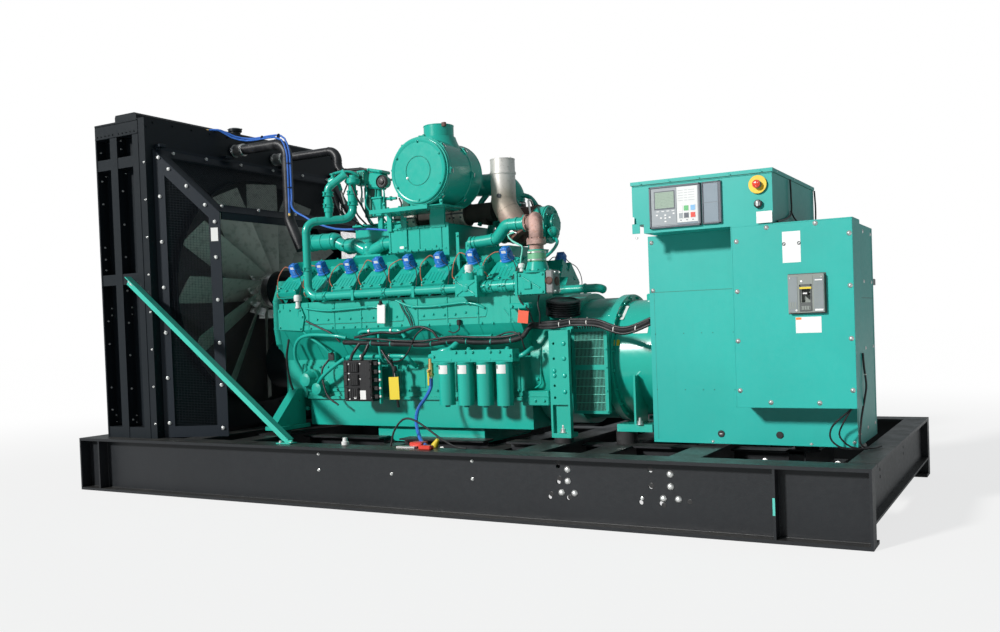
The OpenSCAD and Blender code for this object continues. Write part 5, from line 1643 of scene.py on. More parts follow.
@dataclass
class Alternator:
    """Vent bars, ring bolts, lifting lugs, labels and feet bolts of the alternator and its adaptor."""

    axis_z: float = 0.95
    bars: int = 22
    windows: tuple[tuple[float, float, int], ...] = ((0.616, 0.892, 4), (0.926, 1.15, 3))

    def __post_init__(self) -> None:
        """Reads the boxes of the adaptor and the barrel."""
        self.low, self.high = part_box("alternator_adaptor")
        self.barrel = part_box("alternator_frame")

    def vents(self) -> None:
        """Bars over the vent windows, with a black sheet behind them as painted shade of the inside."""
        mould = Mould()
        x0, x1 = self.high.x - 0.24, self.high.x - 0.022
        for side in SIDES:
            y = side * (self.high.y - 0.006)
            for z0, z1, rows in self.windows:
                # A black sheet just behind the bars stands for the shaded inside of the window: painted
                # shade.
                mould.slab((x0, side * (self.high.y - 0.0238), z0), (x1, side * (self.high.y - 0.0225), z1),
                           Coat.HANDLE, 0.0002)
                for i in range(self.bars):
                    x = x0 + (i + 0.5) * (x1 - x0) / self.bars
                    mould.rod((x, y, z0 - 0.004), (x, y, z1 + 0.004), 0.0019, Coat.PALE_GREEN, 6)
                for i in range(rows):
                    z = z0 + (i + 1) * (z1 - z0) / (rows + 1)
                    mould.rod((x0 - 0.004, y + side * 0.003, z), (x1 + 0.004, y + side * 0.003, z), 0.0026,
                              Coat.PALE_GREEN, 6)
            for x in (self.high.x - 0.253, self.high.x - 0.009):
                mould.bolts([(x, side * self.high.y, z) for z in (0.61, 0.75, 0.909, 1.03, 1.16)],
                            (0, side, 0), 0.01, Coat.ENGINE)
            for i in range(12):
                x = x0 + i * 0.019
                mould.slab((x, side * self.high.y, 1.172), (x + 0.009, side * (self.high.y - 0.02), 1.186),
                           Coat.HANDLE, 0.001)
        mould.piece("vent_bars")

    def rings(self) -> None:
        """Bolts round the two rings, bands round the barrel and a lifting lug."""
        mould = Mould()
        for x, r, count, way in ((self.high.x - 0.0485, 0.45 - 0.022, 20, FORE),
                                 (self.barrel[0].x + 0.052, 0.428, 20, AFT)):
            for i in range(count):
                turn = (i + 0.5) * math.tau / count
                if way == FORE and abs(math.cos(turn)) > 0.72:
                    continue
                mould.bolt((x, r * math.cos(turn), self.axis_z + r * math.sin(turn)), way, 0.019,
                           Coat.ENGINE)
        for x in (self.barrel[0].x + 0.058, self.barrel[0].x + 0.36):
            mould.band((x, 0, self.axis_z), AFT, 0.404, 0.006, 0.014, Coat.ENGINE, 96)
        place = Matrix.Translation((self.barrel[0].x + 0.2, 0, self.axis_z + 0.414))
        mould.block(place, (0.1, 0.02, 0.07), Coat.ENGINE, 0.008)
        mould.turned((self.barrel[0].x + 0.2, -0.011, self.axis_z + 0.425), FAR,
                     [(0.016, 0.0), (0.016, 0.022)], Coat.HANDLE, 16)
        mould.piece("alternator_bolts")

    def labels(self) -> None:
        """Blank labels on the ring and the barrel."""
        mould = Mould()
        for angle, x, long, wide, coat in ((128.0, 1.302, 0.03, 0.15, Coat.LABEL),
                                           (163.0, 1.292, 0.04, 0.05, Coat.TAG_YELLOW),
                                           (150.0, 1.46, 0.1, 0.06, Coat.LABEL)):
            turn = math.radians(angle)
            way = Vector((0, math.cos(turn), math.sin(turn)))
            r = 0.4055
            middle = Vector((x, 0, self.axis_z)) + way * r
            mould.block(Mould.frame_at(middle, way, math.pi / 2 if coat is Coat.LABEL else 0.0),
                        (wide, long, 0.0016), coat, 0.0003)
        mould.piece("alternator_labels")

    def feet(self) -> None:
        """Bolts and studs through the feet."""
        mould = Mould()
        for side in SIDES:
            for x in (self.barrel[0].x + 0.245, self.barrel[0].x + 0.4, 2.5, 2.6):
                mould.bolt((x, side * 0.45, 0.5245), UP, 0.034)
                mould.turned((x, side * 0.45, 0.5245 + 0.022), UP,
                             [(0.01, 0.0), (0.01, 0.02), (0.008, 0.023)], Coat.ZINC, 12)
        mould.piece("alternator_feet_bolts")

    def build(self) -> None:
        """Makes every piece of the alternator."""
        self.vents()
        self.rings()
        self.labels()
        self.feet()


@dataclass
class EngineMounts:
    """Domed heads and bolts on the four engine feet, and the studs through their pads."""

    rear_w: float = 0.142
    outer_y: float = 0.7
    pad_y: float = 0.665
    rib_y: float = 0.435

    def build(self) -> None:
        """Makes the heads, bolts and studs."""
        mould = Mould()
        low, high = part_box("engine_mounts")
        x1 = high.x - self.rear_w
        stud = [(0.011, 0.0), (0.011, 0.026), (0.009, 0.03)]
        dome = [(0.016, 0.0), (0.0155, 0.004), (0.01, 0.009), (0.002, 0.01)]
        for side in SIDES:
            out = Vector((0, side, 0))
            for dx, z in ((0.034, 0.868), (0.108, 0.868), (0.108, 0.98), (0.108, 1.08), (0.108, 0.76),
                          (0.034, 0.9)):
                mould.turned((x1 + dx, side * self.outer_y, z), out, dome, Coat.ENGINE, 16, True)
            for x, y, z, top in ((x1 + self.rear_w / 2, self.pad_y, 0.485, 0.505),
                                 (low.x + 0.085, self.outer_y, 0.4835, 0.503)):
                mould.bolt((x, side * y, z), UP, 0.036)
                mould.turned((x, side * y, top), UP, stud, Coat.ZINC, 12)
            for z in (0.6, 0.7):
                mould.bolts([(low.x + dx, side * self.rib_y, z) for dx in (0.02, 0.15)], out, 0.022,
                            Coat.ENGINE)
        mould.piece("mount_bolts")


@dataclass
class Bank:
    """Places on the two cylinder banks."""

    half: float = math.radians(30.0)
    crank_z: float = 0.95
    first: float = -1.455
    pitch: float = 0.279
    count: int = 8
    cover: float = 0.8425
    slope: float = 0.055 / 0.21

    def way(self, side: int, x: float, y: float, z: float) -> Vector:
        """A direction of a bank in the row frame; side is -1 near and 1 far, and y < 0 is outwards."""
        across = y * math.cos(self.half) - z * math.sin(self.half)
        return Vector((x, -side * across, y * math.sin(self.half) + z * math.cos(self.half)))

    def at(self, side: int, x: float, y: float, z: float) -> Vector:
        """A point of a bank in the row frame."""
        return self.way(side, x, y, z) + Vector((0, 0, self.crank_z))

    def on_cover(self, side: int, x: float, y: float) -> Vector:
        """A point on the sloping top of a head's cover."""
        return self.at(side, x, y, self.cover - (0.01 - y) * self.slope)

    def centres(self) -> list[tuple[int, int, float]]:
        """Side, number and x of every cylinder."""
        return [(side, i, self.first + i * self.pitch) for side in SIDES for i in range(self.count)]


@dataclass
class Heads:
    """Cover bolts, seams, ports, coils and leads of the sixteen heads."""

    def __post_init__(self) -> None:
        """Takes the banks."""
        self.bank = Bank()

    def covers(self) -> None:
        """Bolts, lips and seams of the covers, and the joints and plugs of the heads."""
        mould = Mould()
        bank = self.bank
        for side, _, x in bank.centres():
            lift = bank.way(side, 0, -bank.slope, 1.0).normalized()
            out = bank.way(side, 0, -1, 0)
            for dx, y in ((0.085, -0.015), (0.085, -0.18), (-0.088, -0.15), (-0.086, -0.185),
                          (0.0, -0.185)):
                mould.bolt(bank.on_cover(side, x + dx, y), lift, 0.019, Coat.ENGINE)
            for dx in (-0.06, -0.03, 0.0, 0.03, 0.06):
                a = bank.on_cover(side, x + dx, -0.075)
                mould.rod(a, bank.on_cover(side, x + dx, -0.165), 0.0035, Coat.ENGINE, 6)
            for z, depth, coat in ((0.7425, 0.2035, Coat.ENGINE), (0.752, 0.2015, Coat.DARK_GREEN)):
                a, b = bank.at(side, x - 0.099, -depth, z), bank.at(side, x + 0.099, -depth, z)
                mould.rod(a, b, 0.0045 if coat is Coat.ENGINE else 0.002, coat, 6)
            for dx in (-0.1, 0.1):
                for z in (0.64, 0.715):
                    mould.bolt(bank.at(side, x + dx, -0.14, z), out, 0.018, Coat.ENGINE)
            for dx, r, long in ((-0.045, 0.021, 0.055), (0.045, 0.017, 0.04)):
                base = bank.at(side, x + dx, -0.14, 0.672)
                mould.turned(base, out,
                             [(r * 1.3, 0.0), (r * 1.3, 0.008), (r, 0.012), (r, long),
                              (r * 0.8, long + 0.006)], Coat.ENGINE if dx > 0 else Coat.HANDLE, 14)
                mould.turned(base + out * 0.012, out, [(r * 1.12, 0.0), (r * 1.12, 0.006)], Coat.ENGINE, 6)
            for y in (0.05, 0.1):
                for dx in (-0.07, 0.07):
                    mould.bolt(bank.at(side, x + dx, y, 0.8005), bank.way(side, 0, 0, 1), 0.018,
                               Coat.ENGINE)
            for dx in (-0.113, 0.113):
                for y in (-0.08, 0.06):
                    mould.bolt(bank.at(side, x + dx * 0.93, y, 0.7405), bank.way(side, 0, 0, 1), 0.02,
                               Coat.ENGINE)
            mould.block(self.turned_place(side, x, -0.1415, 0.6215), (0.226, 0.004, 0.006), Coat.DARK_GREEN)
        mould.piece("head_bolts")

    def turned_place(self, side: int, x: float, y: float, z: float) -> Matrix:
        """A place on a bank whose axes follow the bank."""
        bank = self.bank
        axes = Matrix((Vector((1, 0, 0)), bank.way(side, 0, side, 0), bank.way(side, 0, 0, 1))).transposed()
        if axes.determinant() < 0:
            axes = Matrix((Vector((1, 0, 0)), bank.way(side, 0, -side, 0),
                           bank.way(side, 0, 0, 1))).transposed()
        return Matrix.Translation(bank.at(side, x, y, z)) @ axes.to_4x4()

    def coils(self) -> None:
        """Ribs, caps, connectors and screws of the coils."""
        mould = Mould()
        bank = self.bank
        top = bank.cover + 0.0005
        for side, _, x in bank.centres():
            up = bank.way(side, 0, 0, 1)
            base = bank.at(side, x, 0, top)
            mould.turned(base, up, [(0.052, 0.0), (0.052, 0.008), (0.046, 0.012), (0.0445, 0.012)],
                         Coat.COIL, 24)
            for h in (0.02, 0.032, 0.044):
                mould.turned(base + up * h, up,
                             [(0.0442, 0.0), (0.0465, 0.002), (0.0465, 0.005), (0.0442, 0.007)], Coat.COIL,
                             24, True)
            mould.turned(base + up * 0.088, up, [(0.02, 0.0), (0.02, 0.01), (0.015, 0.014), (0.004, 0.015)],
                         Coat.COIL, 18, True)
            mould.block(self.turned_place(side, x, 0.0, top + 0.093), (0.056, 0.05, 0.006), Coat.COIL,
                        0.003)
            mould.block(self.turned_place(side, x - 0.036, -0.008, top + 0.066), (0.022, 0.026, 0.02),
                        Coat.HANDLE, 0.003)
            mould.block(self.turned_place(side, x + 0.002, -0.0312, top + 0.074), (0.036, 0.002, 0.02),
                        Coat.LABEL, 0.0003)
            for dx, dy in ((0.036, 0.03), (-0.036, -0.034)):
                mould.bolt(base + bank.way(side, dx, dy, 0.006), up, 0.012)
        mould.piece("coil_details")

    def leads(self) -> None:
        """An orange-red lead and a thin black wire from each coil down between the covers."""
        mould = Mould()
        bank = self.bank
        top = bank.cover
        chance = random.Random(5)
        for side, _, x in bank.centres():
            s = [chance.uniform(-0.012, 0.012) for _ in range(6)]
            path = [(-0.045, -0.01, top + 0.07), (-0.085 + s[0], -0.012, top + 0.076 + s[1]),
                    (-0.135 + s[2], -0.05, top + 0.04), (-0.15 + s[3], -0.1 + s[4], top - 0.005),
                    (-0.12, -0.145 + s[5], top - 0.03), (-0.095, -0.175, top - 0.04),
                    (-0.088, -0.208, top - 0.075), (-0.08, -0.19, top - 0.135)]
            mould.tube([bank.at(side, x + a, b, c) for a, b, c in path], 0.0038, Coat.LEAD, 8, 0.015)
            path = [(0.03, -0.03, top + 0.06), (0.055 + s[1], -0.06, top + 0.045),
                    (0.1 + s[0], -0.09, top + 0.02),
                    (0.128, -0.14 + s[2], top - 0.03), (0.125, -0.2, top - 0.09), (0.1, -0.2, top - 0.16)]
            mould.tube([bank.at(side, x + a, b, c) for a, b, c in path], 0.0034, Coat.WIRE, 6, 0.015)
            plug = bank.at(side, x - 0.08, -0.19, top - 0.15)
            mould.turned(plug, bank.way(side, 0, 0, 1), [(0.01, 0.0), (0.01, 0.022), (0.007, 0.028)],
                         Coat.HANDLE, 12)
        mould.piece("coil_leads")

    def build(self) -> None:
        """Makes every piece of the heads."""
        self.covers()
        self.coils()
        self.leads()


@dataclass
class EngineSide:
    """Seams, bolts, covers, pipes, cables, filters, module, labels and tags along the engine's sides."""

    wall_y: float = 0.6
    pipe_y: float = -0.578
    harness_y: float = -0.606

    def bolts_and_seams(self) -> None:
        """Rows of bolts, cast seams with a painted shadow line under each, ribs and cover plates on both
        walls of the block.
        """
        mould = Mould()
        y = self.wall_y
        for side in SIDES:
            out = Vector((0, side, 0))
            spots = [(-0.12, 1.305), (-0.036, 1.312), (0.061, 1.304), (0.151, 1.305), (0.238, 1.316),
                     (0.338, 1.306), (-0.078, 1.236), (0.098, 1.235), (0.19, 1.237), (0.368, 1.236),
                     (0.461, 1.234)]
            for i in range(11):
                spots += [(-1.44 + i * 0.108, 1.306 + 0.004 * (i % 2)), (-1.4 + i * 0.108, 1.243)]
            mould.bolts([(x, side * y, z) for x, z in spots], out, 0.015, Coat.ENGINE)
            for a, b in (((-0.162, 1.277), (0.402, 1.284)), ((0.402, 1.284), (0.413, 1.312)),
                         ((0.413, 1.312), (0.414, 1.345)),
                         ((-1.46, 1.277), (-0.3, 1.277)), ((-0.3, 1.277), (-0.29, 1.345)),
                         ((0.552, 1.335), (0.632, 1.233))):
                mould.rod((a[0], side * (y - 0.001), a[1]), (b[0], side * (y - 0.001), b[1]), 0.0045,
                          Coat.ENGINE, 6)
                # A thin dark line just under each raised seam is its painted shadow.
                mould.rod((a[0], side * (y - 0.0008), a[1] - 0.007),
                          (b[0], side * (y - 0.0008), b[1] - 0.007), 0.0022, Coat.DARK_GREEN, 6)
            for i in range(9):
                x = -1.46 + i * 0.2575
                mould.slab((x - 0.006, side * (y - 0.004), 1.236), (x + 0.006, side * (y + 0.006), 1.44),
                           Coat.IRON, 0.003)
                mould.prism([(x - 0.007, side * 0.604, 1.232), (x - 0.007, side * 0.434, 0.992),
                             (x - 0.007, side * 0.434, 1.05),
                             (x - 0.007, side * 0.56, 1.232)], (0.014, 0, 0), Coat.IRON)
            for i in range(8):
                x0 = -1.43 + i * 0.2575
                self.cover_plate(mould, side, x0, x0 + 0.2, 0.735, 0.945)
            mould.bolts([(-1.33 + i * 0.0795, side * 0.442, 0.697) for i in range(26)], -UP, 0.014,
                        Coat.ENGINE)
            mould.slab((-1.37, side * 0.424, 0.676), (0.67, side * 0.45, 0.7), Coat.IRON, 0.002)
            mould.slab((0.627, side * 0.425, 0.648), (0.837, side * 0.52, 0.751), Coat.IRON, 0.006)
            mould.slab((0.623, side * 0.425, 0.709), (0.841, side * 0.5245, 0.716), Coat.IRON, 0.002)
            mould.bolts([(x, side * 0.52, 0.683) for x in (0.66, 0.73, 0.8)], out, 0.016, Coat.ENGINE)
            for x, z in ((0.7, 0.93), (0.72, 0.83), (0.66, 0.9), (0.78, 1.02), (0.92, 0.8), (0.92, 1.12)):
                mould.bolt((x, side * 0.4305 if x < 0.68 else side * 0.45, z), out, 0.02, Coat.ENGINE)
        mould.piece("block_bolts")

    @staticmethod
    def cover_plate(mould: Mould, side: int, x0: float, x1: float, z0: float, z1: float) -> None:
        """Adds a bolted inspection cover on the lower wall.

        Args:
            mould: where it goes.
            side: which wall.
            x0: its front end.
            x1: its rear end.
            z0: its lower edge.
            z1: its upper edge.
        """
        y = side * 0.43
        mould.slab((x0, y - side * 0.002, z0), (x1, y + side * 0.009, z1), Coat.IRON, 0.004)
        mould.slab((x0 + 0.03, y, z0 + 0.03), (x1 - 0.03, y + side * 0.014, z1 - 0.03), Coat.IRON, 0.004)
        for x in (x0 + 0.014, (x0 + x1) / 2, x1 - 0.014):
            for z in (z0 + 0.014, z1 - 0.014):
                mould.bolt((x, y + side * 0.009, z), (0, side, 0), 0.013, Coat.ENGINE)

    def front(self) -> None:
        """Bolts of the front cover, the pump, the small covers and fittings at the front of the near wall."""
        mould = Mould()
        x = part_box("gear_cover")[0].x
        for side in SIDES:
            for y, z in ((0.24, 0.575), (0.275, 0.66), (0.275, 0.8), (0.275, 0.95), (0.38, 1.09),
                         (0.43, 1.25), (0.43, 1.36),
                         (0.43, 1.47), (0.38, 1.6), (0.25, 1.625), (0.12, 1.625), (0.1, 0.575)):
                mould.bolt((x, side * y, z), FORE, 0.02, Coat.ENGINE)
            mould.slab((x + 0.096, side * 0.1, 1.6), (x + 0.104, side * 0.452, 1.605), Coat.DARK_GREEN,
                       0.001)
        y = -self.wall_y
        mould.prism([(-1.5, y, 1.403), (-1.262, y, 1.403), (-1.233, y, 1.335), (-1.262, y, 1.224),
                     (-1.5, y, 1.24)], (0, -0.014, 0), Coat.IRON)
        for bx, bz in ((-1.485, 1.388), (-1.275, 1.388), (-1.252, 1.335), (-1.275, 1.242), (-1.485, 1.256),
                       (-1.38, 1.392)):
            mould.bolt((bx, y - 0.014, bz), NEAR, 0.015, Coat.ENGINE)
        mould.turned((-1.31, -0.43, 0.835), NEAR,
                     [(0.085, 0.0), (0.085, 0.05), (0.075, 0.062), (0.06, 0.1), (0.052, 0.12),
                      (0.03, 0.125)], Coat.IRON, 28)
        mould.turned((-1.205, -0.43, 0.765), NEAR,
                     [(0.062, 0.0), (0.062, 0.06), (0.05, 0.075), (0.046, 0.11), (0.02, 0.115)],
                     Coat.IRON, 24)
        mould.bolts(around((-1.31, -0.492, 0.835), 0.068, 6, 1), NEAR, 0.014, Coat.ENGINE)
        mould.slab((-1.426, -0.43, 0.7), (-1.375, -0.452, 0.96), Coat.IRON, 0.008)
        mould.slab((-1.107, -0.43, 0.975), (-1.036, -0.5, 1.053), Coat.IRON, 0.006)
        mould.slab((-1.1, -0.5, 0.985), (-1.043, -0.508, 1.045), Coat.HANDLE, 0.003)
        mould.turned((-1.294, -0.612, 1.404), UP,
                     [(0.022, 0.0), (0.022, 0.012), (0.017, 0.016), (0.017, 0.052), (0.03, 0.056),
                      (0.032, 0.088), (0.026, 0.104)], Coat.CAP_WHITE, 18)
        for path, r, coat, sides in (
                (((-1.294, -0.612, 1.41), (-1.294, -0.6, 1.3), (-1.25, -0.585, 1.2), (-1.12, -0.56, 1.11),
                  (-1.07, -0.53, 1.05)), 0.011, Coat.ENGINE, 10),
                (((-1.36, -0.52, 0.9), (-1.38, -0.57, 1.02), (-1.33, -0.6, 1.14), (-1.2, -0.615, 1.19),
                  (-0.95, -0.615, 1.18), (-0.84, -0.6, 1.16)), 0.014, Coat.ENGINE, 10),
                (((-1.2, -0.52, 0.8), (-1.12, -0.56, 0.86), (-1.02, -0.56, 0.93), (-0.9, -0.55, 1.0)),
                 0.016, Coat.ENGINE, 10),
                (((-1.42, -0.5, 0.66), (-1.47, -0.53, 0.8), (-1.46, -0.58, 1.0), (-1.4, -0.615, 1.16)),
                 0.009, Coat.WIRE, 8),
                (((-1.1, -0.5, 0.99), (-1.14, -0.54, 0.9), (-1.08, -0.56, 0.72), (-0.98, -0.55, 0.64)),
                 0.008, Coat.WIRE, 8)):
            mould.tube(path, r, coat, sides)
        mould.turned((-1.48, -0.432, 0.62), NEAR,
                     [(0.045, 0.0), (0.045, 0.02), (0.036, 0.03), (0.034, 0.06), (0.012, 0.064)],
                     Coat.IRON, 20)
        mould.piece("front_fittings")

    def pipes(self) -> None:
        """Rail pipes, rods, drop pipes and their clips along the near wall."""
        mould = Mould()
        y = self.pipe_y
        for a, b in ((0.015, 0.145), (0.235, 0.44), (0.505, 0.668)):
            mould.rod((a, y, 1.136), (b, y, 1.134), 0.0175, Coat.ENGINE, 14)
            for x in (a, b - 0.012):
                mould.band((x, y, 1.135), AFT, 0.0175, 0.0045, 0.012, Coat.ENGINE, 14)
        mould.rod((-0.05, y, 1.136), (0.72, y, 1.134), 0.01, Coat.ENGINE, 10)
        for path, r, sides in (
                (((-0.35, -0.615, 1.425), (-0.22, -0.622, 1.377), (-0.048, -0.622, 1.369),
                  (0.135, -0.622, 1.379), (0.255, -0.622, 1.384), (0.35, -0.618, 1.365),
                  (0.4, -0.61, 1.34)), 0.0085, 10),
                (((-1.22, -0.615, 1.4), (-1.0, -0.622, 1.375), (-0.75, -0.622, 1.38), (-0.55, -0.62, 1.385),
                  (-0.45, -0.61, 1.35)), 0.0075, 10),
                (((-0.72, -0.59, 1.19), (-0.678, -0.6, 1.205), (-0.5, -0.6, 1.205), (-0.34, -0.6, 1.2),
                  (-0.3, -0.59, 1.15)), 0.014, 10),
                (((-0.53, -0.602, 1.195), (-0.531, -0.6, 1.1), (-0.53, -0.575, 0.995),
                  (-0.51, -0.52, 0.955)), 0.011, 10),
                (((-0.88, -0.54, 1.0), (-0.841, -0.55, 1.012), (-0.6, -0.55, 1.01), (-0.345, -0.55, 1.008),
                  (-0.3, -0.53, 0.97), (-0.29, -0.47, 0.93)), 0.017, 12),
                (((-0.045, -0.65, 1.004), (-0.014, -0.652, 1.012), (0.057, -0.654, 1.044),
                  (0.117, -0.64, 1.056), (0.16, -0.61, 1.096), (0.18, -0.57, 1.13)), 0.021, 14),
                (((0.758, -0.455, 1.06), (0.757, -0.47, 1.03), (0.757, -0.475, 0.86), (0.754, -0.472, 0.8),
                  (0.72, -0.47, 0.775), (0.69, -0.45, 0.765)), 0.0065, 8)):
            mould.tube(path, r, Coat.ENGINE, sides)
        for x, z in ((-0.2, 1.372), (0.04, 1.372), (0.27, 1.382), (-0.95, 1.378), (-0.62, 1.385)):
            mould.turned((x, -0.602, z), NEAR, [(0.013, 0.0), (0.013, 0.026), (0.006, 0.03)], Coat.ENGINE,
                         6)
        for x, z, r in ((-0.62, 1.205, 0.014), (-0.42, 1.205, 0.014), (-0.74, 1.012, 0.017),
                        (-0.48, 1.01, 0.017)):
            mould.band((x, -0.602 if z > 1.1 else -0.551, z), AFT, r + 0.001, 0.005, 0.018, Coat.STEEL, 14)
        mould.slab((0.629, -0.66, 1.322), (0.778, -0.598, 1.362), Coat.ENGINE, 0.006)
        for x in (0.65, 0.755):
            mould.bolt((x, -0.66, 1.342), NEAR, 0.018, Coat.ENGINE)
        for i in range(6):
            x = -0.02 + i * 0.12
            mould.slab((x - 0.008, -0.595, 1.085), (x + 0.008, -0.5, 1.105), Coat.ENGINE, 0.002)
        mould.piece("near_pipes")

    def cables(self) -> None:
        """The black harness along the near wall with its branches, ties and connectors."""
        mould = Mould()
        main = ((-0.86, -0.6, 1.125), (-0.7, -0.604, 1.12), (-0.522, -0.606, 1.109),
                (-0.326, -0.606, 1.101), (-0.121, -0.606, 1.092),
                (0.004, -0.606, 1.104), (0.142, -0.608, 1.116), (0.334, -0.606, 1.1),
                (0.551, -0.606, 1.103), (0.68, -0.602, 1.125),
                (0.725, -0.585, 1.18), (0.752, -0.56, 1.206))
        mould.tube(main, 0.0185, Coat.SLEEVE, 12, 0.03)
        mould.tube([(x, y - 0.012, z + 0.03 + 0.006 * math.sin(x * 23.0)) for x, y, z in main[1:-2]],
                   0.0085, Coat.WIRE, 8, 0.03)
        for path, r in ((((-0.75, -0.61, 1.16), (-0.518, -0.615, 1.192), (-0.355, -0.615, 1.185),
                          (-0.193, -0.618, 1.22),
                          (-0.115, -0.618, 1.219), (-0.039, -0.615, 1.189), (0.0, -0.61, 1.14),
                          (0.035, -0.605, 1.11)), 0.01),
                        (((-0.328, -0.612, 1.42), (-0.29, -0.616, 1.35), (-0.25, -0.616, 1.29),
                          (-0.224, -0.614, 1.232)), 0.0045),
                        (((-0.3, -0.612, 1.43), (-0.262, -0.618, 1.36), (-0.225, -0.618, 1.3),
                          (-0.205, -0.614, 1.235)), 0.0045),
                        (((0.1, -0.612, 1.185), (0.15, -0.625, 1.172), (0.196, -0.628, 1.195),
                          (0.19, -0.615, 1.225)), 0.005),
                        (((-0.11, -0.616, 1.215), (-0.18, -0.625, 1.16), (-0.25, -0.62, 1.05),
                          (-0.33, -0.6, 0.985), (-0.43, -0.58, 0.97)), 0.0065),
                        (((0.45, -0.61, 1.125), (0.6, -0.62, 1.165), (0.68, -0.62, 1.14), (0.7, -0.6, 1.06),
                          (0.71, -0.57, 1.01)), 0.006),
                        (((-0.52, -0.585, 1.06), (-0.46, -0.6, 0.99), (-0.41, -0.6, 0.93),
                          (-0.402, -0.59, 0.8), (-0.395, -0.57, 0.63)), 0.011),
                        (((0.7, -0.66, 1.42), (0.72, -0.665, 1.37), (0.775, -0.655, 1.31),
                          (0.785, -0.63, 1.24), (0.8, -0.6, 1.21)), 0.006),
                        (((0.83, -0.6, 1.41), (0.822, -0.61, 1.35), (0.835, -0.61, 1.28),
                          (0.825, -0.6, 1.22)), 0.0055),
                        (((-0.9, -0.6, 1.13), (-0.98, -0.61, 1.2), (-1.1, -0.61, 1.25),
                          (-1.22, -0.61, 1.3)), 0.008),
                        (((-0.7, -0.61, 1.12), (-0.74, -0.63, 1.06), (-0.75, -0.655, 1.02),
                          (-0.752, -0.668, 0.99)), 0.012),
                        (((-0.62, -0.61, 1.11), (-0.64, -0.63, 1.05), (-0.65, -0.655, 1.02),
                          (-0.65, -0.668, 0.99)), 0.012)):
            mould.tube(path, r, Coat.WIRE, 8, 0.02)
        for x, z in ((-0.6, 1.113), (-0.42, 1.105), (-0.22, 1.096), (-0.06, 1.098), (0.08, 1.11),
                     (0.24, 1.108), (0.44, 1.102), (0.6, 1.109)):
            mould.band((x, self.harness_y, z), AFT, 0.0192, 0.0013, 0.007, Coat.ENGINE, 14, 0.001)
        for at, way in (((-0.402, -0.592, 0.9), UP), ((0.19, -0.615, 1.225), UP),
                        ((-0.43, -0.58, 0.97), FORE), ((0.71, -0.57, 1.0), UP)):
            mould.turned(at, way, [(0.012, 0.0), (0.017, 0.004), (0.017, 0.034), (0.013, 0.04)],
                         Coat.HANDLE, 12)
        mould.piece("near_harness")
        ties = Mould()
        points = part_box("wiring_harness")
        for x, y, z in ((0.978, -0.6, 1.206), (1.187, -0.618, 1.213), (1.064, -0.61, 1.216),
                        (1.386, -0.638, 1.165), (1.54, -0.642, 1.166)):
            way = Vector((1.0, -0.05, 0.0 if x < 1.3 else -0.15))
            ties.band((x, y, z), way, 0.0245, 0.0017, 0.007, Coat.TIE, 16, 0.001)
            ties.slab((x, y - 0.004, z + 0.024), (x + 0.006, y + 0.004, z + 0.033), Coat.TIE, 0.001)
        for shift in (0.02, -0.018):
            path = [(0.72, -0.548, 1.206), (0.85, -0.59, 1.202 + shift), (0.978, -0.614, 1.206 + shift),
                    (1.064, -0.626, 1.216 + shift),
                    (1.187, -0.634, 1.213 + shift), (1.284, -0.644, 1.202 + shift),
                    (1.386, -0.652, 1.165 + shift),
                    (1.46, -0.656, 1.15 + shift), (1.54, -0.656, 1.166 + shift),
                    (points[1].x - 0.005, -0.65, 1.205 + shift)]
            ties.tube(path, 0.009, Coat.WIRE, 8, 0.03)
        ties.piece("harness_ties")

    def tags(self) -> None:
        """Blank labels and hanging tags along the near side."""
        mould = Mould()
        for at, tilt, size, coat, cut in (
                ((0.736, -0.668, 1.266), 0.12, (0.08, 0.0015, 0.085), Coat.TAG_RED, 0.0004),
                ((-0.399, -0.612, 0.775), -0.03, (0.089, 0.0015, 0.168), Coat.TAG_YELLOW, 0.0004),
                ((-0.459, -0.655, 1.329), 0.05, (0.072, 0.01, 0.14), Coat.LABEL, 0.003)):
            mould.block(Matrix.Translation(at) @ Matrix.Rotation(tilt, 4, "Y"), size, coat, cut)
        mould.turned((-0.462, -0.655, 1.398), UP,
                     [(0.018, 0.0), (0.018, 0.012), (0.012, 0.016), (0.012, 0.03)], Coat.HANDLE, 14)
        mould.rod((-0.395, -0.605, 0.86), (-0.4, -0.6, 0.93), 0.0015, Coat.TIE, 6)
        mould.rod((0.7, -0.665, 1.303), (0.7, -0.655, 1.34), 0.0015, Coat.TIE, 6)
        mould.piece("hanging_tags")

    def filters(self) -> None:
        """Labels, base rings, hexagons, header bolts and plugs of the oil filters."""
        mould = Mould()
        low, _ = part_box("oil_filters")
        r = 0.058
        for i in range(4):
            x, y = 0.088 + i * 0.158, -0.642
            mould.turned((x, y, 0.9645), -UP, [(r + 0.004, 0.0), (r + 0.004, 0.008), (r + 0.001, 0.012)],
                         Coat.ENGINE, 40)
            mould.turned((x, y, low.z + 0.006), -UP, [(r - 0.004, 0.0), (r - 0.01, 0.007), (0.02, 0.0075)],
                         Coat.ENGINE, 40)
            mould.turned((x, y, low.z - 0.002), -UP, [(0.018, 0.0), (0.018, 0.012), (0.014, 0.014)],
                         Coat.ENGINE, 6)
            self.wrap(mould, (x, y), r, math.radians(226), math.radians(306), 0.883, 0.944, Coat.LABEL)
            self.wrap(mould, (x, y), r + 0.0008, math.radians(231), math.radians(247), 0.916, 0.94,
                      Coat.INK)
        for x in (0.02, 0.207, 0.283, 0.344, 0.487, 0.56, 0.64):
            mould.bolt((x, -0.7, 1.035 if x > 0.1 and x < 0.6 else 1.008), NEAR, 0.018, Coat.ENGINE)
        for x in (0.13, 0.29, 0.45, 0.6):
            mould.turned((x, -0.655, 1.0495), UP,
                         [(0.02, 0.0), (0.02, 0.008), (0.014, 0.012), (0.014, 0.018)], Coat.ENGINE, 6)
        for x0, x1 in ((0.01, 0.17), (0.18, 0.33), (0.34, 0.49), (0.5, 0.65)):
            mould.slab((x0, -0.7035, 0.972), (x1, -0.699, 0.99), Coat.ENGINE, 0.002)
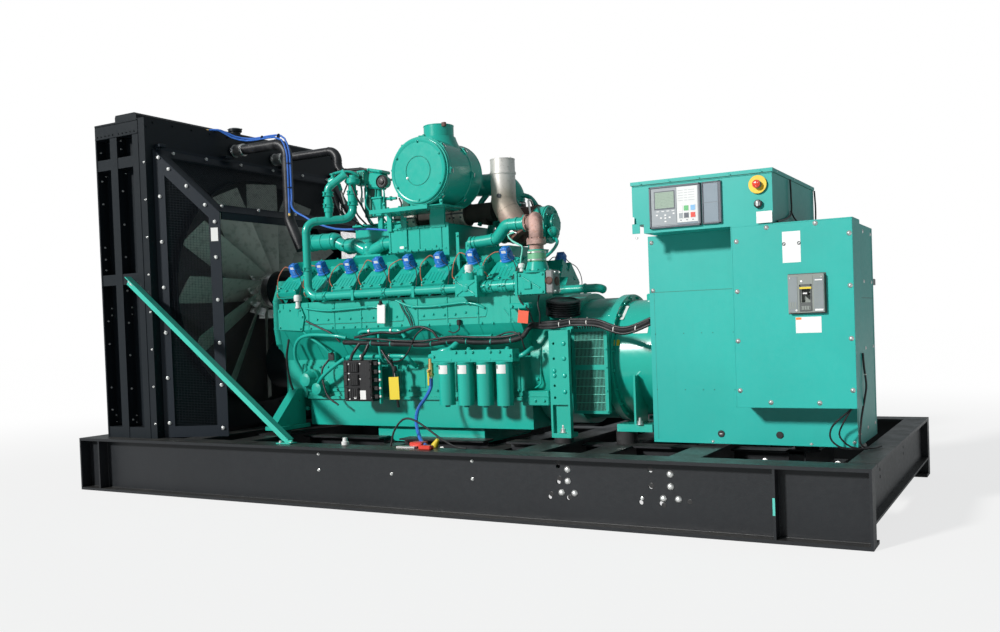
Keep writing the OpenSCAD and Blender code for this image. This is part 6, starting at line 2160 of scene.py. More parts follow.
        mould.tube(((0.665, -0.63, 1.0), (0.7, -0.635, 1.005), (0.735, -0.62, 1.03), (0.745, -0.57, 1.05)),
                   0.016, Coat.ENGINE, 12)
        mould.piece("filter_details")

    @staticmethod
    def wrap(mould: Mould, centre: tuple[float, float], r: float, start: float, end: float, z0: float,
             z1: float, coat: Coat) -> None:
        """Adds a label that wraps round an upright cylinder.

        Args:
            mould: where it goes.
            centre: the cylinder's x and y.
            r: its radius.
            start: the angle where the label starts.
            end: the angle where it ends.
            z0: its lower edge.
            z1: its upper edge.
            coat: its finish.
        """
        count = 8
        turns = [start + (end - start) * k / count for k in range(count + 1)]
        outer = [(centre[0] + (r + 0.0008) * math.cos(t), centre[1] + (r + 0.0008) * math.sin(t),
                  z0) for t in turns]
        inner = [(centre[0] + (r - 0.0005) * math.cos(t), centre[1] + (r - 0.0005) * math.sin(t),
                  z0) for t in reversed(turns)]
        mould.prism(outer + inner, (0, 0, z1 - z0), coat)

    def module(self) -> None:
        """Screws, plugs, fins, strips and labels of the control module."""
        mould = Mould()
        low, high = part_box("control_modules")
        y = low.y
        for x, z in ((-0.77, 0.961), (-0.664, 0.962), (-0.77, 0.89), (-0.77, 0.844), (-0.663, 0.847),
                     (-0.769, 0.763), (-0.767, 0.683)):
            mould.turned((x, y, max(z, 0.697)), NEAR, [(0.0075, 0.0), (0.007, 0.003), (0.003, 0.004)],
                         Coat.ZINC, 12, True)
        for z0, z1 in ((0.7, 0.785), (0.8, 0.885), (0.9, 0.975)):
            mould.slab((low.x + 0.008, y - 0.01, z0), (low.x + 0.04, y, z1), Coat.HANDLE, 0.004)
            mould.slab((low.x + 0.065, y - 0.014, z0), (low.x + 0.145, y, z1), Coat.MODULE, 0.004)
            for k in range(4):
                x = low.x + 0.072 + k * 0.019
                mould.slab((x, y - 0.018, z0 + 0.006), (x + 0.009, y - 0.013, z1 - 0.006), Coat.HANDLE,
                           0.002)
        mould.slab((-0.67, y - 0.001, 0.695), (-0.616, y, 0.763), Coat.LABEL, 0.0002)
        mould.slab((-0.716, y - 0.0155, 0.7), (-0.696, y - 0.014, 0.716), Coat.LABEL, 0.0002)
        mould.slab((-0.608, y - 0.004, 0.694), (-0.566, y, 0.976), Coat.MODULE, 0.002)
        mould.slab((-0.523, y + 0.04, 0.66), (-0.509, y + 0.07, 0.993), Coat.ENGINE, 0.002)
        for i in range(5):
            z = 0.7 + i * 0.062
            mould.slab((-0.552, y + 0.02, z), (-0.52, y + 0.058, z + 0.032), Coat.HANDLE, 0.003)
            mould.slab((-0.528, y + 0.034, z + 0.008), (-0.502, y + 0.045, z + 0.024), Coat.LABEL, 0.002)
            mould.tube(((-0.545, y + 0.04, z + 0.016), (-0.56, y + 0.02, z + 0.026),
                        (-0.575, y - 0.006, z + 0.03)), 0.006, Coat.WIRE, 8)
        for z in (0.71, 0.96):
            for x in (low.x + 0.01, high.x - 0.01):
                mould.bolt((x, -0.662, z), NEAR, 0.014)
        mould.piece("module_details")

    def build(self) -> None:
        """Makes every piece along the engine's sides."""
        self.bolts_and_seams()
        self.front()
        self.pipes()
        self.cables()
        self.tags()
        self.filters()
        self.module()


@dataclass
class GasTrain:
    """Unions, clamps, valves, regulators and small pipes of the gas train."""

    y: float = -0.65
    z: float = 1.486
    loop_r: float = 0.031
    throttle_x: float = 0.848
    housing_y: float = -0.724

    def union(self, mould: Mould, at: Point, way: Point, r: float, coat: Coat = Coat.ENGINE) -> None:
        """Adds a pipe union: two rims, a groove and a hexagon.

        Args:
            mould: where it goes.
            at: its middle.
            way: the pipe's direction.
            r: the pipe's radius.
            coat: its finish.
        """
        way = Vector(way).normalized()
        start = Vector(at) - way * 0.018
        mould.turned(start, way,
                     [(r, 0.0), (r + 0.007, 0.002), (r + 0.007, 0.009), (r + 0.003, 0.011),
                      (r + 0.003, 0.025), (r + 0.007, 0.027), (r + 0.007, 0.034), (r, 0.036)], coat, 20)
        mould.block(Mould.frame_at(Vector(at) + NEAR * (r + 0.009), way), (0.012, 0.012, 0.024), coat,
                    0.002)

    def loop(self) -> None:
        """Unions and brackets of the pipe loop on both sides."""
        mould = Mould()
        for side in SIDES:
            y = side * -self.y
            for x in (-0.98, -0.42, 0.1):
                self.union(mould, (x, y, self.z), AFT, self.loop_r)
            for x in (-0.7, -0.15):
                mould.slab((x - 0.012, y + side * 0.03, self.z - 0.05),
                           (x + 0.012, y + side * 0.036, self.z + 0.033), Coat.ENGINE, 0.002)
                mould.slab((x - 0.012, y - side * 0.05, self.z - 0.052),
                           (x + 0.012, y + side * 0.036, self.z - 0.044), Coat.ENGINE, 0.002)
                mould.bolt((x, y, self.z - 0.052), -UP, 0.014, Coat.ENGINE)
            self.union(mould, (-1.15, y, 1.7), UP, self.loop_r)
            low, top = Vector((-1.018, side * 0.528, 2.19)), Vector((-1.018, side * 0.528, 2.28))
            for at in (low, top):
                self.union(mould, at, UP, self.loop_r + 0.006)
            for z in (2.207, 2.29):
                self.union(mould, (-0.88, side * 0.4, z), UP, self.loop_r + 0.006)
        mould.piece("gas_unions")

    def regulator(self) -> None:
        """The regulators, solenoid valves and small pipes on top of the loop's two risers."""
        mould = Mould()
        for side in SIDES:
            s = side
            mould.turned((-0.835, s * 0.44, 2.345), UP,
                         [(0.04, 0.0), (0.052, 0.01), (0.052, 0.04), (0.04, 0.048), (0.034, 0.06),
                          (0.034, 0.072)], Coat.IRON, 24)
            mould.bolts(around((-0.835, s * 0.44, 2.385), 0.045, 6, 2), UP, 0.01, Coat.ENGINE)
            mould.slab((-0.886, s * 0.34, 2.35), (-0.802, s * 0.27, 2.468), Coat.IRON, 0.008)
            for k in range(5):
                x = -0.88 + k * 0.0165
                mould.slab((x, s * 0.345, 2.362), (x + 0.008, s * 0.335, 2.455), Coat.DARK_GREEN, 0.002)
            mould.block(Matrix.Translation((-0.71, s * 0.29, 2.375)) @ Matrix.Rotation(0.16, 4, "Y"),
                        (0.125, 0.1, 0.125), Coat.ENGINE, 0.012)
            mould.block(Matrix.Translation((-0.7, s * 0.29, 2.45)) @ Matrix.Rotation(0.22, 4, "Y"),
                        (0.148, 0.12, 0.026), Coat.ENGINE, 0.008)
            for dx in (-0.055, 0.055):
                mould.bolt((-0.7 + dx, s * 0.352, 2.448 - dx * 0.22), (0, s, 0), 0.012, Coat.ENGINE)
                mould.bolt((-0.71 + dx * 0.8, s * 0.342, 2.34), (0, s, 0), 0.012, Coat.ENGINE)
            at = Vector((-0.63, s * 0.36, 2.357))
            mould.turned(at - Vector((0, s, 0)) * 0.02, (0, s, 0),
                         [(0.05, 0.0), (0.05, 0.02), (0.043, 0.024), (0.043, 0.016),
                          (0.022, 0.016), (0.022, 0.026),
                          (0.01, 0.028)], Coat.HANDLE, 28)
            mould.turned(at - Vector((0, s, 0)) * 0.022, (0, -s, 0),
                         [(0.044, 0.0), (0.044, 0.05), (0.03, 0.06)], Coat.ENGINE, 28)
            mould.rod((-0.65, s * 0.3, 2.357), (-0.6, s * 0.29, 2.357), 0.026, Coat.ENGINE, 18)
            mould.slab((-0.757, s * 0.32, 2.1), (-0.667, s * 0.24, 2.247), Coat.ENGINE, 0.006)
            mould.slab((-0.77, s * 0.33, 2.235), (-0.655, s * 0.23, 2.25), Coat.ENGINE, 0.003)
            mould.rod((-0.712, s * 0.28, 2.247), (-0.712, s * 0.28, 2.33), 0.024, Coat.ENGINE, 16)
            mould.rod((-0.667, s * 0.28, 2.232), (-0.54, s * 0.29, 2.226), 0.011, Coat.ENGINE, 12)
            mould.turned((-0.6, s * 0.286, 2.229), AFT, [(0.02, 0.0), (0.02, 0.012), (0.014, 0.016)],
                         Coat.ENGINE, 6)
            mould.slab((-0.735, s * 0.28, 1.98), (-0.69, s * 0.25, 2.11), Coat.ENGINE, 0.004)
            mould.turned((-1.012, s * 0.47, 2.385), (1.0, -s * 0.2, 0.35),
                         [(0.026, -0.03), (0.034, -0.02), (0.034, 0.02), (0.026, 0.03)], Coat.IRON, 20)
            mould.turned((-1.012, s * 0.47, 2.41), UP,
                         [(0.014, 0.0), (0.014, 0.02), (0.022, 0.024), (0.022, 0.034), (0.008, 0.038)],
                         Coat.IRON, 14)
            mould.rod((-0.955, s * 0.45, 2.32), (-0.917, s * 0.45, 2.2), 0.008, Coat.CASTING_GREY, 10)
            mould.rod((-0.968, s * 0.45, 2.36), (-0.95, s * 0.45, 2.31), 0.014, Coat.ENGINE, 10)
            mould.tube(((-1.01, s * 0.47, 2.44), (-0.95, s * 0.44, 2.455), (-0.88, s * 0.4, 2.45),
                        (-0.84, s * 0.36, 2.42)), 0.012, Coat.ENGINE, 10)
            mould.tube(((-1.04, s * 0.17, 2.04), (-1.12, s * 0.26, 2.18), (-1.14, s * 0.32, 2.38),
                        (-1.09, s * 0.31, 2.474), (-1.0, s * 0.3, 2.482), (-0.88, s * 0.3, 2.484),
                        (-0.8, s * 0.3, 2.472), (-0.76, s * 0.3, 2.43)), 0.0095, Coat.WIRE, 10)
            mould.tube(((-0.845, s * 0.45, 2.34), (-0.8, s * 0.46, 2.25), (-0.77, s * 0.4, 2.14),
                        (-0.8, s * 0.3, 2.06), (-0.83, s * 0.19, 2.04)), 0.007, Coat.WIRE, 8)
            mould.tube(((-0.9, s * 0.43, 2.36), (-0.94, s * 0.45, 2.25), (-0.98, s * 0.4, 2.14),
                        (-0.95, s * 0.28, 2.08), (-0.94, s * 0.19, 2.045)), 0.006, Coat.WIRE, 8)
            mould.tube(((-0.8, s * 0.34, 2.36), (-0.77, s * 0.36, 2.28), (-0.785, s * 0.36, 2.2),
                        (-0.76, s * 0.32, 2.12)), 0.008, Coat.ENGINE, 8)
            mould.slab((-0.535, s * 0.345, 2.09), (-0.62, s * 0.25, 2.145), Coat.ENGINE, 0.004)
            for x, z in ((-0.87, 2.3), (-0.93, 2.26), (-0.735, 2.29), (-0.655, 2.26)):
                mould.tube(((x, s * 0.3, z + 0.06), (x + 0.015, s * 0.31, z),
                            (x - 0.01, s * 0.28, z - 0.11), (x + 0.02, s * 0.18, 2.05)), 0.007,
                           Coat.ENGINE if x > -0.9 else Coat.WIRE, 8)
            # A dark green block among the regulator's parts stands for the shade there: painted shade.
            mould.slab((-0.845, s * 0.3, 2.1), (-0.775, s * 0.22, 2.34), Coat.DARK_GREEN, 0.006)
            mould.slab((-0.85, s * 0.345, 2.215), (-0.818, s * 0.339, 2.252), Coat.LABEL, 0.001)
        mould.piece("gas_regulators")

    def valve(self) -> None:
        """Each valve body's ribs, drum and cap, and the near throttle housing's parts."""
        mould = Mould()
        for side in SIDES:
            out = Vector((0, side, 0))
            face = side * 0.712
            for a, b in (((0.245, 1.44), (0.385, 1.524)), ((0.245, 1.524), (0.385, 1.44))):
                mould.rod((a[0], face, a[1]), (b[0], face, b[1]), 0.0065, Coat.ENGINE, 8)
            mould.turned((0.315, face, 1.482), out,
                         [(0.026, 0.0), (0.026, 0.008), (0.018, 0.012), (0.008, 0.013)], Coat.ENGINE, 20)
            for x in (0.242, 0.388):
                for z in (1.434, 1.527):
                    mould.bolt((x, face, z), out, 0.014, Coat.ENGINE)
            mould.bolts(around((0.314, side * 0.657, 1.585), 0.046, 8, 2, 0.2), UP, 0.012, Coat.ENGINE)
            mould.bolts(around((0.2145, side * 0.65, self.z), 0.038, 8, 0, 0.2), FORE, 0.009, Coat.ENGINE)
            mould.turned((0.314, side * 0.657, 1.584), UP,
                         [(0.034, 0.0), (0.034, 0.006), (0.027, 0.009), (0.027, 0.022), (0.031, 0.025),
                          (0.031, 0.052), (0.027, 0.06), (0.02, 0.062)],
                         Coat.CAP_WHITE, 24)
            mould.turned((0.405, side * 0.63, 1.585), UP,
                         [(0.015, -0.02), (0.015, 0.03), (0.024, 0.034), (0.024, 0.046), (0.012, 0.05)],
                         Coat.ENGINE, 14)
        for x in (0.44, 0.488, 0.568, 0.6, 0.69):
            self.union(mould, (x, self.y, self.z), AFT, 0.038)
        mould.slab((0.47, -0.692, 1.47), (0.492, -0.706, 1.5), Coat.ENGINE, 0.003)
        for z in (1.426, 1.56):
            for y in (-0.72, -0.585):
                mould.bolt((0.715, y, z), FORE, 0.015, Coat.ENGINE)
        face = self.housing_y
        for x in (0.75, 0.92):
            for z in (1.43, 1.546):
                mould.bolt((x, face, z), NEAR, 0.015, Coat.ENGINE)
        mould.rod((0.775, face, 1.53), (0.9, face, 1.455), 0.006, Coat.ENGINE, 8)
        mould.slab((0.78, face, 1.45), (0.84, face - 0.012, 1.5), Coat.ENGINE, 0.004)
        mould.turned((self.throttle_x, self.y, 1.5595), UP, [(0.098, 0.0), (0.098, 0.01), (0.088, 0.014)],
                     Coat.ENGINE, 36)
        mould.bolts(around((self.throttle_x, self.y, 1.57), 0.09, 10, 2, 0.15), UP, 0.014, Coat.ENGINE)
        mould.turned((self.throttle_x, self.y, 1.632), UP,
                     [(0.0585, 0.0), (0.0625, 0.004), (0.0625, 0.07), (0.0585, 0.076)], Coat.SLEEVE_GREEN,
                     36)
        for z in (1.64, 1.69):
            mould.band((self.throttle_x, self.y, z), UP, 0.0628, 0.0012, 0.01, Coat.STEEL, 36, 0.001)
            mould.slab((0.815, self.y - 0.062, z), (0.838, self.y - 0.075, z + 0.01), Coat.STEEL, 0.002)
        mould.turned((0.735, -0.66, 1.574), UP,
                     [(0.015, 0.0), (0.015, 0.02), (0.023, 0.025), (0.024, 0.048), (0.015, 0.056)],
                     Coat.CAP_WHITE, 18)
        mould.slab((0.938, -0.715, 1.415), (0.992, -0.6, 1.57), Coat.CASTING_GREY, 0.008)
        mould.turned((0.992, -0.655, 1.495), AFT, [(0.03, 0.0), (0.03, 0.006), (0.024, 0.008)],
                     Coat.TURBINE, 24)
        mould.turned((0.965, -0.715, 1.5), NEAR,
                     [(0.026, 0.0), (0.026, 0.006), (0.02, 0.009), (0.018, 0.004)], Coat.TURBINE, 24)
        for z in (1.43, 1.555):
            mould.bolt((0.992, -0.69, z), AFT, 0.014)
            mould.bolt((0.992, -0.62, z), AFT, 0.014)
        mould.tube(((0.6, -0.5, 1.86), (0.554, -0.51, 1.843), (0.59, -0.515, 1.8), (0.65, -0.52, 1.768),
                    (0.672, -0.52, 1.745), (0.66, -0.53, 1.66), (0.68, -0.57, 1.6)), 0.007,
                   Coat.PALE_GREEN, 8)
        mould.piece("gas_valves")

    def duct(self) -> None:
        """The black corrugated duct on the flywheel housing."""
        mould = Mould()
        profile = []
        for k in range(7):
            profile += [(0.108, 0.016 * k), (0.122, 0.016 * k + 0.005), (0.122, 0.016 * k + 0.009),
                        (0.108, 0.016 * k + 0.014)]
        mould.turned((0.875, -0.33, 1.27), (0.12, -0.18, 1.0),
                     [*profile, (0.095, 0.112), (0.092, 0.104), (0.02, 0.1)], Coat.HOSE, 36)
        mould.piece("housing_duct")

    def build(self) -> None:
        """Makes every piece of the gas train."""
        self.loop()
        self.regulator()
        self.valve()
        self.duct()


@dataclass
class AirSide:
    """Lid, clips, bands and flare of the air cleaner, its shelf's bolts, and the charge air parts."""

    x: float = -0.097
    z: float = 2.35
    r: float = 0.245
    shelf_z: float = 2.105
    charge_y: float = 0.25

    def cleaner(self) -> None:
        """The lid's embossed rings and screws, the bands, the clips and the neck's flare."""
        mould = Mould()
        low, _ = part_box("air_cleaner")
        at = Vector((self.x, low.y, self.z))
        mould.turned(at + FAR * 0.001, NEAR,
                     [(0.233, 0.0), (0.231, 0.004), (0.222, 0.007), (0.214, 0.005), (0.205, 0.0012)],
                     Coat.ENGINE, 72)
        mould.turned(at + FAR * 0.001, NEAR,
                     [(0.111, 0.0), (0.108, 0.003), (0.103, 0.003), (0.1, 0.0015), (0.098, 0.0015)],
                     Coat.ENGINE, 56)
        # A thin dark ring in the embossed ring's groove is painted shade.
        ring = around(at + NEAR * 0.0032, 0.1045, 48, 1)
        mould.tube([*ring, ring[0]], 0.0013, Coat.DARK_GREEN, 6)
        mould.bolts(around(at + NEAR * 0.004, 0.212, 6, 1, math.pi / 2), NEAR, 0.014, Coat.ENGINE)
        mould.bolt(at + Vector((-0.095, 0, -0.045)), NEAR, 0.013, Coat.ZINC)
        for y, wide, lift in ((-0.604, 0.02, 0.006), (-0.575, 0.006, 0.002), (-0.3, 0.014, 0.005),
                              (-0.15, 0.008, 0.003)):
            mould.band((self.x, y, self.z), FAR, self.r, lift, wide, Coat.ENGINE, 84)
        for k in range(8):
            turn = math.radians(-4 + 45 * k)
            way = Vector((math.cos(turn), 0, math.sin(turn)))
            for y in (-0.592, -0.294):
                if way.z > 0.9 and y > -0.4:
                    continue
                base = Vector((self.x, y, self.z)) + way * (self.r + 0.008)
                place = Mould.frame_at(base, way)
                mould.block(place, (0.026, 0.052, 0.008), Coat.ENGINE, 0.002)
                mould.block(place @ Matrix.Translation((0, -0.014, 0.008)), (0.02, 0.012, 0.008),
                            Coat.ENGINE, 0.002)
                hinge = base + FAR * 0.022 + way * 0.004
                half = way.cross(FAR) * 0.014
                mould.rod(hinge - half, hinge + half, 0.004, Coat.STEEL, 8)
        neck = Vector((self.x, -0.34, 2.49))
        mould.turned(neck, UP, [(0.185, 0.0), (0.172, 0.03), (0.15, 0.07), (0.134, 0.105), (0.1245, 0.135)],
                     Coat.ENGINE, 60, True)
        mould.turned(neck + UP * 0.218, UP,
                     [(0.112, 0.0), (0.1145, 0.001), (0.1145, 0.006), (0.1118, 0.007)], Coat.ENGINE, 60)
        # A thin black disc over the neck's opening stands for the shaded inside of the neck: painted shade.
        mould.turned(neck + UP * 0.2252, UP, [(0.1085, 0.0), (0.1085, 0.0004), (0.02, 0.0004)], Coat.HANDLE,
                     60)
        mould.slab((-0.02, -0.424, 2.69), (0.012, -0.4, 2.722), Coat.TURBINE, 0.004)
        mould.piece("cleaner_details")

    def shelf(self) -> None:
        """Bolts, straps, gussets and posts of the air cleaner's shelf."""
        mould = Mould()
        top = self.shelf_z
        for x in (-0.4, -0.3, -0.15, -0.06):
            for y in (-0.6, -0.42, -0.24):
                mould.bolt((x, y, top), UP, 0.016, Coat.ENGINE)
        mould.slab((-0.56, -0.622, top - 0.03), (-0.04, -0.618, top), Coat.ENGINE, 0.001)
        for x, z in ((-0.44, 2.155), (0.065, 2.135), (-0.19, 2.15)):
            mould.slab((x - 0.012, -0.6, top - 0.005), (x + 0.012, -0.592, z), Coat.ENGINE, 0.002)
            mould.bolt((x, -0.6, z - 0.015), NEAR, 0.014, Coat.ENGINE)
        mould.slab((-0.045, -0.6, top - 0.01), (0.078, -0.3, top - 0.003), Coat.ENGINE, 0.002)
        for x0, x1, y, z0, z1 in ((-0.175, -0.073, -0.386, 1.792, 2.06), (-0.068, -0.01, -0.386, 1.7, 1.99),
                                  (0.046, 0.074, -0.38, 1.6, 1.91),
                                  (0.125, 0.16, -0.375, 1.69, 1.835), (-0.42, -0.385, -0.386, 1.8, 2.06),
                                  (-0.47, -0.44, -0.34, 1.95, 2.08)):
            mould.slab((x0, y - 0.006, z0), (x1, y, z1), Coat.ENGINE, 0.002)
            mould.bolt(((x0 + x1) / 2, y - 0.006, z1 - 0.025), NEAR, 0.014, Coat.ENGINE)
            mould.bolt(((x0 + x1) / 2, y - 0.006, z0 + 0.03), NEAR, 0.014, Coat.ENGINE)
        mould.slab((0.052, -0.38, 1.7), (0.068, -0.2, 1.708), Coat.ENGINE, 0.001)
        mould.piece("shelf_posts")

    def cooler(self) -> None:
        """The aftercooler's flanges, seams and bolts, the manifold's bolts and labels, the pipes' bands."""
        mould = Mould()
        low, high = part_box("aftercooler")
        for side in SIDES:
            y = side * high.y
            for z in (low.z + 0.004, high.z - 0.02):
                mould.slab((low.x - 0.004, y - side * 0.01, z),
                           (high.x + 0.004, y + side * 0.008, z + 0.016), Coat.ENGINE, 0.002)
            for x in (low.x + 0.002, (low.x + high.x) / 2, high.x - 0.018):
                mould.slab((x, y - side * 0.01, low.z + 0.02), (x + 0.016, y + side * 0.006, high.z - 0.02),
                           Coat.ENGINE, 0.002)
            for i in range(9):
                x = low.x + 0.02 + i * (high.x - low.x - 0.04) / 8
                for z in (low.z + 0.012, high.z - 0.012):
                    mould.bolt((x, y + side * 0.008, z), (0, side, 0), 0.013, Coat.ENGINE)
            mould.slab((-0.462, y, 1.822), (-0.388, y + side * 0.0012, 1.842), Coat.LABEL, 0.0003)
            mould.bolts([(-1.46 + i * 0.165, side * 0.3, 1.79) for i in range(12)], UP, 0.014, Coat.ENGINE)
            for i in range(8):
                x = -1.455 + i * 0.279
                if x < 0.4:
                    mould.slab((x - 0.05, side * 0.245, 1.655), (x + 0.05, side * 0.285, 1.745),
                               Coat.ENGINE, 0.01)
            pipe_y = side * self.charge_y
            for x in (-1.405, -1.31, -1.21):
                mould.band((x, pipe_y, 1.945), AFT, 0.065, 0.005, 0.016, Coat.ENGINE)
            for x in (-1.085, -0.985):
                mould.band((x, pipe_y, 1.895), AFT, 0.049, 0.006, 0.016, Coat.ENGINE, 28)
                mould.bolt((x + 0.008, side * 0.307, 1.895), (0, side, 0), 0.012, Coat.ENGINE)
            for x in (-0.7, -0.6):
                mould.band((x, pipe_y, 1.885), AFT, 0.046, 0.006, 0.016, Coat.ENGINE, 28)
            mould.turned((-1.442, pipe_y, 1.945), FORE,
                         [(0.072, -0.008), (0.072, 0.002), (0.05, 0.008), (0.01, 0.01)], Coat.ENGINE, 32)
            mould.bolts([(x, side * 0.302, 1.806) for x in (-0.94, -0.8, -0.86)], UP, 0.014, Coat.ENGINE)
        mould.block(Matrix.Translation((-0.8, 0.0, 1.925)), (0.49, 0.36, 0.25), Coat.ENGINE, 0.014)
        mould.block(Matrix.Translation((-0.8, 0.0, 2.052)), (0.51, 0.39, 0.016), Coat.ENGINE, 0.004)
        for side in SIDES:
            for i in range(7):
                mould.bolt((-1.03 + i * 0.077, side * 0.172, 2.06), UP, 0.014, Coat.ENGINE)
                mould.bolt((-1.02 + i * 0.073, side * 0.18, 2.025), (0, side, 0), 0.012, Coat.ENGINE)
            mould.slab((-0.7, side * 0.186, 1.905), (-0.64, side * 0.18, 1.99), Coat.LABEL, 0.0004)
        mould.piece("charge_air_details")

    def pads(self) -> None:
        """Beige heat pads with waists round the manifold, in two pairs, with their bands and bolts."""
        mould = Mould()
        for x0, x1 in ((-0.686, -0.588), (-0.577, -0.48), (-0.236, -0.144), (-0.134, -0.044)):
            wide = x1 - x0
            # The pads' beige finish is brightened as painted light.
            mould.turned((x0, -0.04, 2.08), AFT,
                         [(0.078, 0.0), (0.102, 0.004), (0.1, wide * 0.3), (0.09, wide * 0.5),
                          (0.1, wide * 0.7), (0.102, wide - 0.004), (0.078, wide)], Coat.PAD_BEIGE, 28)
            mould.slab((x0 - 0.002, -0.146, 2.075), (x1 + 0.002, -0.128, 2.087), Coat.INK, 0.003)
            for dx in (0.014, wide - 0.014):
                for dz in (0.022, -0.03):
                    mould.bolt((x0 + dx, -0.137, 2.08 + dz), NEAR, 0.011, Coat.INK)
        mould.piece("manifold_pads")

    def build(self) -> None:
        """Makes every piece of the air side."""
        self.cleaner()
        self.shelf()
        self.cooler()
        self.pads()


@dataclass
class ExhaustSide:
    """Bands, welds and bolts of the exhaust elbow, the turbocharger and the riser."""

    axis: tuple[float, float] = (0.13, 1.962)

    def build(self) -> None:
        """Makes the bands, bolts, oil pipes and weld beads."""
        mould = Mould()
        end, way = Vector((0.448, -0.12, 1.9)), Vector((0.133, 0.0, -0.21)).normalized()
        mould.turned(end + way * -0.012, way,
                     [(0.0925, 0.0), (0.11, 0.003), (0.1135, 0.009), (0.1135, 0.018), (0.11, 0.024),
                      (0.103, 0.027)], Coat.TURBINE, 44)
        mould.block(Mould.frame_at(end + Vector((-0.01, -0.118, 0.0)), NEAR), (0.03, 0.022, 0.02),
                    Coat.ZINC, 0.003)
        mould.rod(end + Vector((-0.04, -0.118, 0.02)), end + Vector((0.03, -0.118, -0.02)), 0.005,
                  Coat.ZINC, 8)
        mould.turned((0.326, -0.2115, 2.17), (0.05, -1.0, 0.0),
                     [(0.017, -0.012), (0.017, 0.006), (0.011, 0.008), (0.008, 0.002)], Coat.INK, 18)
        mould.turned((0.315, -0.12, 2.4415), UP,
                     [(0.0922, 0.0), (0.0938, 0.001), (0.0938, 0.007), (0.0915, 0.0084)], Coat.EXHAUST, 44)
        for x, y in ((0.4, -0.155), (0.235, -0.08)):
            mould.slab((x - 0.004, y - 0.004, 2.448), (x + 0.004, y + 0.004, 2.456), Coat.EXHAUST, 0.001)
        mould.piece("elbow_details")
        iron = Mould()
        y, z = self.axis
        for x, r, wide in ((0.322, 0.118, 0.012), (0.476, 0.157, 0.01)):
            iron.band((x, y, z), AFT, r - 0.006, 0.006, wide, Coat.TURBINE, 48)
        iron.bolts(around((0.4795, y, z), 0.128, 12, 0), AFT, 0.018, Coat.TURBINE)
        iron.bolts(around((0.33, y, z), 0.135, 12, 0), FORE, 0.018, Coat.TURBINE)
        iron.bolts(around((0.848, -0.65, 1.786), 0.056, 6, 2, 0.3), UP, 0.014, Coat.RUST)
        iron.bolts(around((0.652, -0.39, 1.93), 0.052, 6, 0, 0.3), AFT, 0.012, Coat.RUST)
        iron.piece("turbine_bolts")
        green = Mould()
        for x, r, wide in ((0.16, 0.11, 0.012), (0.225, 0.11, 0.014), (0.481, 0.14, 0.01),
                           (0.56, 0.14, 0.012), (0.584, 0.08, 0.008)):
            green.band((x, y, z), AFT, r, 0.006, wide, Coat.IRON, 48)
        green.turned((0.16, y, z), FORE, [(0.104, 0.0), (0.085, 0.012), (0.04, 0.016), (0.01, 0.017)],
                     Coat.IRON, 40)
        green.turned((0.6195, y, z), AFT, [(0.074, 0.0), (0.068, 0.006), (0.03, 0.009)], Coat.IRON, 36)
        green.bolts(around((0.585, y, z), 0.118, 8, 0, 0.2), AFT, 0.016, Coat.ENGINE)
        green.bolts(around((0.62, y, z), 0.062, 8, 0, 0.2), AFT, 0.012, Coat.ENGINE)
        for at, to in (((0.2, -0.365, 1.824), (1, 0, 0.065)), ((0.345, -0.365, 1.834), (1, 0, 0.065)),
                       ((0.56, -0.39, 1.93), AFT)):
            green.band(at, to, 0.043, 0.006, 0.016, Coat.ENGINE, 30)
        for at, way in (((0.24, 0.18, 2.16), -UP), ((0.1, 0.18, 2.32), AFT)):
            green.band(at, way, 0.087, 0.006, 0.058, Coat.HOSE, 40, 0.003)
            for shift in (0.008, 0.042):
                green.band(Vector(at) + way * shift, way, 0.0932, 0.0013, 0.01, Coat.STEEL, 40, 0.001)
        green.tube(((0.43, 0.13, 2.112), (0.43, 0.1, 2.15), (0.46, 0.0, 2.14), (0.52, -0.1, 2.06),
                    (0.56, -0.16, 1.95), (0.55, -0.18, 1.8)), 0.008, Coat.STEEL, 8)
        green.tube(((0.62, 0.06, 1.86), (0.68, 0.02, 1.82), (0.69, -0.1, 1.74), (0.62, -0.2, 1.66),
                    (0.5, -0.24, 1.6)), 0.012, Coat.ENGINE, 10)
        green.tube(((0.53, 0.0, 1.85), (0.56, -0.06, 1.78), (0.6, -0.16, 1.72), (0.66, -0.22, 1.6),
                    (0.7, -0.25, 1.5)), 0.01, Coat.WIRE, 8)
        for path, r in ((((0.2, 0.05, 2.02), (0.05, 0.02, 2.05), (-0.02, 0.1, 2.16), (0.02, 0.2, 2.28)),
                         0.022),
                        (((0.46, 0.16, 2.1), (0.36, 0.18, 2.2), (0.22, 0.1, 2.2), (0.05, 0.06, 2.1),
                          (-0.02, 0.08, 2.0)), 0.018),
                        (((0.28, 0.24, 2.04), (0.14, 0.26, 2.1), (0.0, 0.26, 2.02), (-0.02, 0.24, 1.93)),
                         0.03),
                        (((0.36, 0.05, 2.12), (0.2, 0.14, 2.26), (0.06, 0.2, 2.25), (0.0, 0.24, 2.14),
                          (-0.02, 0.26, 2.02)), 0.012)):
            green.tube(path, r, Coat.ENGINE, 12)
        green.slab((0.02, 0.215, 1.99), (0.3, 0.223, 2.19), Coat.ENGINE, 0.003)
        for x in (0.05, 0.16, 0.27):
            green.slab((x - 0.006, 0.2, 1.99), (x + 0.006, 0.216, 2.19), Coat.ENGINE, 0.002)
        green.tube(((0.8, -0.2, 1.452), (0.95, -0.2, 1.452), (1.08, -0.2, 1.452), (1.105, -0.19, 1.448),
                    (1.112, -0.16, 1.44)), 0.03, Coat.IRON, 16)
        green.band((0.985, -0.2, 1.452), AFT, 0.03, 0.007, 0.014, Coat.IRON, 24)
        green.piece("turbo_details")


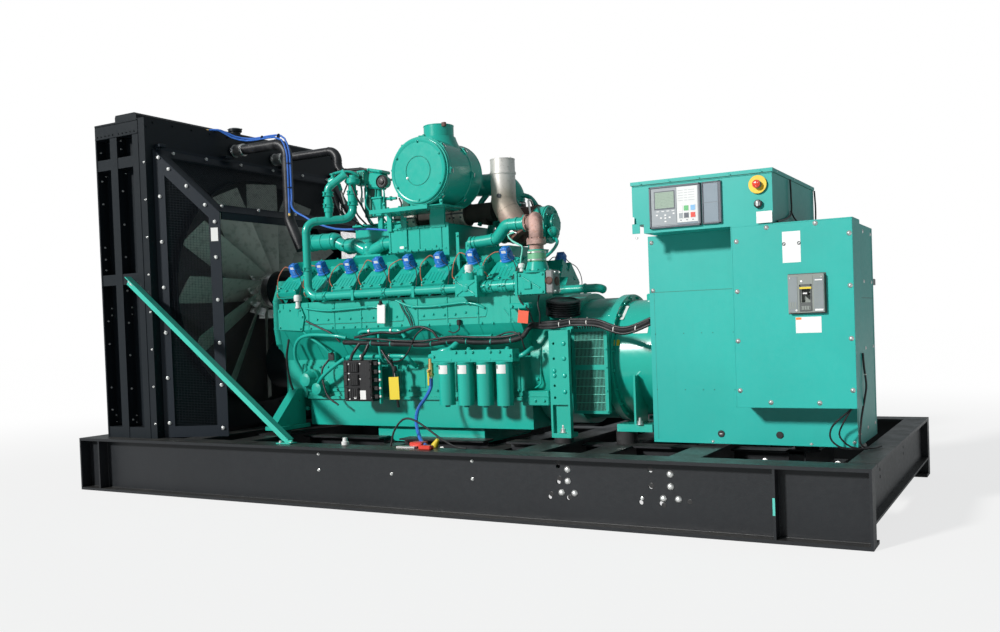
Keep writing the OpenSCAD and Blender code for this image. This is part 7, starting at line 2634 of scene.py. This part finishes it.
@dataclass
class Hoses:
    """Silver sleeves, clamps and fittings of the coolant hoses, the vent lines and the drain hose."""

    def clamp(self, mould: Mould, at: Point, way: Point, r: float) -> None:
        """Adds a worm-drive clamp.

        Args:
            mould: where it goes.
            at: its middle.
            way: the hose's direction.
            r: the hose's radius.
        """
        way = Vector(way).normalized()
        mould.band(Vector(at) - way * 0.007, way, r, 0.0018, 0.014, Coat.STEEL, 32, 0.001)
        side = way.cross(UP).normalized() if abs(way.z) < STEEP else NEAR
        base = Vector(at) + side * (r + 0.004)
        mould.block(Mould.frame_at(base, side), (0.024, 0.014, 0.01), Coat.STEEL, 0.002)
        mould.rod(base - UP * 0.018, base + UP * 0.018, 0.0035, Coat.ZINC, 8)

    def build(self) -> None:
        """Makes the sleeves, clamps and fittings."""
        mould = Mould()
        for x1, y, z in ((-2.15, -0.234, 2.8), (-2.16, 0.266, 2.79)):
            mould.band((-2.27, y, z), AFT, 0.047, 0.0035, x1 + 2.27, Coat.STEEL, 32, 0.003)
            for x in (-2.258, x1 - 0.012):
                self.clamp(mould, (x, y, z), AFT, 0.0508)
            mould.turned((-2.279, y, z), AFT, [(0.062, 0.0), (0.062, 0.006), (0.05, 0.008)], Coat.RADIATOR,
                         32)
        mould.piece("hose_sleeves")
        fit = Mould()
        for y in (-0.47, -0.445):
            fit.turned((-2.35, y, 2.952), AFT,
                       [(0.011, 0.0), (0.011, 0.016), (0.0085, 0.02), (0.0085, 0.03)], Coat.BRASS, 6)
        fit.turned((-0.562, -0.3, 1.97), (1.0, 0.0, -0.15), [(0.01, -0.02), (0.01, 0.0), (0.008, 0.006)],
                   Coat.BRASS, 6)
        fit.turned((-1.626, -0.29, 2.195), UP, [(0.011, -0.012), (0.011, 0.004), (0.009, 0.01)], Coat.BRASS,
                   6)
        for at, way in (((-1.9, -0.283, 2.861), AFT), ((-1.72, -0.283, 2.856), (1.0, 0.0, -0.3)),
                        ((-1.618, -0.284, 2.62), -UP), ((-1.617, -0.284, 2.42), -UP)):
            fit.band(at, way, 0.0195, 0.001, 0.005, Coat.WIRE, 16, 0.001)
        fit.turned((-0.042, -0.65, 0.866), -UP,
                   [(0.016, 0.0), (0.017, 0.004), (0.017, 0.014), (0.014, 0.018)], Coat.STEEL, 20)
        fit.turned((-0.042, -0.65, 0.94), UP, [(0.021, 0.0), (0.021, 0.012), (0.018, 0.014)], Coat.BRASS, 6)
        fit.band((-0.042, -0.65, 0.872), UP, 0.0215, 0.003, 0.013, Coat.BRASS, 20, 0.003)
        fit.slab((-0.049, -0.69, 0.8), (-0.035, -0.68, 0.912), Coat.CAP_YELLOW, 0.003)
        fit.turned((-0.042, -0.684, 0.905), NEAR, [(0.01, -0.006), (0.01, 0.008), (0.006, 0.012)],
                   Coat.BRASS, 6)
        fit.piece("line_fittings")


@dataclass
class Studio:
    """The camera, the floor, the world and the lights."""

    place: Point = (3.860026, -6.515022, 1.223202)
    right: Point = (0.8701288, 0.4914898, -0.036244)
    down: Point = (-0.0208469, -0.0367701, -0.9991063)
    ahead: Point = (-0.4923832, 0.8701067, -0.0217487)
    lens: float = 35.134
    shift: tuple[float, float] = (-0.00039, 0.02923)
    sun_strength: float = 3.6
    sun_angle: float = 6.0
    sun_way: Point = (0.39, 0.86, -0.41)
    ambient: float = 0.155
    gloss: float = 0.28
    sun_tint: Rgb = (1.0, 0.985, 0.96)
    sky_tint: Rgb = (0.84, 0.95, 1.0)
    floor_white: float = 0.76
    floor_gain: float = 0.235
    floor_half: float = 60.0
    sensor: float = 36.0
    clip: float = 200.0

    def camera(self) -> None:
        """Makes the camera."""
        data = bpy.data.cameras.new("camera")
        data.lens = self.lens
        data.sensor_width = self.sensor
        data.shift_x, data.shift_y = self.shift
        data.clip_end = self.clip
        axes = Matrix((Vector(self.right), -Vector(self.down), -Vector(self.ahead))).transposed()
        thing = bpy.data.objects.new("camera", data)
        thing.matrix_world = Matrix.Translation(Vector(self.place)) @ axes.to_4x4()
        bpy.context.scene.collection.objects.link(thing)
        bpy.context.scene.camera = thing

    def seen_share(self, graph: Graph) -> Sig:
        """1 for rays from the camera and through glass, less for those from gloss, and 0 for the rest."""
        path = graph.add("ShaderNodeLightPath")
        seen, through, glossy = (Sig(graph, path.outputs[f"Is {kind} Ray"])
                                 for kind in ("Camera", "Transmission", "Glossy"))
        return graph.calc("MAXIMUM", graph.calc("MAXIMUM", seen, through), self.gloss * glossy)

    def world(self) -> None:
        """Makes a plain pale world, white where it is seen and soft where it lights."""
        world = bpy.data.worlds.new("studio")
        bpy.context.scene.world = world
        world.use_nodes = True
        graph = Graph.__new__(Graph)
        graph.tree = world.node_tree
        graph.tree.nodes.clear()
        share = self.seen_share(graph)
        colour = graph.mix(share, self.sky_tint, WHITE)
        strength = self.ambient + (1.0 - self.ambient) * share
        light = graph.sig("ShaderNodeBackground", None, {"Color": colour, "Strength": strength})
        graph.add("ShaderNodeOutputWorld", None, {"Surface": light})

    def floor(self) -> None:
        """Makes the pale floor, which keeps the shadow."""
        graph = Graph("floor")
        mottle = graph.noise(0.8, 3.0)
        colour = graph.mix(mottle, (0.86, 0.86, 0.86), (0.9, 0.9, 0.9))
        pale = graph.sig("ShaderNodeBsdfDiffuse", None, {"Color": colour})
        lit = graph.sig("ShaderNodeEmission", None, {"Color": WHITE, "Strength": 1.0})
        away = graph.sig("ShaderNodeVectorMath", {"operation": "LENGTH"}, {0: graph.place()}, 1)
        share = self.seen_share(graph) * (self.floor_white + self.floor_gain * away.above(4.0, 11.0))
        both = graph.sig("ShaderNodeMixShader", None, {0: share, 1: pale, 2: lit})
        graph.add("ShaderNodeOutputMaterial", None, {"Surface": both})
        mesh = bpy.data.meshes.new("floor")
        half = self.floor_half
        mesh.from_pydata([(half * x, half * y, 0) for x, y in CORNERS], [], [(0, 1, 2, 3)])
        mesh.materials.append(graph.material)
        thing = bpy.data.objects.new("floor", mesh)
        bpy.context.scene.collection.objects.link(thing)

    def lights(self) -> None:
        """Makes one large soft sun."""
        data = bpy.data.lights.new("sun", "SUN")
        data.energy = self.sun_strength
        data.angle = math.radians(self.sun_angle)
        data.color = self.sun_tint
        thing = bpy.data.objects.new("sun", data)
        thing.rotation_euler = Vector(self.sun_way).to_track_quat("-Z", "Y").to_euler()
        bpy.context.scene.collection.objects.link(thing)

    def build(self) -> None:
        """Makes the world, the floor and the light."""
        self.world()
        self.floor()
        self.lights()


def dress_nodes() -> None:
    """Gives every CAD node its finish, and the manifold's turbine end a second one."""
    for name, coat in NODE_COATS.items():
        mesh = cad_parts[name].data
        mesh.materials.clear()
        mesh.materials.append(coat.value.material())
        mesh.polygons.foreach_set("material_index", [0] * len(mesh.polygons))
    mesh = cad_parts["exhaust_manifold"].data
    mesh.materials.append(Coat.TURBINE.value.material())
    for face in mesh.polygons:
        if face.center.x > TURBINE_X:
            face.material_index = 1


def main() -> None:
    """Builds the scene, the camera first."""
    logging.basicConfig(level=logging.INFO, format="%(name)s: %(message)s")
    bpy.context.scene.view_settings.view_transform = "Standard"
    studio = Studio()
    studio.camera()
    studio.build()
    dress_nodes()
    for assembly in ASSEMBLIES:
        LOG.info("building %s", assembly.__name__)
        assembly().build()
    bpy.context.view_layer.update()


ASSEMBLIES = (Skid, Radiator, FanGuard, Fan, Cubicle, ControlPanel, Breaker, Alternator, EngineMounts,
              Heads, EngineSide, GasTrain, AirSide, ExhaustSide, Hoses)

if __name__ == "__main__":
    main()
